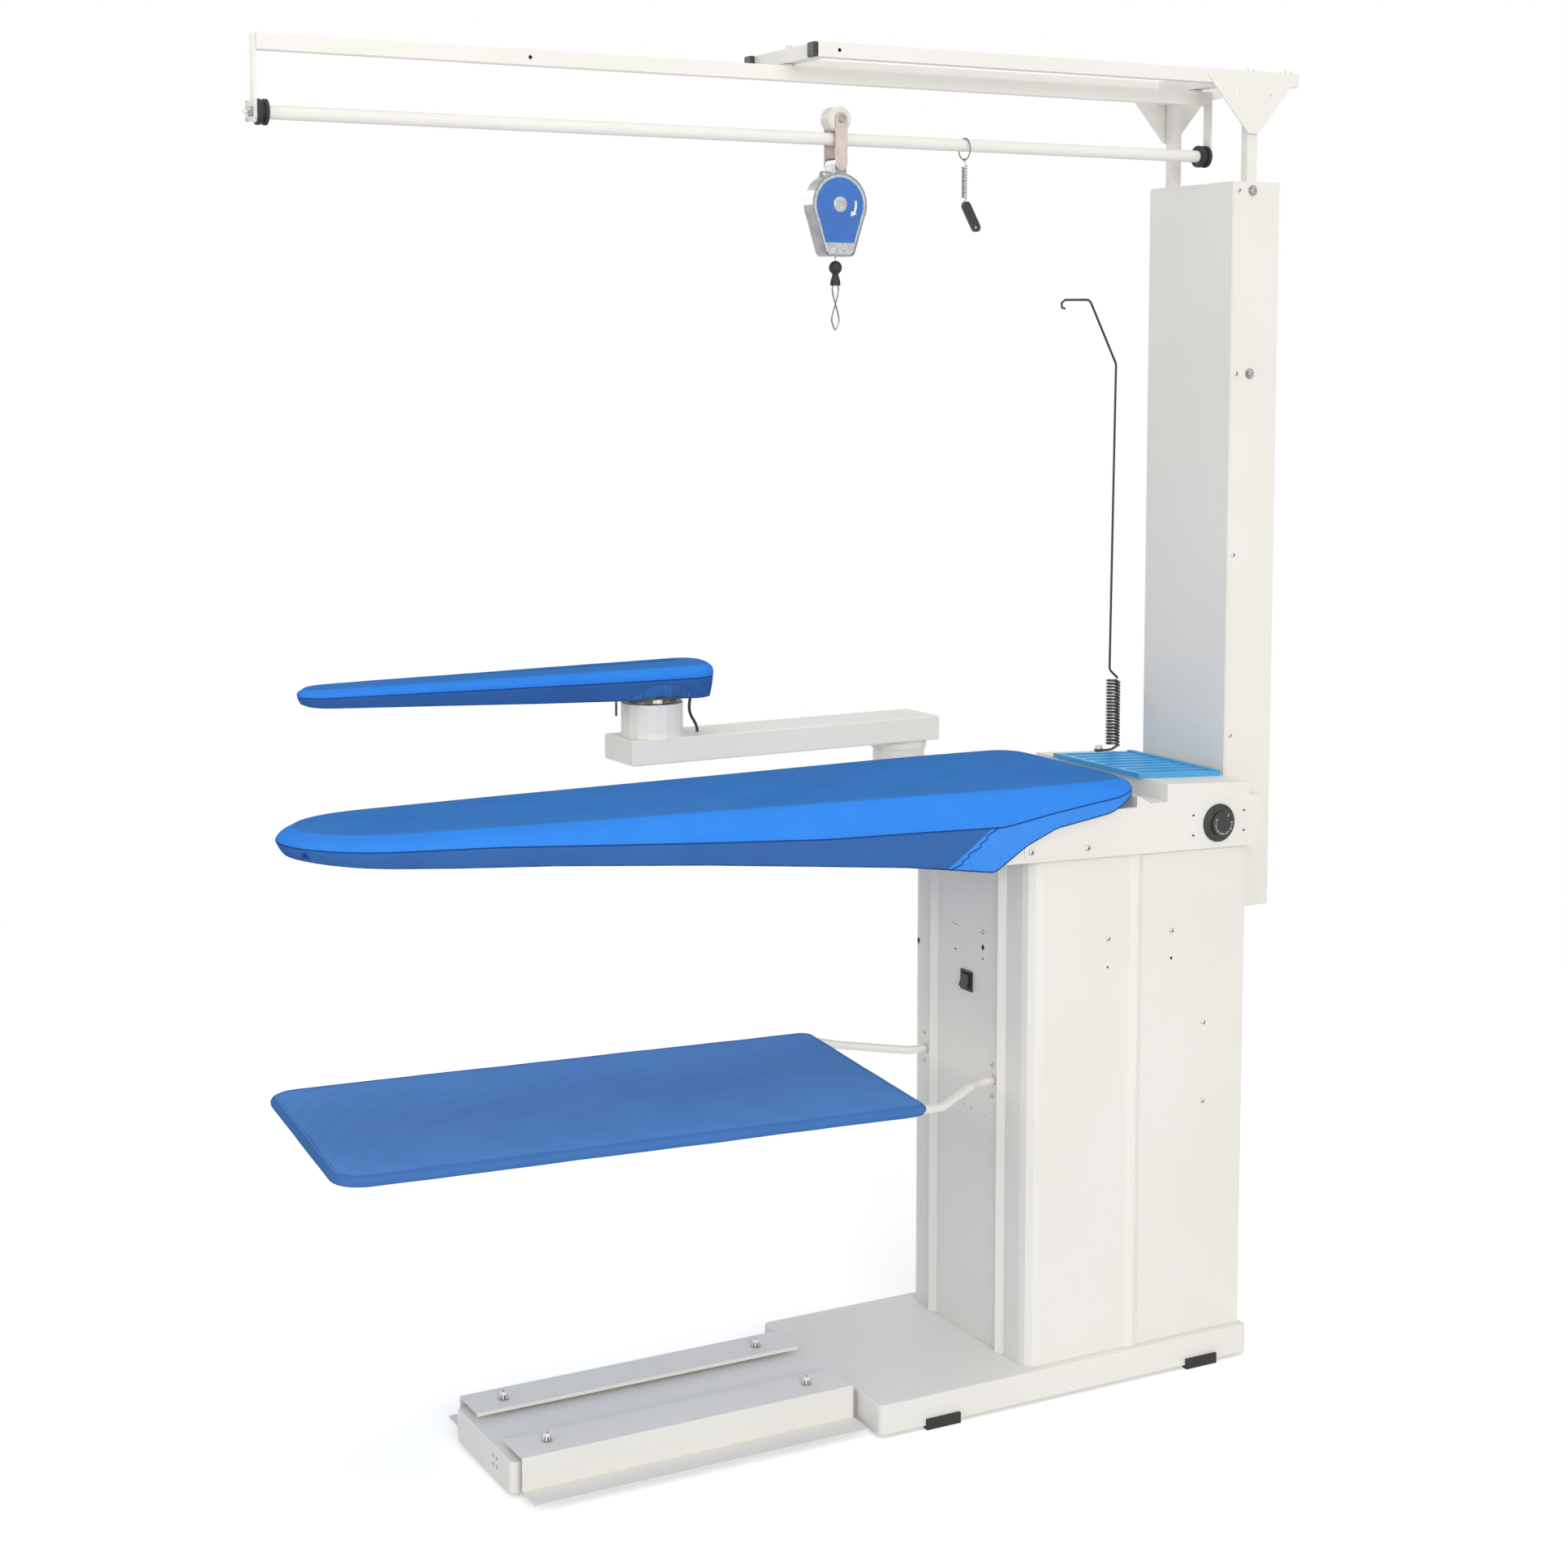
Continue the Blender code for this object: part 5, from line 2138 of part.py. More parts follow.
def stand_on_origin():
    """Moves everything so that the origin is on the floor under the middle of the object."""
    bpy.context.view_layer.update()
    graph = bpy.context.evaluated_depsgraph_get()
    low, high = Vector((math.inf,) * 3), Vector((-math.inf,) * 3)
    for thing in parts.objects:
        if thing.type == "EMPTY":
            continue
        shape = thing.evaluated_get(graph)
        for vertex in shape.to_mesh().vertices:
            place = shape.matrix_world @ vertex.co
            low = Vector(map(min, low, place))
            high = Vector(map(max, high, place))
        shape.to_mesh_clear()
    origin.location = (-(low.x + high.x) / 2, -(low.y + high.y) / 2, -low.z)


def main():
    global parts, cutters, origin
    clear_scene()
    scene = bpy.context.scene
    parts = bpy.data.collections.new(OBJECT_NAME)
    cutters = bpy.data.collections.new("cutters")
    scene.collection.children.link(parts)
    scene.collection.children.link(cutters)
    origin = bpy.data.objects.new("table_origin", None)
    parts.objects.link(origin)
    build_pedals(build_base())
    build_feet()
    build_pedal_switches()
    build_cabinet()
    build_power_switch()
    build_head_floor(build_blower())
    build_head()
    build_dial()
    build_iron_rest()
    build_board()
    build_column()
    build_top_frame()
    build_beam()
    build_rail()
    build_trolley()
    build_hanger()
    build_cord_wire()
    build_sleeve_post()
    build_sleeve_arm()
    build_tray()
    stand_on_origin()


main()
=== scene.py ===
"""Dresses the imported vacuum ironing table: camera, cloth covers, finishes, hardware, light and floor."""
import json
import math

import bmesh
import bpy
import numpy as np
from mathutils import Matrix, Vector

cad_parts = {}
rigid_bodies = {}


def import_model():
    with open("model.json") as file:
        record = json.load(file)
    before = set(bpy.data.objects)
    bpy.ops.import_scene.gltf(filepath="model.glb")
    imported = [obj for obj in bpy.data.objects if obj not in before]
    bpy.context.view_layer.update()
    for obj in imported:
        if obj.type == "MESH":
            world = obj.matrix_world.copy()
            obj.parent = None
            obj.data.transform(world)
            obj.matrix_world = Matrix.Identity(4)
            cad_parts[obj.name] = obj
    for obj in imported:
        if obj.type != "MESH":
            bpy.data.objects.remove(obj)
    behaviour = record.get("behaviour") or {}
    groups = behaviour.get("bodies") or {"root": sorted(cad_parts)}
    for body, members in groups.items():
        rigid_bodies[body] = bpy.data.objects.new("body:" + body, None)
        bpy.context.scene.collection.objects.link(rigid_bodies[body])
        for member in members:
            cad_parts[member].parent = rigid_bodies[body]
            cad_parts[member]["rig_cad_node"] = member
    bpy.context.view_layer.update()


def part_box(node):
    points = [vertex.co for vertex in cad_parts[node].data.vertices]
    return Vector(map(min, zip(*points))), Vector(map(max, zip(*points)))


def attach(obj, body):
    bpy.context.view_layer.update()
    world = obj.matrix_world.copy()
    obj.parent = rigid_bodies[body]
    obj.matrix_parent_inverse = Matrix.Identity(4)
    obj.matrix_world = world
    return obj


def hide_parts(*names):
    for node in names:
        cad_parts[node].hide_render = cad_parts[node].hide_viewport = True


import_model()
scene = bpy.context.scene

# The machine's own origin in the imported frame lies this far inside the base's end, on its midline
ORIGIN_INSIDE_BASE = 0.120
base_low, base_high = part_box("base_pan")
SHIFT = Vector((base_high[0] - ORIGIN_INSIDE_BASE, (base_low[1] + base_high[1]) / 2, 0))


def on_machine(x, y, z):
    return Vector((x, y, z)) + SHIFT


# Camera, fitted to the photograph with a part of its lens shift
SENSOR_WIDTH = 36
LENS = 57.7559
LENS_SHIFT = -0.12
CAMERA_PLACE = (-2.26329, -3.11544, 1.50986)
CAMERA_TURN = math.radians(28.2931)
CAMERA_PITCH = math.radians(5.3307)


def place_camera():
    data = bpy.data.cameras.new("camera")
    data.lens = LENS
    data.sensor_width = SENSOR_WIDTH
    data.shift_y = LENS_SHIFT
    camera = bpy.data.objects.new("camera", data)
    scene.collection.objects.link(camera)
    level = math.cos(CAMERA_PITCH)
    ahead = Vector((math.sin(CAMERA_TURN) * level, math.cos(CAMERA_TURN) * level, -math.sin(CAMERA_PITCH)))
    camera.location = on_machine(*CAMERA_PLACE)
    camera.rotation_euler = ahead.to_track_quat("-Z", "Y").to_euler()
    scene.camera = camera


# Shader nodes
def srgb(red, green, blue):
    shares = [part / 255 for part in (red, green, blue)]
    return tuple(((s + 0.055) / 1.055) ** 2.4 if s > 0.04045 else s / 12.92 for s in shares) + (1,)


def node(tree, kind, inputs=None, **settings):
    made = tree.nodes.new("ShaderNode" + kind)
    for key, value in settings.items():
        setattr(made, key, value)
    for key, value in (inputs or {}).items():
        if isinstance(value, bpy.types.NodeSocket):
            tree.links.new(value, made.inputs[key])
        else:
            made.inputs[key].default_value = value
    return made


def start(name, **sockets):
    """A new material with its constants on the shader's own sockets, and object coordinates to paint by."""
    material = bpy.data.materials.new(name)
    material.use_nodes = True
    tree = material.node_tree
    shader = next(n for n in tree.nodes if n.type == "BSDF_PRINCIPLED")
    for key, value in sockets.items():
        shader.inputs[key.replace("_", " ")].default_value = value
    where = node(tree, "TexCoord").outputs["Object"]
    return material, tree, shader, where


def stretched(tree, where, scale):
    return node(tree, "Mapping", {"Vector": where, "Scale": scale}).outputs["Vector"]


def noise(tree, where, scale, detail=4.0):
    return node(tree, "TexNoise", {"Vector": where, "Scale": scale, "Detail": detail}).outputs[0]


def ramp(tree, factor, low, high, start_at=0.3, end_at=0.7):
    made = node(tree, "ValToRGB", {"Fac": factor})
    first, last = made.color_ramp.elements
    first.position, last.position = start_at, end_at
    first.color, last.color = low, high
    return made.outputs["Color"]


def spread(tree, factor, low, high):
    ends = {"From Min": 0.3, "From Max": 0.7, "To Min": low, "To Max": high}
    return node(tree, "MapRange", {"Value": factor, **ends}).outputs[0]


def bump(tree, shader, height, strength, distance):
    made = node(tree, "Bump", {"Height": height, "Strength": strength, "Distance": distance})
    tree.links.new(made.outputs["Normal"], shader.inputs["Normal"])


def feed(tree, shader, **links):
    for key, socket in links.items():
        tree.links.new(socket, shader.inputs[key.replace("_", " ")])


# Finishes, and the height in metres of the fine relief that most of them share
FINE_RELIEF = 0.0003


def painted_steel():
    """Off-white powder coat: soft gloss with a fine orange peel."""
    material, tree, shader, where = start("paint_offwhite", Coat_Weight=0.05, Coat_Roughness=0.3,
                                         Specular_IOR_Level=0.3)
    tone = noise(tree, where, 3.5)
    feed(tree, shader, Base_Color=ramp(tree, tone, srgb(232, 230, 224), srgb(237, 235, 230)),
         Roughness=spread(tree, noise(tree, where, 40), 0.36, 0.46))
    bump(tree, shader, noise(tree, where, 900, 2.0), 0.10, 0.0004)
    return material


def metal(name, dark, pale, rough, grain, strength=0.1, metallic=1.0):
    material, tree, shader, where = start(name, Metallic=metallic)
    feed(tree, shader, Base_Color=ramp(tree, noise(tree, where, grain), dark, pale),
         Roughness=spread(tree, noise(tree, where, grain * 2), rough * 0.75, rough * 1.25))
    bump(tree, shader, noise(tree, where, grain * 4, 2.0), strength, FINE_RELIEF)
    return material


def galvanised_steel():
    material, tree, shader, where = start("galvanised_spangle", Metallic=0.9)
    cells = node(tree, "TexVoronoi", {"Vector": where, "Scale": 110.0}).outputs["Color"]
    feed(tree, shader, Base_Color=ramp(tree, cells, srgb(150, 154, 158), srgb(196, 199, 201), 0.1, 0.9),
         Roughness=spread(tree, noise(tree, where, 60), 0.3, 0.5))
    bump(tree, shader, noise(tree, where, 300), 0.08, FINE_RELIEF)
    return material


def plastic(name, dark, pale, rough, grain=700, strength=0.12, **sockets):
    material, tree, shader, where = start(name, **sockets)
    feed(tree, shader, Base_Color=ramp(tree, noise(tree, where, 14), dark, pale),
         Roughness=spread(tree, noise(tree, where, 90), rough - 0.06, rough + 0.06))
    bump(tree, shader, noise(tree, where, grain, 3.0), strength, FINE_RELIEF)
    return material


def weave(tree, where, threads):
    """Height of a plain weave that reads the same on tops and sides."""
    total = None
    for direction in "XYZ":
        wave = node(tree, "TexWave", {"Vector": where, "Scale": threads, "Distortion": 0.6, "Detail": 1.0},
                    bands_direction=direction)
        out = wave.outputs["Fac"]
        total = out if total is None else node(tree, "Math", {0: total, 1: out}, operation="ADD").outputs[0]
    return node(tree, "Math", {0: total, 1: 3.0}, operation="DIVIDE").outputs[0]


# Slanted seam between the board's skirt and its end piece, where the end piece's painted light starts: X + Z
# times the lean is constant along it
END_SEAM_LEAN = -1.2855
END_SEAM_AT = -1.4475
END_SEAM_BLUR = 0.001


def cloth(name, colour, shade, threads=300, end_piece_painted_light=None):
    """Tightly woven polyester: weave bump, slubs, faint mottling and a little sheen.

    The optional end piece pair gives the colour and darker mottle past the slanted seam that parts skirt and
    end piece: a brighter blue that is painted light on the flared end panel."""
    sockets = {"Sheen_Weight": 0.012, "Sheen_Roughness": 0.5, "Specular_IOR_Level": 0.0}
    material, tree, shader, where = start(name, **sockets)
    threads_height = weave(tree, where, threads)
    slubs = noise(tree, stretched(tree, where, (60, 900, 900)), 1.0, 2.0)
    mottled = noise(tree, where, 9)
    base = ramp(tree, mottled, shade, colour, 0.25, 0.6)
    # Past the slanted seam the colour turns to the end piece's brighter blue, painted light; side is that
    # seam's mask.
    if end_piece_painted_light:
        parts = node(tree, "SeparateXYZ", {"Vector": where}).outputs
        slant = node(tree, "Math", {0: parts["Z"], 1: END_SEAM_LEAN, 2: parts["X"]}, operation="MULTIPLY_ADD")
        seam = END_SEAM_AT + SHIFT.x
        ends = {"From Min": seam, "From Max": seam + END_SEAM_BLUR}
        side = node(tree, "MapRange", {"Value": slant.outputs[0], **ends}).outputs[0]
        painted_light_end_colour = ramp(tree, mottled, end_piece_painted_light[1], end_piece_painted_light[0], 0.25, 0.6)
        base = node(tree, "MixRGB", {"Fac": side, "Color1": base, "Color2": painted_light_end_colour}).outputs["Color"]
    thread_shade = ramp(tree, threads_height, (0.93, 0.93, 0.93, 1), (1, 1, 1, 1), 0.2, 0.6)
    toned = node(tree, "MixRGB", {"Fac": 1.0, "Color1": base, "Color2": thread_shade}, blend_type="MULTIPLY")
    slub_shade = ramp(tree, slubs, (0.96, 0.96, 0.96, 1), (1, 1, 1, 1))
    slubbed = node(tree, "MixRGB", {"Fac": 1.0, "Color1": toned.outputs["Color"], "Color2": slub_shade},
                   blend_type="MULTIPLY")
    rough = spread(tree, noise(tree, where, 25), 0.62, 0.74)
    feed(tree, shader, Base_Color=slubbed.outputs["Color"], Roughness=rough)
    bump(tree, shader, threads_height, 0.35, FINE_RELIEF)
    return material


FINISHES = {
    "powder_coat": painted_steel(),
    "galvanised": galvanised_steel(),
    "bright_steel": metal("bright_steel_nickel", srgb(150, 150, 148), srgb(186, 186, 183), 0.24, 120),
    "wire_coating": plastic("wire_black", srgb(36, 36, 35), srgb(52, 52, 50), 0.36, 500, 0.08,
                            Coat_Weight=0.2),
    "black_plastic": plastic("moulded_black", srgb(38, 38, 37), srgb(50, 50, 49), 0.46),
    "nylon": plastic("roller_nylon", srgb(214, 211, 203), srgb(226, 223, 216), 0.42, 400, 0.06),
    "black_rubber": plastic("rubber_black", srgb(33, 33, 32), srgb(44, 44, 43), 0.68, 350, 0.25),
    "rest_silicone": plastic("silicone_blue", srgb(60, 158, 214), srgb(78, 172, 224), 0.42, 260, 0.08,
                             Subsurface_Weight=0.15, Subsurface_Scale=0.004),
    "screw_zinc": metal("screw_zinc", srgb(184, 184, 181), srgb(214, 214, 210), 0.28, 160),
    "spring_steel": metal("spring_steel_drawn", srgb(104, 104, 102), srgb(142, 142, 139), 0.3, 400),
    "case_polished": metal("case_polished", srgb(142, 144, 147), srgb(172, 174, 176), 0.2, 60),
    "ring_dark": metal("spigot_ring_dark", srgb(86, 84, 82), srgb(118, 116, 113), 0.24, 200),
    "strap_metal": metal("strap_pressed", srgb(196, 184, 172), srgb(212, 200, 189), 0.38, 60, 0.06, 0.55),
    "cast_silver": metal("cast_aluminium", srgb(176, 178, 180), srgb(202, 204, 205), 0.34, 180, 0.2, 0.85),
    "label_blue": plastic("label_film_blue", srgb(42, 102, 184), srgb(48, 110, 192), 0.3, 800, 0.03,
                          Coat_Weight=0.3),
}
TOP_CLOTH = cloth("cloth_top", srgb(65, 129, 206), srgb(61, 124, 201))
# The band is the top's own cloth in a brighter blue: painted light where the side faces the key lamp.
PAINTED_LIGHT_BAND_CLOTH = cloth("cloth_band_painted_light", srgb(61, 143, 243), srgb(56, 138, 238))
# The skirts are the top's own cloth in darker blues: painted shade where they face down and out.
PAINTED_SHADE_SKIRT_CLOTH = cloth("cloth_skirt_painted_shade", srgb(63, 110, 178), srgb(59, 105, 172),
                    end_piece_painted_light=(srgb(72, 148, 243), srgb(68, 144, 239)))
# The sleeve skirt's darker blue is painted shade as well.
SLEEVE_SKIRT_PAINTED_SHADE_CLOTH = cloth("cloth_sleeve_skirt_painted_shade", srgb(58, 104, 170), srgb(54, 99, 164))
FOLD_CLOTH = cloth("cloth_fold", srgb(68, 118, 190), srgb(64, 113, 184))
TRAY_CLOTH = cloth("cloth_tray", srgb(95, 147, 219), srgb(91, 143, 215))
# The tray's rim and stitching cloth is the tray cloth in a darker blue: painted shade that evens the rim's
# brighter front light down to the top's tone.
TRAY_EDGE_PAINTED_SHADE_CLOTH = cloth("cloth_tray_edge_painted_shade", srgb(74, 122, 188), srgb(70, 118, 183))
# Seam, hem and cord threads are real thread; their dark blue is also painted shade for the fold along each
# seam.
SEAM_THREAD_AND_PAINTED_SHADE = cloth("cloth_seam_thread_and_painted_shade", srgb(40, 78, 138), srgb(36, 72, 130), 500)
WHITE_PRINT = plastic("print_white", srgb(226, 226, 224), srgb(238, 238, 236), 0.5, 900, 0.02)
# Near-black discs set in the spare holes: painted shade for the dark inside each hole.
HOLE_PAINTED_SHADE = plastic("hole_painted_shade", srgb(14, 14, 14), srgb(22, 22, 21), 0.8, 500, 0.1)
# Dark sheets over the screw slots: painted shade in place of each slot's recess.
SLOT_PAINTED_SHADE = plastic("recess_painted_shade", srgb(58, 58, 57), srgb(74, 74, 73), 0.5, 500, 0.1, Metallic=0.5)


# Mesh helpers
def shown(name, bm, materials, body, smooth=True):
    mesh = bpy.data.meshes.new(name)
    bmesh.ops.recalc_face_normals(bm, faces=bm.faces)
    bm.to_mesh(mesh)
    bm.free()
    for material in materials:
        mesh.materials.append(material)
    if smooth:
        mesh.polygons.foreach_set("use_smooth", [True] * len(mesh.polygons))
    piece = bpy.data.objects.new(name, mesh)
    scene.collection.objects.link(piece)
    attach(piece, body)
    return piece


def skin(bm, rings, materials):
    """Joins rings of equally many points with quads, one material index for each gap between rings."""
    loops = [[bm.verts.new(point) for point in ring] for ring in rings]
    count = len(loops[0])
    for (first, second), index in zip(zip(loops, loops[1:]), materials):
        for i in range(count):
            after = (i + 1) % count
            face = bm.faces.new((first[i], first[after], second[after], second[i]))
            face.material_index = index
    return loops


def lathe(bm, place, outward, rings, sides):
    """Turned solid from (radius, height) pairs, standing on a place and pointing outward."""
    turn = Vector((0, 0, 1)).rotation_difference(Vector(outward)).to_matrix()
    loops = []
    for radius, height in rings:
        if radius == 0:
            loops.append([bm.verts.new(Vector(place) + turn @ Vector((0, 0, height)))])
            continue
        loops.append([
            bm.verts.new(Vector(place) + turn @ Vector((radius * math.cos(a), radius * math.sin(a), height)))
            for a in (2 * math.pi * (k + 0.5) / sides for k in range(sides))
        ])
    for first, second in zip(loops, loops[1:]):
        for k in range(sides):
            a, b = k, (k + 1) % sides
            low, high = len(first), len(second)
            corners = [first[a % low], first[b % low], second[b % high], second[a % high]]
            bm.faces.new(list(dict.fromkeys(corners)))


def line_tube(name, points, radius, material, body, closed=False):
    """A thin round tube along a smooth path, as a curve piece."""
    data = bpy.data.curves.new(name, "CURVE")
    data.dimensions = "3D"
    data.bevel_depth = radius
    data.bevel_resolution = 2
    data.use_fill_caps = True
    spline = data.splines.new("POLY")
    spline.points.add(len(points) - 1)
    for target, point in zip(spline.points, points):
        target.co = (*point, 1)
    spline.use_cyclic_u = closed
    data.materials.append(material)
    piece = bpy.data.objects.new(name, data)
    scene.collection.objects.link(piece)
    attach(piece, body)
    return piece


def smooth_line(points, per_span=8):
    """Smooth line through open points."""
    given = [Vector(p) for p in points]
    padded = [2 * given[0] - given[1], *given, 2 * given[-1] - given[-2]]
    line = []
    for a, b, c, d in zip(padded, padded[1:], padded[2:], padded[3:]):
        for k in range(per_span):
            t = k / per_span
            bend = (2 * a - 5 * b + 4 * c - d) * t ** 2
            line.append(0.5 * (2 * b + (c - a) * t + bend + (3 * b - a - 3 * c + d) * t ** 3))
    return line + [given[-1]]


# Covers: plan and section as on the solids, drawn much finer
BOARD = {
    "right": -0.095, "nose": -1.307, "half": 0.161, "corner": 0.045, "top": 0.9055, "rise": 0.006,
    "depth": 0.120, "pad": 0.008, "crown": 0.0025, "crown_inset": 0.012, "out": 0.0185, "draw_in": 0.010,
    "swell": 0.62, "spine": (0.10, 0.13), "points": 300,
    "half_shares": ((0.0, 1.0), (0.15, 1.0), (0.215, 0.98), (0.417, 0.87), (0.747, 0.714), (0.887, 0.621)),
    "station_shares": (0.066, 0.111, 0.135, 0.161, 0.182, 0.204, 0.252, 0.317, 0.42, 0.56, 0.74, 0.887),
    "seam_shares": (
        (0.0, 0.117), (0.03, 0.2), (0.12, 0.31), (0.19, 0.425), (0.28, 0.408), (0.42, 0.388), (0.56, 0.3125),
        (0.80, 0.167), (1.0, 0.105)
    ),
    "hem_shares": (
        (0.0, 0.20), (0.01, 0.20), (0.041, 0.38), (0.12, 0.50), (0.161, 0.675), (0.204, 0.958),
        (0.252, 0.892), (0.317, 0.808), (0.56, 0.575), (0.74, 0.43), (0.85, 0.368), (0.95, 0.296),
        (1.0, 0.245)
    ),
    "draw_shares": ((0.0, 0.0), (0.208, 0.0), (0.30, 0.6), (1.0, 1.0)),
}
# The sleeve cover's hem is arched up over the cup and at the nose
SLEEVE = {
    "right": 0.0905, "nose": -0.558, "half": 0.052, "corner": 0.040, "top": 1.0365, "rise": -0.0125,
    "depth": 0.054, "pad": 0.006, "crown": 0.002, "crown_inset": 0.008, "out": 0.0065, "draw_in": 0.005,
    "swell": 0.45, "spine": (0.035, 0.05), "points": 220,
    "half_shares": ((0.0, 1.0), (0.12, 1.0), (0.40, 0.86), (0.70, 0.72), (0.94, 0.60)),
    "station_shares": (0.12, 0.20, 0.28, 0.45, 0.62, 0.78, 0.94),
    "seam_shares": ((0.0, 0.40), (0.35, 0.44), (0.71, 0.46), (1.0, 0.48)),
    "hem_shares": (
        (0.0, 1.0), (0.06, 1.0), (0.10, 0.93), (0.17, 0.93), (0.22, 0.985), (0.28, 0.97), (0.45, 0.93),
        (0.66, 0.86), (0.95, 0.770), (0.985, 0.740), (1.0, 0.685)
    ),
    "draw_shares": ((0.0, 1.0), (1.0, 1.0)),
}


def corner_arc(centre, radius, low, high, steps):
    angles = [math.radians(low + (high - low) * k / steps) for k in range(steps + 1)]
    return [(centre[0] + radius * math.cos(a), centre[1] + radius * math.sin(a)) for a in angles]


def even_loop(outline, count):
    """Evenly spaced points round a closed outline, and how far along it each one lies."""
    loop = np.array(outline + outline[:1])
    run = np.concatenate([[0], np.cumsum(np.linalg.norm(np.diff(loop, axis=0), axis=1))])
    even = np.linspace(0, run[-1], count, endpoint=False)
    return np.column_stack([np.interp(even, run, loop[:, k]) for k in (0, 1)]), even


CORNER_STEPS = 6
NOSE_STEPS = 15
FINER = 4
SMOOTHED_OVER = 27


def fine_plan(form):
    """Evenly spaced smooth outline of a board's top edge."""
    corner, half, right = form["corner"], form["half"], form["right"]
    length = right - form["nose"]
    halves = list(zip(*form["half_shares"]))
    side = [(right - share * length, half * np.interp(share, *halves)) for share in form["station_shares"]]
    start_x, start_half = side[-1]
    reach = start_x - form["nose"]
    plan = corner_arc((right - corner, -half + corner), corner, 270, 360, CORNER_STEPS)
    plan += corner_arc((right - corner, half - corner), corner, 0, 90, CORNER_STEPS)
    plan += side
    turns = np.radians(np.linspace(90, 270, NOSE_STEPS)[1:-1])
    plan += [(start_x + reach * math.cos(a), start_half * math.sin(a)) for a in turns]
    plan += [(x, -y) for x, y in reversed(side)]
    fine, _ = even_loop(plan, form["points"] * FINER)
    kernel = np.hanning(SMOOTHED_OVER)
    kernel /= kernel.sum()
    around = len(kernel) // 2
    padded = np.concatenate([fine[-around:], fine, fine[:around]])
    rounded = np.column_stack([np.convolve(padded[:, k], kernel, mode="valid") for k in (0, 1)])
    return rounded[::FINER]


# Frequency, phase and weight of each sine in a ripple
RIPPLE_SINES = ((1.0, 1.3, 0.5), (2.3, 2.1, 0.3), (4.1, 0.7, 0.2))


def ripple(value, seed):
    """Smooth pseudo-random wave in -1..1 from a few fixed sines."""
    return sum([math.sin(value * often + seed * phase) * weight for often, phase, weight in RIPPLE_SINES])


# Covers' section: roll of the top edge, belly of the band, gathers of the skirt, dimples of the top
EDGE_OUT = 0.0015
EDGE_DROP = 0.005
EDGE_ROLL = ((-0.0075, 0.0002), (-0.0045, 0.0009), (-0.0018, 0.0023))
BELLY = 0.0018
GATHER_LENGTH = 0.0085
GATHER_DEPTH = 0.0009
GATHER_SEED = 3
DRAW_CURVE = 1.5
DIMPLE_LENGTH = 0.045
DIMPLE_DEPTH = 0.00035
DIMPLE_SEED = 7
CROWN_SHARES = (0.985, 0.85, 0.7, 0.55, 0.42, 0.30, 0.20, 0.11, 0.05, 0.0)
BAND_DEPTHS = (0.0, 0.12, 0.26, 0.4, 0.54, 0.68, 0.82, 0.94)
SKIRT_DEPTHS = (1.06, 1.18, 1.34, 1.5, 1.66, 1.82, 1.94, 2.0)
INSIDE_SHARES = (0.1, 0.4, 0.7, 0.985)
SEAM_TUCK = 0.0011
HEM_CLOTH = 0.0016
HEM_LIFT = 0.0004
LINING_IN = 0.0032
LINING_MIDDLE_IN = 0.002
PAD_INSET = 0.001


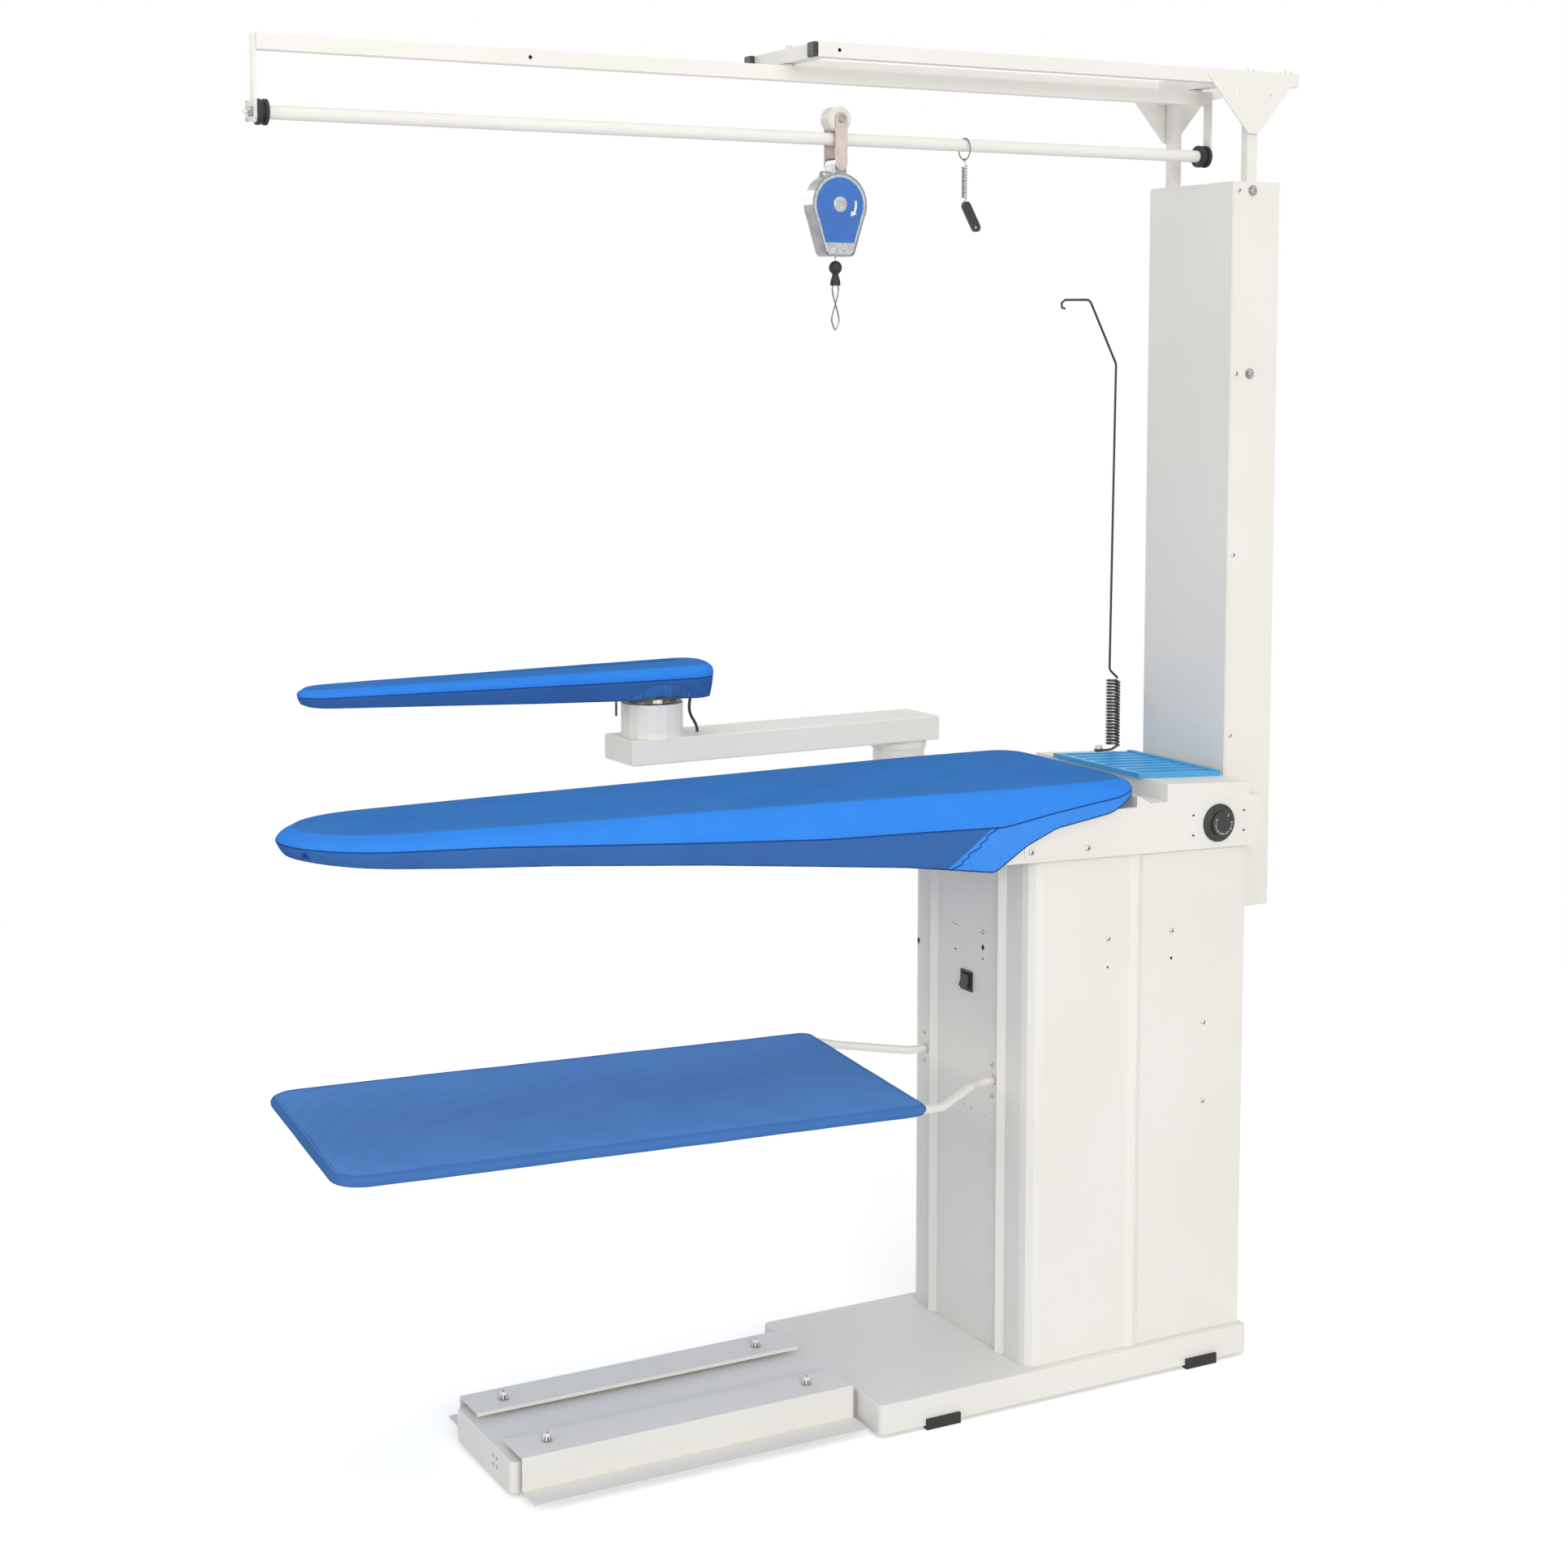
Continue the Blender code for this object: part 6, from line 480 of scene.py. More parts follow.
class Cover:
    """A padded cover's surface: where a point lies at a place along its outline and down its side."""

    def __init__(self, form, matrix):
        self.form, self.matrix = form, matrix
        self.plan = fine_plan(form)
        along = np.roll(self.plan, -1, axis=0) - np.roll(self.plan, 1, axis=0)
        self.normal = np.column_stack((along[:, 1], -along[:, 0]))
        self.normal /= np.linalg.norm(self.normal, axis=1)[:, None]
        share = np.clip((form["right"] - self.plan[:, 0]) / (form["right"] - form["nose"]), 0, 1)
        self.share = share
        self.top = form["top"] + share * form["rise"]
        self.seam = form["top"] - form["depth"] * np.interp(share, *zip(*form["seam_shares"]))
        self.hem = form["top"] - form["depth"] * np.interp(share, *zip(*form["hem_shares"]))
        self.draw = np.interp(share, *zip(*form["draw_shares"]))
        self.drawn = form["out"] - form["draw_in"] * self.draw
        steps = np.linalg.norm(np.diff(self.plan, axis=0, append=self.plan[:1]), axis=1)
        self.run = np.concatenate([[0], np.cumsum(steps)[:-1]])

    def ring(self, out, height):
        flat = self.plan + self.normal * np.reshape(np.ones(len(self.plan)) * out, (-1, 1))
        return [self.matrix @ Vector((x, y, z)) for (x, y), z in zip(flat, np.ones(len(self.plan)) * height)]

    def inward(self, share, edge_out, height):
        """Ring that runs from the edge in towards the board's spine."""
        form = self.form
        spine_x = np.clip(self.plan[:, 0], form["nose"] + form["spine"][0], form["right"] - form["spine"][1])
        edge = self.plan + self.normal * edge_out
        x = edge[:, 0] * (1 - share) + spine_x * share
        y = edge[:, 1] * (1 - share)
        return [self.matrix @ Vector((a, b, c)) for a, b, c in zip(x, y, np.ones(len(x)) * height)]

    def side(self, depth):
        """Outward distance and height down the side: 0 at the top edge, 1 at the seam, 2 at the hem."""
        out = self.form["out"]
        if depth <= 1:
            belly = BELLY * math.sin(math.pi * depth)
            distance = EDGE_OUT + (out - EDGE_OUT) * depth ** self.form["swell"] + belly
            high = self.top - EDGE_DROP
            return distance * np.ones(len(self.plan)), high - (high - self.seam) * depth
        down = depth - 1
        gathers = np.array([ripple(run / GATHER_LENGTH, GATHER_SEED) for run in self.run])
        drawn = (self.drawn - out) * down ** DRAW_CURVE
        distance = out + drawn + gathers * GATHER_DEPTH * down * self.draw
        return distance, self.seam + (self.hem - self.seam) * down

    def build(self, name, materials, body):
        """The cover's skin from the top's middle over edge, seam and hem to the lining inside."""
        form, out, seam = self.form, self.form["out"], self.seam
        rings, index = [], []
        for share in CROWN_SHARES:
            lift = form["crown"] * (1 - (1 - share) ** 2)
            waves = np.array([ripple(run / DIMPLE_LENGTH, share * DIMPLE_SEED) for run in self.run])
            dimple = waves * DIMPLE_DEPTH * (1 - share)
            rings.append(self.inward(share, -form["crown_inset"], self.top + lift + dimple))
            index.append(0)
        for edge, drop in EDGE_ROLL:
            rings.append(self.ring(edge, self.top - drop))
            index.append(0)
        # Band faces take the second cloth, painted light; skirt, hem and lining faces take the third, painted
        # shade.
        index[-1] = 1
        for depth in BAND_DEPTHS:
            rings.append(self.ring(*self.side(depth)))
            index.append(1)
        rings.append(self.ring(out - SEAM_TUCK, seam))
        index.append(2)
        for depth in SKIRT_DEPTHS:
            rings.append(self.ring(*self.side(depth)))
            index.append(2)
        rings.append(self.ring(self.drawn - HEM_CLOTH, self.hem + HEM_LIFT))
        rings.append(self.ring(out - LINING_IN, seam))
        rings.append(self.ring((out + EDGE_OUT) / 2 - LINING_MIDDLE_IN, (self.top + seam) / 2))
        rings.append(self.ring(0.0, self.top - form["pad"]))
        index += [2, 2, 2, 2]
        for share in INSIDE_SHARES:
            rings.append(self.inward(share, -PAD_INSET, self.top - form["pad"]))
            index.append(0)
        bm = bmesh.new()
        loops = skin(bm, rings, index)
        for loop in (loops[0], loops[-1]):
            bmesh.ops.contextual_create(bm, geom=loop)
        bmesh.ops.triangulate(bm, faces=[face for face in bm.faces if len(face.verts) > 4])
        return shown(name, bm, materials, body)

    def at(self, share, side, depth, lift=0.0):
        """A point on the side's surface, by its share of the length and the near (-1) or far (1) side."""
        on_side = [i for i in range(len(self.plan)) if self.plan[i, 1] * side > 0]
        i = min(on_side, key=lambda k: abs(self.share[k] - share))
        out, height = self.side(depth)
        spot = self.plan[i] + self.normal[i] * (out[i] + lift)
        return self.matrix @ Vector((spot[0], spot[1], height[i]))


# Threads lie this far inside the cloth's outer face
THREAD_SUNK = 0.0006
THIN_THREAD, MIDDLE_THREAD, THICK_THREAD = 0.0008, 0.0009, 0.0011
END_SEAM_START_SHARE = 0.203
END_SEAM_RUN_SHARE = 0.055
END_SEAM_STEPS = 12
END_SEAM_LIFT = 0.0002
KNOT_SHARE = 0.985
KNOT_DEPTH = 1.45
KNOT_LIFT = 0.0012
KNOT_HALF = (0.0032, 0.0008, 0.0028)
KNOT_POINTS = 60
TAIL_STEPS = ((0.005, 0.0002, -0.0045), (0.011, 0.002, -0.0065))


def thread(name, points, radius, body, closed=False):
    line_tube(name, points, radius, SEAM_THREAD_AND_PAINTED_SHADE, body, closed)


def dress_board():
    cover = Cover(BOARD, Matrix.Translation(SHIFT))
    piece = cover.build("board_cover_dressed", [TOP_CLOTH, PAINTED_LIGHT_BAND_CLOTH, PAINTED_SHADE_SKIRT_CLOTH], "machine")
    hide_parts("board_cover")
    seam = cover.ring(cover.form["out"] - THREAD_SUNK, cover.seam)
    thread("board_cover_seam", seam, MIDDLE_THREAD, "machine", True)
    for side, word in ((-1, "near"), (1, "far")):
        slanted = []
        for k in range(END_SEAM_STEPS + 1):
            down = k / END_SEAM_STEPS
            share = END_SEAM_START_SHARE + END_SEAM_RUN_SHARE * down
            slanted.append(cover.at(share, side, 1 + down, END_SEAM_LIFT))
        thread(f"board_end_seam_{word}", slanted, THIN_THREAD, "machine")
    hem = cover.ring(cover.drawn - THREAD_SUNK, cover.hem + THREAD_SUNK)
    thread("board_cover_hem", hem, THICK_THREAD, "machine", True)
    add_draw_cord(cover)


def add_draw_cord(cover):
    """The hem cord's knot at the board's nose, and its tail."""
    knot_at = cover.at(KNOT_SHARE, -1, KNOT_DEPTH, KNOT_LIFT)
    wide, deep, high = KNOT_HALF
    loops = [
        knot_at + Vector((wide * math.cos(3 * t), -deep * math.sin(2 * t), high * math.sin(2 * t + 0.6)))
        for t in np.linspace(0, 2 * math.pi, KNOT_POINTS)
    ]
    thread("draw_cord_knot", loops, THICK_THREAD, "machine", True)
    tail = smooth_line([knot_at] + [knot_at + Vector(step) for step in TAIL_STEPS])
    thread("draw_cord_tail", tail, MIDDLE_THREAD, "machine")


# Sleeve board on its arm
ARM_PIVOT = (-0.1110, 0.4770, 0)
ARM_TURN = math.radians(2)
CUP_X = -0.465
SLEEVE_TURN = math.radians(-7)


def arm_frame():
    return Matrix.Translation(on_machine(*ARM_PIVOT)) @ Matrix.Rotation(ARM_TURN, 4, "Z")


def dress_sleeve():
    cup = Matrix.Translation((CUP_X, 0, 0)) @ Matrix.Rotation(SLEEVE_TURN, 4, "Z")
    cover = Cover(SLEEVE, arm_frame() @ cup)
    piece = cover.build("sleeve_cover_dressed", [TOP_CLOTH, PAINTED_LIGHT_BAND_CLOTH, SLEEVE_SKIRT_PAINTED_SHADE_CLOTH], "sleeve_board")
    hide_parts("sleeve_cover")
    seam = cover.ring(cover.form["out"] - THREAD_SUNK, cover.seam)
    thread("sleeve_cover_seam", seam, THIN_THREAD, "sleeve_board", True)
    hem = cover.ring(cover.drawn - THREAD_SUNK, cover.hem + THREAD_SUNK)
    thread("sleeve_cover_hem", hem, MIDDLE_THREAD, "sleeve_board", True)
    for side, word in ((-1, "near"), (1, "far")):
        add_fold(cover, side, f"sleeve_cover_fold_{word}")


FOLD_SHARES = (0.045, 0.225)
FOLD_ACROSS = 40
FOLD_UP = 8
FOLD_PROUD = 0.0016
FOLD_BASE_DEPTH = 1.985
FOLD_ARCH_DEPTH = 0.72
FOLD_ARCH_CURVE = 0.8
FOLD_THICKNESS = 0.0005
OVER_SURFACE = 0.00005


def add_fold(cover, side, name):
    """The skirt's spare cloth over the cup, turned up in a low arch."""
    first, last = FOLD_SHARES
    bm = bmesh.new()
    grid = []
    for i in range(FOLD_ACROSS + 1):
        share = first + (last - first) * i / FOLD_ACROSS
        rise = math.sin(math.pi * i / FOLD_ACROSS) ** FOLD_ARCH_CURVE
        column = []
        for k in range(FOLD_UP + 1):
            depth = FOLD_BASE_DEPTH - FOLD_ARCH_DEPTH * rise * k / FOLD_UP
            lift = FOLD_PROUD * rise * (1 - (k / FOLD_UP) ** 3) + OVER_SURFACE
            column.append(bm.verts.new(cover.at(share, side, depth, lift)))
        grid.append(column)
    for left, right in zip(grid, grid[1:]):
        for k in range(FOLD_UP):
            bm.faces.new((left[k], right[k], right[k + 1], left[k + 1]))
    piece = shown(name, bm, [FOLD_CLOTH], "sleeve_board")
    thicken(piece, FOLD_THICKNESS, 0)


def thicken(piece, thickness, offset):
    cloth_layer = piece.modifiers.new("cloth", "SOLIDIFY")
    cloth_layer.thickness = thickness
    cloth_layer.offset = offset


# Lead between the sleeve board and its arm, its route measured from the cup's middle
LEAD_RADIUS = 0.0025
LEAD_ROUTE = (
    (0.0660, -0.006, 0.9816), (0.0657, -0.006, 0.9770), (0.0645, -0.006, 0.9700), (0.0637, -0.006, 0.9620),
    (0.0645, -0.006, 0.9540), (0.0675, -0.006, 0.9460), (0.0725, -0.006, 0.9380), (0.0765, -0.006, 0.9300),
    (0.0780, -0.006, 0.9230), (0.0780, -0.006, 0.9130)
)


def add_lead():
    arm = arm_frame()
    points = smooth_line([arm @ Vector((CUP_X + x, y, z)) for x, y, z in LEAD_ROUTE], 3)
    piece = line_tube("sleeve_lead", points, LEAD_RADIUS, FINISHES["wire_coating"], "arm")
    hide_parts("sleeve_cable")


# Tray: one cloth bag pulled over the bent tube, open towards the cabinet
TRAY_PLACE = (-0.870, 0.025, 0.4791)
TRAY_TURNS = ((-4.2, "Z"), (0.45, "Y"), (0.9, "X"))
TRAY_HALF_LENGTH = 0.419
TRAY_HALF_WIDTH = 0.2025
TRAY_HALF_THICK = 0.0081
TRAY_BEND_RADIUS = 0.040
TRAY_MOUTH_RADIUS = 0.016
TRAY_MOUTH_DEPTH = 0.004
TRAY_MOUTH_SHARE = 0.8
TRAY_POINTS = 260
TRAY_SHARES = (0.98, 0.85, 0.7, 0.55, 0.4, 0.28, 0.18, 0.11)
TRAY_TOP_SAG = 0.0030
TRAY_UNDER_SAG = 0.0026
TRAY_WAVE_LENGTH = 0.05
TRAY_WAVE_DEPTH = 0.0004
TRAY_WAVE_SEED = 5
TRAY_CLOTH_THICKNESS = 0.0012
STITCH_SHARE = 0.045
STITCH_SUNK = 0.0001
STITCH_RADIUS = 0.0003


def tray_outline():
    long, wide, mouth, bend = TRAY_HALF_LENGTH, TRAY_HALF_WIDTH, TRAY_MOUTH_RADIUS, TRAY_BEND_RADIUS
    return (
        corner_arc((long - mouth, -wide + mouth), mouth, 270, 360, 6)
        + corner_arc((long - mouth, wide - mouth), mouth, 0, 90, 6)
        + corner_arc((-long + bend, wide - bend), bend, 90, 180, 10)
        + corner_arc((-long + bend, -wide + bend), bend, 180, 270, 10)
    )


def dress_tray():
    matrix = Matrix.Translation(on_machine(*TRAY_PLACE))
    for degrees, axis in TRAY_TURNS:
        matrix = matrix @ Matrix.Rotation(math.radians(degrees), 4, axis)
    plan, even = even_loop(tray_outline(), TRAY_POINTS)
    end = TRAY_HALF_LENGTH - TRAY_HALF_WIDTH
    spine = np.column_stack([np.clip(plan[:, 0], -end, end), plan[:, 1] * 0])

    def ring(inward, height, sag=0.0):
        flat = plan * (1 - inward) + spine * inward
        waves = np.array([ripple(run / TRAY_WAVE_LENGTH, inward * TRAY_WAVE_SEED) for run in even])
        waves = waves * TRAY_WAVE_DEPTH * (1 - inward)
        return [matrix @ Vector((x, y, height - sag + wave)) for (x, y), wave in zip(flat, waves)]

    thick = TRAY_HALF_THICK
    rings = [ring(share, thick, TRAY_TOP_SAG * (1 - (1 - share) ** 2)) for share in TRAY_SHARES]
    angles = np.radians(range(75, -76, -15))
    for angle in angles:
        rings.append(ring(thick * (1 - math.cos(angle)) / TRAY_HALF_WIDTH, thick * math.sin(angle)))
    for share in reversed(TRAY_SHARES):
        rings.append(ring(share, -thick, TRAY_UNDER_SAG * (1 - (1 - share) ** 2)))
    # Rim faces take the darker edge cloth, painted shade; flat faces take the tray cloth.
    flat_faces = [0] * len(TRAY_SHARES)
    bm = bmesh.new()
    loops = skin(bm, rings, flat_faces + [1] * (len(angles) - 1) + flat_faces)
    for loop in (loops[0], loops[-1]):
        bmesh.ops.contextual_create(bm, geom=loop)
    bmesh.ops.triangulate(bm, faces=[face for face in bm.faces if len(face.verts) > 4])
    bmesh.ops.delete(bm, geom=mouth_faces(bm, matrix.inverted()), context="FACES")
    piece = shown("tray_cloth_dressed", bm, [TRAY_CLOTH, TRAY_EDGE_PAINTED_SHADE_CLOTH], "machine")
    thicken(piece, TRAY_CLOTH_THICKNESS, -1)
    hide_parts("tray_cloth")
    stitches = plan * (1 - STITCH_SHARE) + spine * STITCH_SHARE
    stitch = [matrix @ Vector((x, y, thick - STITCH_SUNK)) for x, y in stitches]
    line_tube("tray_stitching", stitch, STITCH_RADIUS, TRAY_EDGE_PAINTED_SHADE_CLOTH, "machine", True)


def mouth_faces(bm, back):
    """The faces that close the bag's end at the cabinet."""
    wide = TRAY_HALF_WIDTH - TRAY_MOUTH_RADIUS
    high = TRAY_HALF_THICK * TRAY_MOUTH_SHARE
    found = []
    for face in bm.faces:
        spot = back @ face.calc_center_median()
        if spot.x > TRAY_HALF_LENGTH - TRAY_MOUTH_DEPTH and abs(spot.y) < wide and abs(spot.z) < high:
            found.append(face)
    return found


# Small hardware over the solids' plain heads
PAN_RADIUS, LARGE_PAN_RADIUS = 0.0037, 0.0047
PAN_HEIGHT = 0.0022
SLOT_LIFT = 0.00006


def pan_head(bm, place, outward, radius=PAN_RADIUS):
    """Rounded screw head with a crossed slot drawn as dark sheets: painted shade in place of a recess."""
    height = PAN_HEIGHT
    rings = [(radius, 0.0), (radius, height * 0.35), (radius * 0.92, height * 0.75), (radius * 0.62, height),
             (radius * 0.40, height), (0, height)]
    lathe(bm, place, outward, rings, 24)
    outward = Vector(outward)
    first = outward.orthogonal().normalized()
    middle = Vector(place) + outward * (height + SLOT_LIFT)
    for along in (first, outward.cross(first)):
        across = outward.cross(along)
        corners = []
        for a, b in ((-1, -1), (1, -1), (1, 1), (-1, 1)):
            corners.append(bm.verts.new(middle + along * a * radius * 0.5 + across * b * radius * 0.12))
        bm.faces.new(corners).material_index = 1


def hex_head(bm, place, outward, washer=0.0082, flats=0.0083, base=0.0014, height=0.0060):
    """Hexagon head, or nut, on its round washer."""
    corner = flats / 2 / math.cos(math.pi / 6)
    rings = [(corner, base), (corner, height * 0.86), (corner * 0.86, height), (0, height)]
    lathe(bm, place, outward, [(washer, 0), (washer, base * 0.7), (washer * 0.95, base), (0, base)], 28)
    lathe(bm, place, outward, rings, 6)


ACORN_WASHER_RINGS = ((0.0078, 0.0001), (0.0078, 0.0009), (0, 0.0009))
ACORN_FLATS = 0.0102
ACORN_BASE, ACORN_CHAMFER, ACORN_TOP = 0.0009, 0.0057, 0.0063
DOME_RADIUS, DOME_BASE, DOME_RISE, DOME_TOP = 0.0043, 0.0062, 0.0058, 0.0121


def acorn(bm, place):
    """Domed nut on its washer."""
    up = (0, 0, 1)
    corner = ACORN_FLATS / 2 / math.cos(math.pi / 6)
    flats = [(corner, ACORN_BASE), (corner, ACORN_CHAMFER), (corner * 0.86, ACORN_TOP), (0, ACORN_TOP)]
    dome = [(DOME_RADIUS * math.cos(a), DOME_BASE + DOME_RISE * math.sin(a))
            for a in np.radians((0, 20, 40, 60, 76))]
    lathe(bm, place, up, ACORN_WASHER_RINGS, 28)
    lathe(bm, place, up, flats, 6)
    lathe(bm, place, up, dome + [(0, DOME_TOP)], 24)


# Faces that carry the hardware, and the places on them
CABINET_FRONT = -0.273
CABINET_SIDE = -0.163
CABINET_SIDE_SCREWS = ((-0.137, 0.6705), (-0.0225, 0.6705), (0.039, 0.5245), (0.039, 0.404))
CABINET_FRONT_SCREWS = (
    (0.0375, 0.670), (-0.038, 0.6705), (0.125, 0.481), (0.125, 0.4368), (-0.066, 0.4765), (-0.066, 0.4295)
)
FRONT_HOLES = (
    (-0.038, 0.6465, 0.0035), (-0.038, 0.630, 0.0016), (0.0375, 0.630, 0.0015), (0.144, 0.621, 0.0036)
)
SIDE_HOLE = (-0.0225, 0.6295, 0.0021)
HEAD_SIDE = -0.1735
HEAD_SCREWS = ((-0.2796, 0.8131), (-0.182, 0.8106))
DIAL_FACE = -0.1720
DIAL_X, DIAL_HEIGHT = 0.0542, 0.8271
DIAL_HOLE_ACROSS, DIAL_HOLE_UP, DIAL_HOLE_RADIUS = 0.047, 0.015, 0.0013
COLUMN_SIDE = 0.102
COLUMN_SCREW_X = 0.1285
COLUMN_SCREW_HEIGHTS = (1.7635, 1.4912, 1.2187, 0.9435)
POST_BOLT_X = 0.1538
FRAME_BOLT_XS = (POST_BOLT_X, 0.2244)
FRAME_BOLT_Y = 0.0925
FRAME_TOP = 1.9395
BEAM_BOLT_XS = (-0.5785, 0.125)
BEAM_TOP = 1.9388
FRAME_WASHER, FRAME_WASHER_HEIGHT = 0.0066, 0.0013
PEDAL_STUD_XS = (-0.992, -0.592)
PEDAL_STUD_Y = 0.078
PEDAL_NUT_BASE = 0.0588
WIRE_BOLT = (0.060, 0.142, 0.8951)
WIRE_BOLT_FLATS, WIRE_BOLT_HEIGHT = 0.0102, 0.0054
HOLE_DEPTH, HOLE_LIP = 0.0004, 0.00025


def add_hardware():
    add_screws()
    add_bolts()
    bm = bmesh.new()
    for x in PEDAL_STUD_XS:
        for side in (-1, 1):
            acorn(bm, on_machine(x, side * PEDAL_STUD_Y, PEDAL_NUT_BASE))
    shown("acorn_nuts", bm, [FINISHES["bright_steel"]], "machine", False)
    bm = bmesh.new()
    hex_head(bm, on_machine(*WIRE_BOLT), (0, 0, 1), FRAME_WASHER, WIRE_BOLT_FLATS, height=WIRE_BOLT_HEIGHT)
    shown("wire_foot_bolt", bm, [FINISHES["screw_zinc"]], "machine", False)
    add_spare_holes()


def add_screws():
    bm = bmesh.new()
    for x, z in CABINET_SIDE_SCREWS:
        pan_head(bm, on_machine(x, CABINET_SIDE, z), (0, -1, 0))
    for y, z in CABINET_FRONT_SCREWS:
        pan_head(bm, on_machine(CABINET_FRONT, y, z), (-1, 0, 0))
    for x, z in HEAD_SCREWS:
        pan_head(bm, on_machine(x, HEAD_SIDE, z), (0, -1, 0), LARGE_PAN_RADIUS)
    for side in (-1, 1):
        for z in COLUMN_SCREW_HEIGHTS:
            pan_head(bm, on_machine(COLUMN_SCREW_X, side * COLUMN_SIDE, z), (0, side, 0))
    shown("pan_screws", bm, [FINISHES["screw_zinc"], SLOT_PAINTED_SHADE], "machine", False)


def add_bolts():
    up = (0, 0, 1)
    bm = bmesh.new()
    for side in (-1, 1):
        for z in COLUMN_SCREW_HEIGHTS[:2]:
            hex_head(bm, on_machine(POST_BOLT_X, side * COLUMN_SIDE, z), (0, side, 0))
        for x in FRAME_BOLT_XS:
            place = on_machine(x, side * FRAME_BOLT_Y, FRAME_TOP)
            hex_head(bm, place, up, FRAME_WASHER, base=FRAME_WASHER_HEIGHT)
    for x in BEAM_BOLT_XS:
        hex_head(bm, on_machine(x, 0, BEAM_TOP), up, FRAME_WASHER, base=FRAME_WASHER_HEIGHT)
    shown("hex_bolts", bm, [FINISHES["bright_steel"]], "machine", False)


def add_spare_holes():
    """Near-black discs in the spare holes of cabinet and head: painted shade for their dark insides."""
    bm = bmesh.new()

    def hole(place, outward, radius):
        rings = [(0, -HOLE_DEPTH), (radius, -HOLE_DEPTH), (radius, HOLE_LIP), (0, HOLE_LIP)]
        lathe(bm, place, outward, rings, 20)

    for y, z, radius in FRONT_HOLES:
        hole(on_machine(CABINET_FRONT, y, z), (-1, 0, 0), radius)
    x, z, radius = SIDE_HOLE
    hole(on_machine(x, CABINET_SIDE, z), (0, -1, 0), radius)
    for across in (-DIAL_HOLE_ACROSS, DIAL_HOLE_ACROSS):
        for up in (-DIAL_HOLE_UP, DIAL_HOLE_UP):
            place = on_machine(DIAL_X + across, HEAD_SIDE, DIAL_HEIGHT + up)
            hole(place, (0, -1, 0), DIAL_HOLE_RADIUS)
    shown("spare_holes", bm, [HOLE_PAINTED_SHADE], "machine", False)


# Dial: finer knob with its marks
DISC_RINGS = (
    (0.0284, 0.0003), (0.0285, 0.0018), (0.0280, 0.0026), (0.0196, 0.0049), (0.0190, 0.0052)
)
GRIP_RADIUS = 0.0190
GRIP_RINGS = ((0.0052, 1.0), (0.0115, 1.0), (0.0126, 0.975), (0.0130, 0.93))
GRIP_POINTS = 144
GRIP_GROOVE_SHARE = 0.018
MARK_HEIGHT = 0.01312
MARKS = 19
MARK_START, MARK_STEP = 150, 12
LONG_MARK = (0.0130, 0.0164, 0.0005)
SHORT_MARK = (0.0136, 0.0160, 0.00035)
POINTER_ANGLE = 58
POINTER = (0.0125, 0.0172, 0.0005)


def dress_dial():
    hub = on_machine(DIAL_X, DIAL_FACE, DIAL_HEIGHT)
    outward = (0, -1, 0)
    bm = bmesh.new()
    lathe(bm, hub, outward, DISC_RINGS, 72)
    turn = Vector((0, 0, 1)).rotation_difference(Vector(outward)).to_matrix()

    def grip(height, scale):
        ring = []
        for k in range(GRIP_POINTS):
            radius = GRIP_RADIUS * scale * (1 - GRIP_GROOVE_SHARE * (k % 4 < 2))
            angle = 2 * math.pi * k / GRIP_POINTS
            ring.append(hub + turn @ Vector((radius * math.cos(angle), radius * math.sin(angle), height)))
        return ring

    loops = skin(bm, [grip(height, scale) for height, scale in GRIP_RINGS], [0] * 3)
    bmesh.ops.contextual_create(bm, geom=loops[-1])
    piece = shown("dial_knob_dressed", bm, [FINISHES["black_plastic"]], "dial", False)
    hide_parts("dial_knob")
    bm = bmesh.new()
    for k in range(MARKS):
        dial_mark(bm, hub, MARK_START + MARK_STEP * k, *(SHORT_MARK if k % 3 else LONG_MARK))
    dial_mark(bm, hub, POINTER_ANGLE, *POINTER)
    shown("dial_marks", bm, [WHITE_PRINT], "dial", False)


def dial_mark(bm, hub, degrees, inner, outer, half):
    """A flat radial line printed on the knob's face."""
    angle = math.radians(degrees)
    along = Vector((math.cos(angle), 0, math.sin(angle)))
    across = Vector((-math.sin(angle), 0, math.cos(angle)))
    corners = [hub + Vector((0, -MARK_HEIGHT, 0)) + along * r + across * w * half
               for r, w in ((inner, -1), (outer, -1), (outer, 1), (inner, 1))]
    bm.faces.new([bm.verts.new(corner) for corner in corners])


# Balancer's front: blue label with a plain arrow, boss and rivets
def plate(bm, outline, place, thick):
    """Flat plate facing -Y, from an outline of (x, z) pairs."""
    sheets = []
    for back in (0.0, -thick):
        sheets.append([bm.verts.new(place + Vector((x, back, z))) for x, z in outline])
        bm.faces.new(sheets[-1])
    for k in range(len(outline)):
        after = (k + 1) % len(outline)
        bm.faces.new((sheets[0][k], sheets[0][after], sheets[1][after], sheets[1][k]))


BALANCER_FACE = (-0.5040, -0.0130, 1.729)
LABEL_RADIUS = 0.0375
LABEL_FOOT_X, LABEL_FOOT_Z = 0.0226, -0.0535
LABEL_FILM, ARROW_FILM = 0.0004, 0.0001
RIVET_RINGS = ((0.0026, 0), (0.0022, 0.0008), (0.0012, 0.0013), (0, 0.0014))
RIVET_X, RIVET_DROP = 0.0075, 0.0620
BOSS_RINGS = (
    (0.0100, 0), (0.0100, 0.0006), (0.0090, 0.0012), (0.0054, 0.0013), (0.0046, 0.0006), (0, 0.0006)
)
BOSS_LIFT = 0.001
ARROW_OUTER, ARROW_INNER = 0.0272, 0.0238
ARROW_ANGLES = (12, -26)
ARROW_STEPS = 10
ARROW_TIP_ANGLE = -44
ARROW_HEAD_RADII = (0.0302, 0.0236, 0.0204)


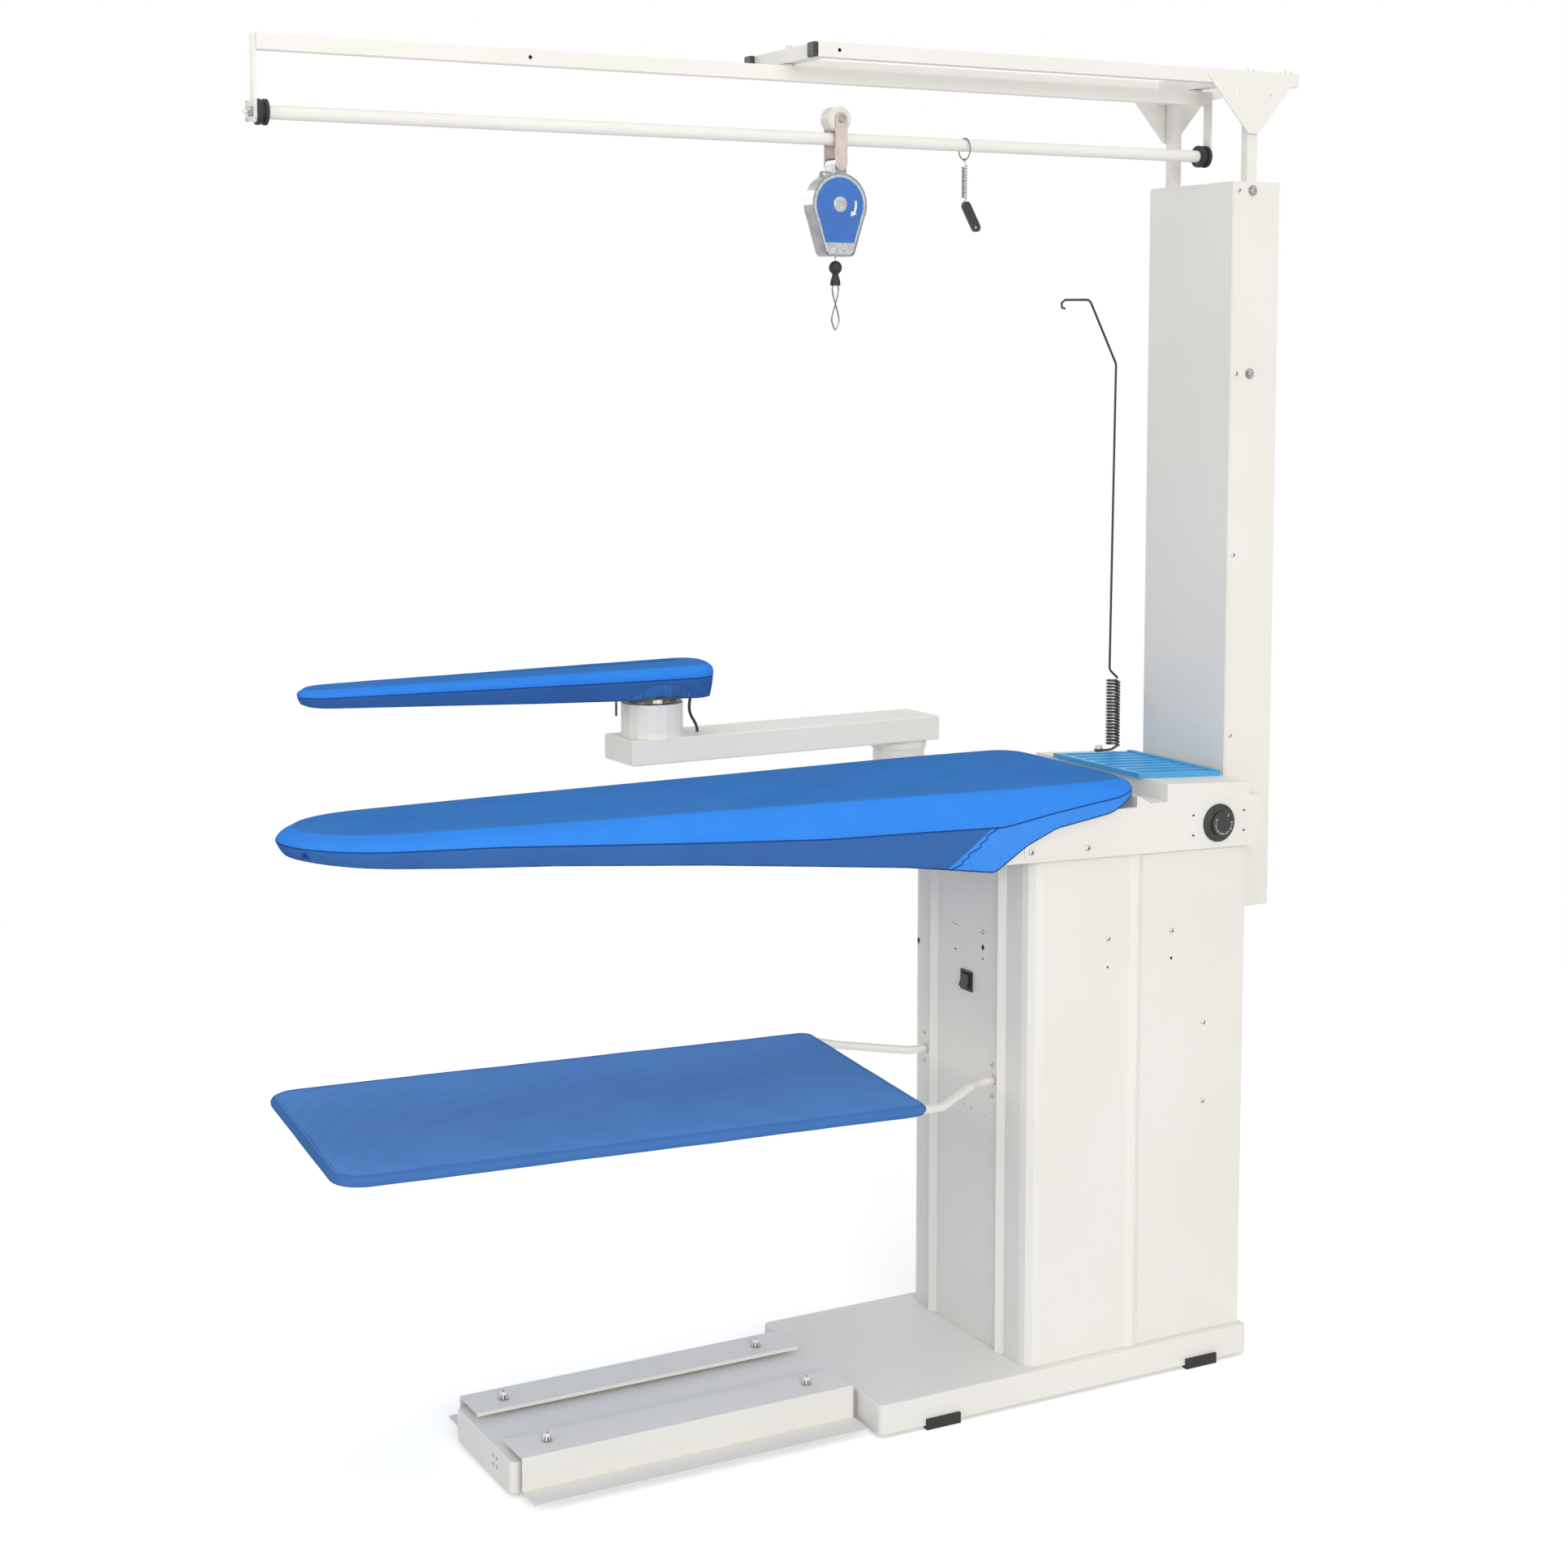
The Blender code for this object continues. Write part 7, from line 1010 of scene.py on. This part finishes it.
def dress_balancer():
    middle = on_machine(*BALANCER_FACE)
    reach = math.hypot(LABEL_FOOT_X, LABEL_FOOT_Z)
    low = math.degrees(math.atan2(LABEL_FOOT_Z, LABEL_FOOT_X) + math.acos(LABEL_RADIUS / reach))
    feet = [(-LABEL_FOOT_X, LABEL_FOOT_Z), (LABEL_FOOT_X, LABEL_FOOT_Z)]
    bm = bmesh.new()
    plate(bm, corner_arc((0, 0), LABEL_RADIUS, low, 180 - low, 48) + feet, middle, LABEL_FILM)
    shown("balancer_label", bm, [FINISHES["label_blue"]], "balancer", False)
    bm = bmesh.new()
    for x in (-RIVET_X, RIVET_X):
        lathe(bm, middle + Vector((x, 0, -RIVET_DROP)), (0, -1, 0), RIVET_RINGS, 20)
    lathe(bm, middle + Vector((0, -BOSS_LIFT, 0)), (0, -1, 0), BOSS_RINGS, 40)
    shown("balancer_boss", bm, [FINISHES["cast_silver"]], "balancer", False)
    bm = bmesh.new()
    plate(bm, arrow_outline(), middle + Vector((0, -LABEL_FILM, 0)), ARROW_FILM)
    shown("balancer_arrow", bm, [WHITE_PRINT], "balancer", False)


def arrow_outline():
    """Bent arrow, pointing clockwise, as (x, z) pairs round the balancer's middle."""
    turn = [math.radians(a) for a in np.linspace(*ARROW_ANGLES, ARROW_STEPS)]
    head = zip(ARROW_HEAD_RADII, (turn[-1], math.radians(ARROW_TIP_ANGLE), turn[-1]))
    spots = [(ARROW_OUTER, a) for a in turn] + list(head) + [(ARROW_INNER, a) for a in reversed(turn)]
    return [(r * math.cos(a), r * math.sin(a)) for r, a in spots]


# Solids that show: each gets its slot's finish, a few a finer one of their own
OWN_FINISH = {
    "balancer_cover": "cast_silver", "balancer_case": "case_polished", "balancer_hook": "spring_steel",
    "key_ring": "spring_steel", "hanger_spring": "spring_steel", "sleeve_spigot": "ring_dark",
    "sleeve_tub": "ring_dark"
}


def dress_nodes():
    for thing in bpy.data.objects:
        if "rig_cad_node" not in thing:
            continue
        own = OWN_FINISH.get(thing.name)
        for slot in thing.material_slots:
            slot.material = FINISHES.get(own or slot.material.name.split(".")[0], TRAY_CLOTH)


# Floor, light and background
FLOOR_HALF = 60
FLOOR_GLOW = 0.42
FADE_FROM, FADE_TO = 1.4, 3.6
ROOM_LIGHT = 0.48
LAMP_COLOUR = (1.0, 0.988, 0.968)
LAMPS = (
    ("key_front", (-1.4, -8.4, 3.45), (0.1, 0, 0.9), (4.8, 3.9), 338),
    ("fill_left", (-5.2, -1.4, 2.6), (0, 0, 0.9), (2.6, 2.6), 38),
    ("top_soft", (0.2, -0.6, 4.6), (0, -0.1, 0.8), (3.0, 3.0), 32),
    ("fill_back", (-1.9, 5.8, 3.4), (0, 0, 0.9), (3.0, 2.6), 56),
)


def larger(tree, first, second):
    return node(tree, "Math", {0: first, 1: second}, operation="MAXIMUM").outputs[0]


def add_floor():
    bm = bmesh.new()
    bmesh.ops.create_grid(bm, x_segments=1, y_segments=1, size=FLOOR_HALF)
    mesh = bpy.data.meshes.new("floor")
    bm.to_mesh(mesh)
    bm.free()
    floor = bpy.data.objects.new("floor", mesh)
    scene.collection.objects.link(floor)
    material = bpy.data.materials.new("floor_pale")
    material.use_nodes = True
    tree = material.node_tree
    tree.nodes.clear()
    where = node(tree, "TexCoord").outputs["Object"]
    pale = ramp(tree, noise(tree, where, 2.0), srgb(240, 240, 240), srgb(243, 243, 243))
    matt = node(tree, "BsdfDiffuse", {"Color": pale})
    glow = node(tree, "Emission", {"Color": (1, 1, 1, 1), "Strength": FLOOR_GLOW})
    lit = node(tree, "AddShader", {0: matt.outputs[0], 1: glow.outputs[0]})
    away = node(tree, "VectorMath", {0: where}, operation="LENGTH").outputs["Value"]
    ends = {"From Min": FADE_FROM, "From Max": FADE_TO}
    fade = node(tree, "MapRange", {"Value": away, **ends}, interpolation_type="SMOOTHSTEP")
    white = node(tree, "Emission", {"Color": (1, 1, 1, 1), "Strength": 1.0})
    faded = node(tree, "MixShader", {"Fac": fade.outputs[0], 1: lit.outputs[0], 2: white.outputs[0]})
    ray = node(tree, "LightPath")
    seen = larger(tree, ray.outputs["Is Camera Ray"], ray.outputs["Is Glossy Ray"])
    final = node(tree, "MixShader", {"Fac": seen, 1: matt.outputs[0], 2: faded.outputs[0]})
    output = node(tree, "OutputMaterial", {"Surface": final.outputs[0]})
    output.is_active_output = True
    floor.data.materials.append(material)


def add_light(name, place, target, size, power):
    data = bpy.data.lights.new(name, "AREA")
    data.shape = "RECTANGLE"
    data.size, data.size_y = size
    data.energy = power
    data.color = LAMP_COLOUR
    lamp = bpy.data.objects.new(name, data)
    lamp.location = place
    lamp.rotation_euler = (Vector(target) - Vector(place)).to_track_quat("-Z", "Y").to_euler()
    scene.collection.objects.link(lamp)


def light_scene():
    world = bpy.data.worlds.new("studio")
    scene.world = world
    world.use_nodes = True
    tree = world.node_tree
    tree.nodes.clear()
    ray = node(tree, "LightPath")
    seen = larger(tree, ray.outputs["Is Camera Ray"], ray.outputs["Is Glossy Ray"])
    clear = larger(tree, seen, ray.outputs["Is Transmission Ray"])
    strength = node(tree, "MapRange", {"Value": clear, "To Min": ROOM_LIGHT, "To Max": 1.0})
    sky = node(tree, "Background", {"Color": (1, 1, 1, 1), "Strength": strength.outputs[0]})
    node(tree, "OutputWorld", {"Surface": sky.outputs[0]})
    for lamp in LAMPS:
        add_light(*lamp)
    scene.view_settings.view_transform = "Standard"


place_camera()
add_lead()
dress_board()
dress_sleeve()
dress_tray()
add_hardware()
dress_dial()
dress_balancer()
dress_nodes()
add_floor()
light_scene()

bpy.context.view_layer.update()
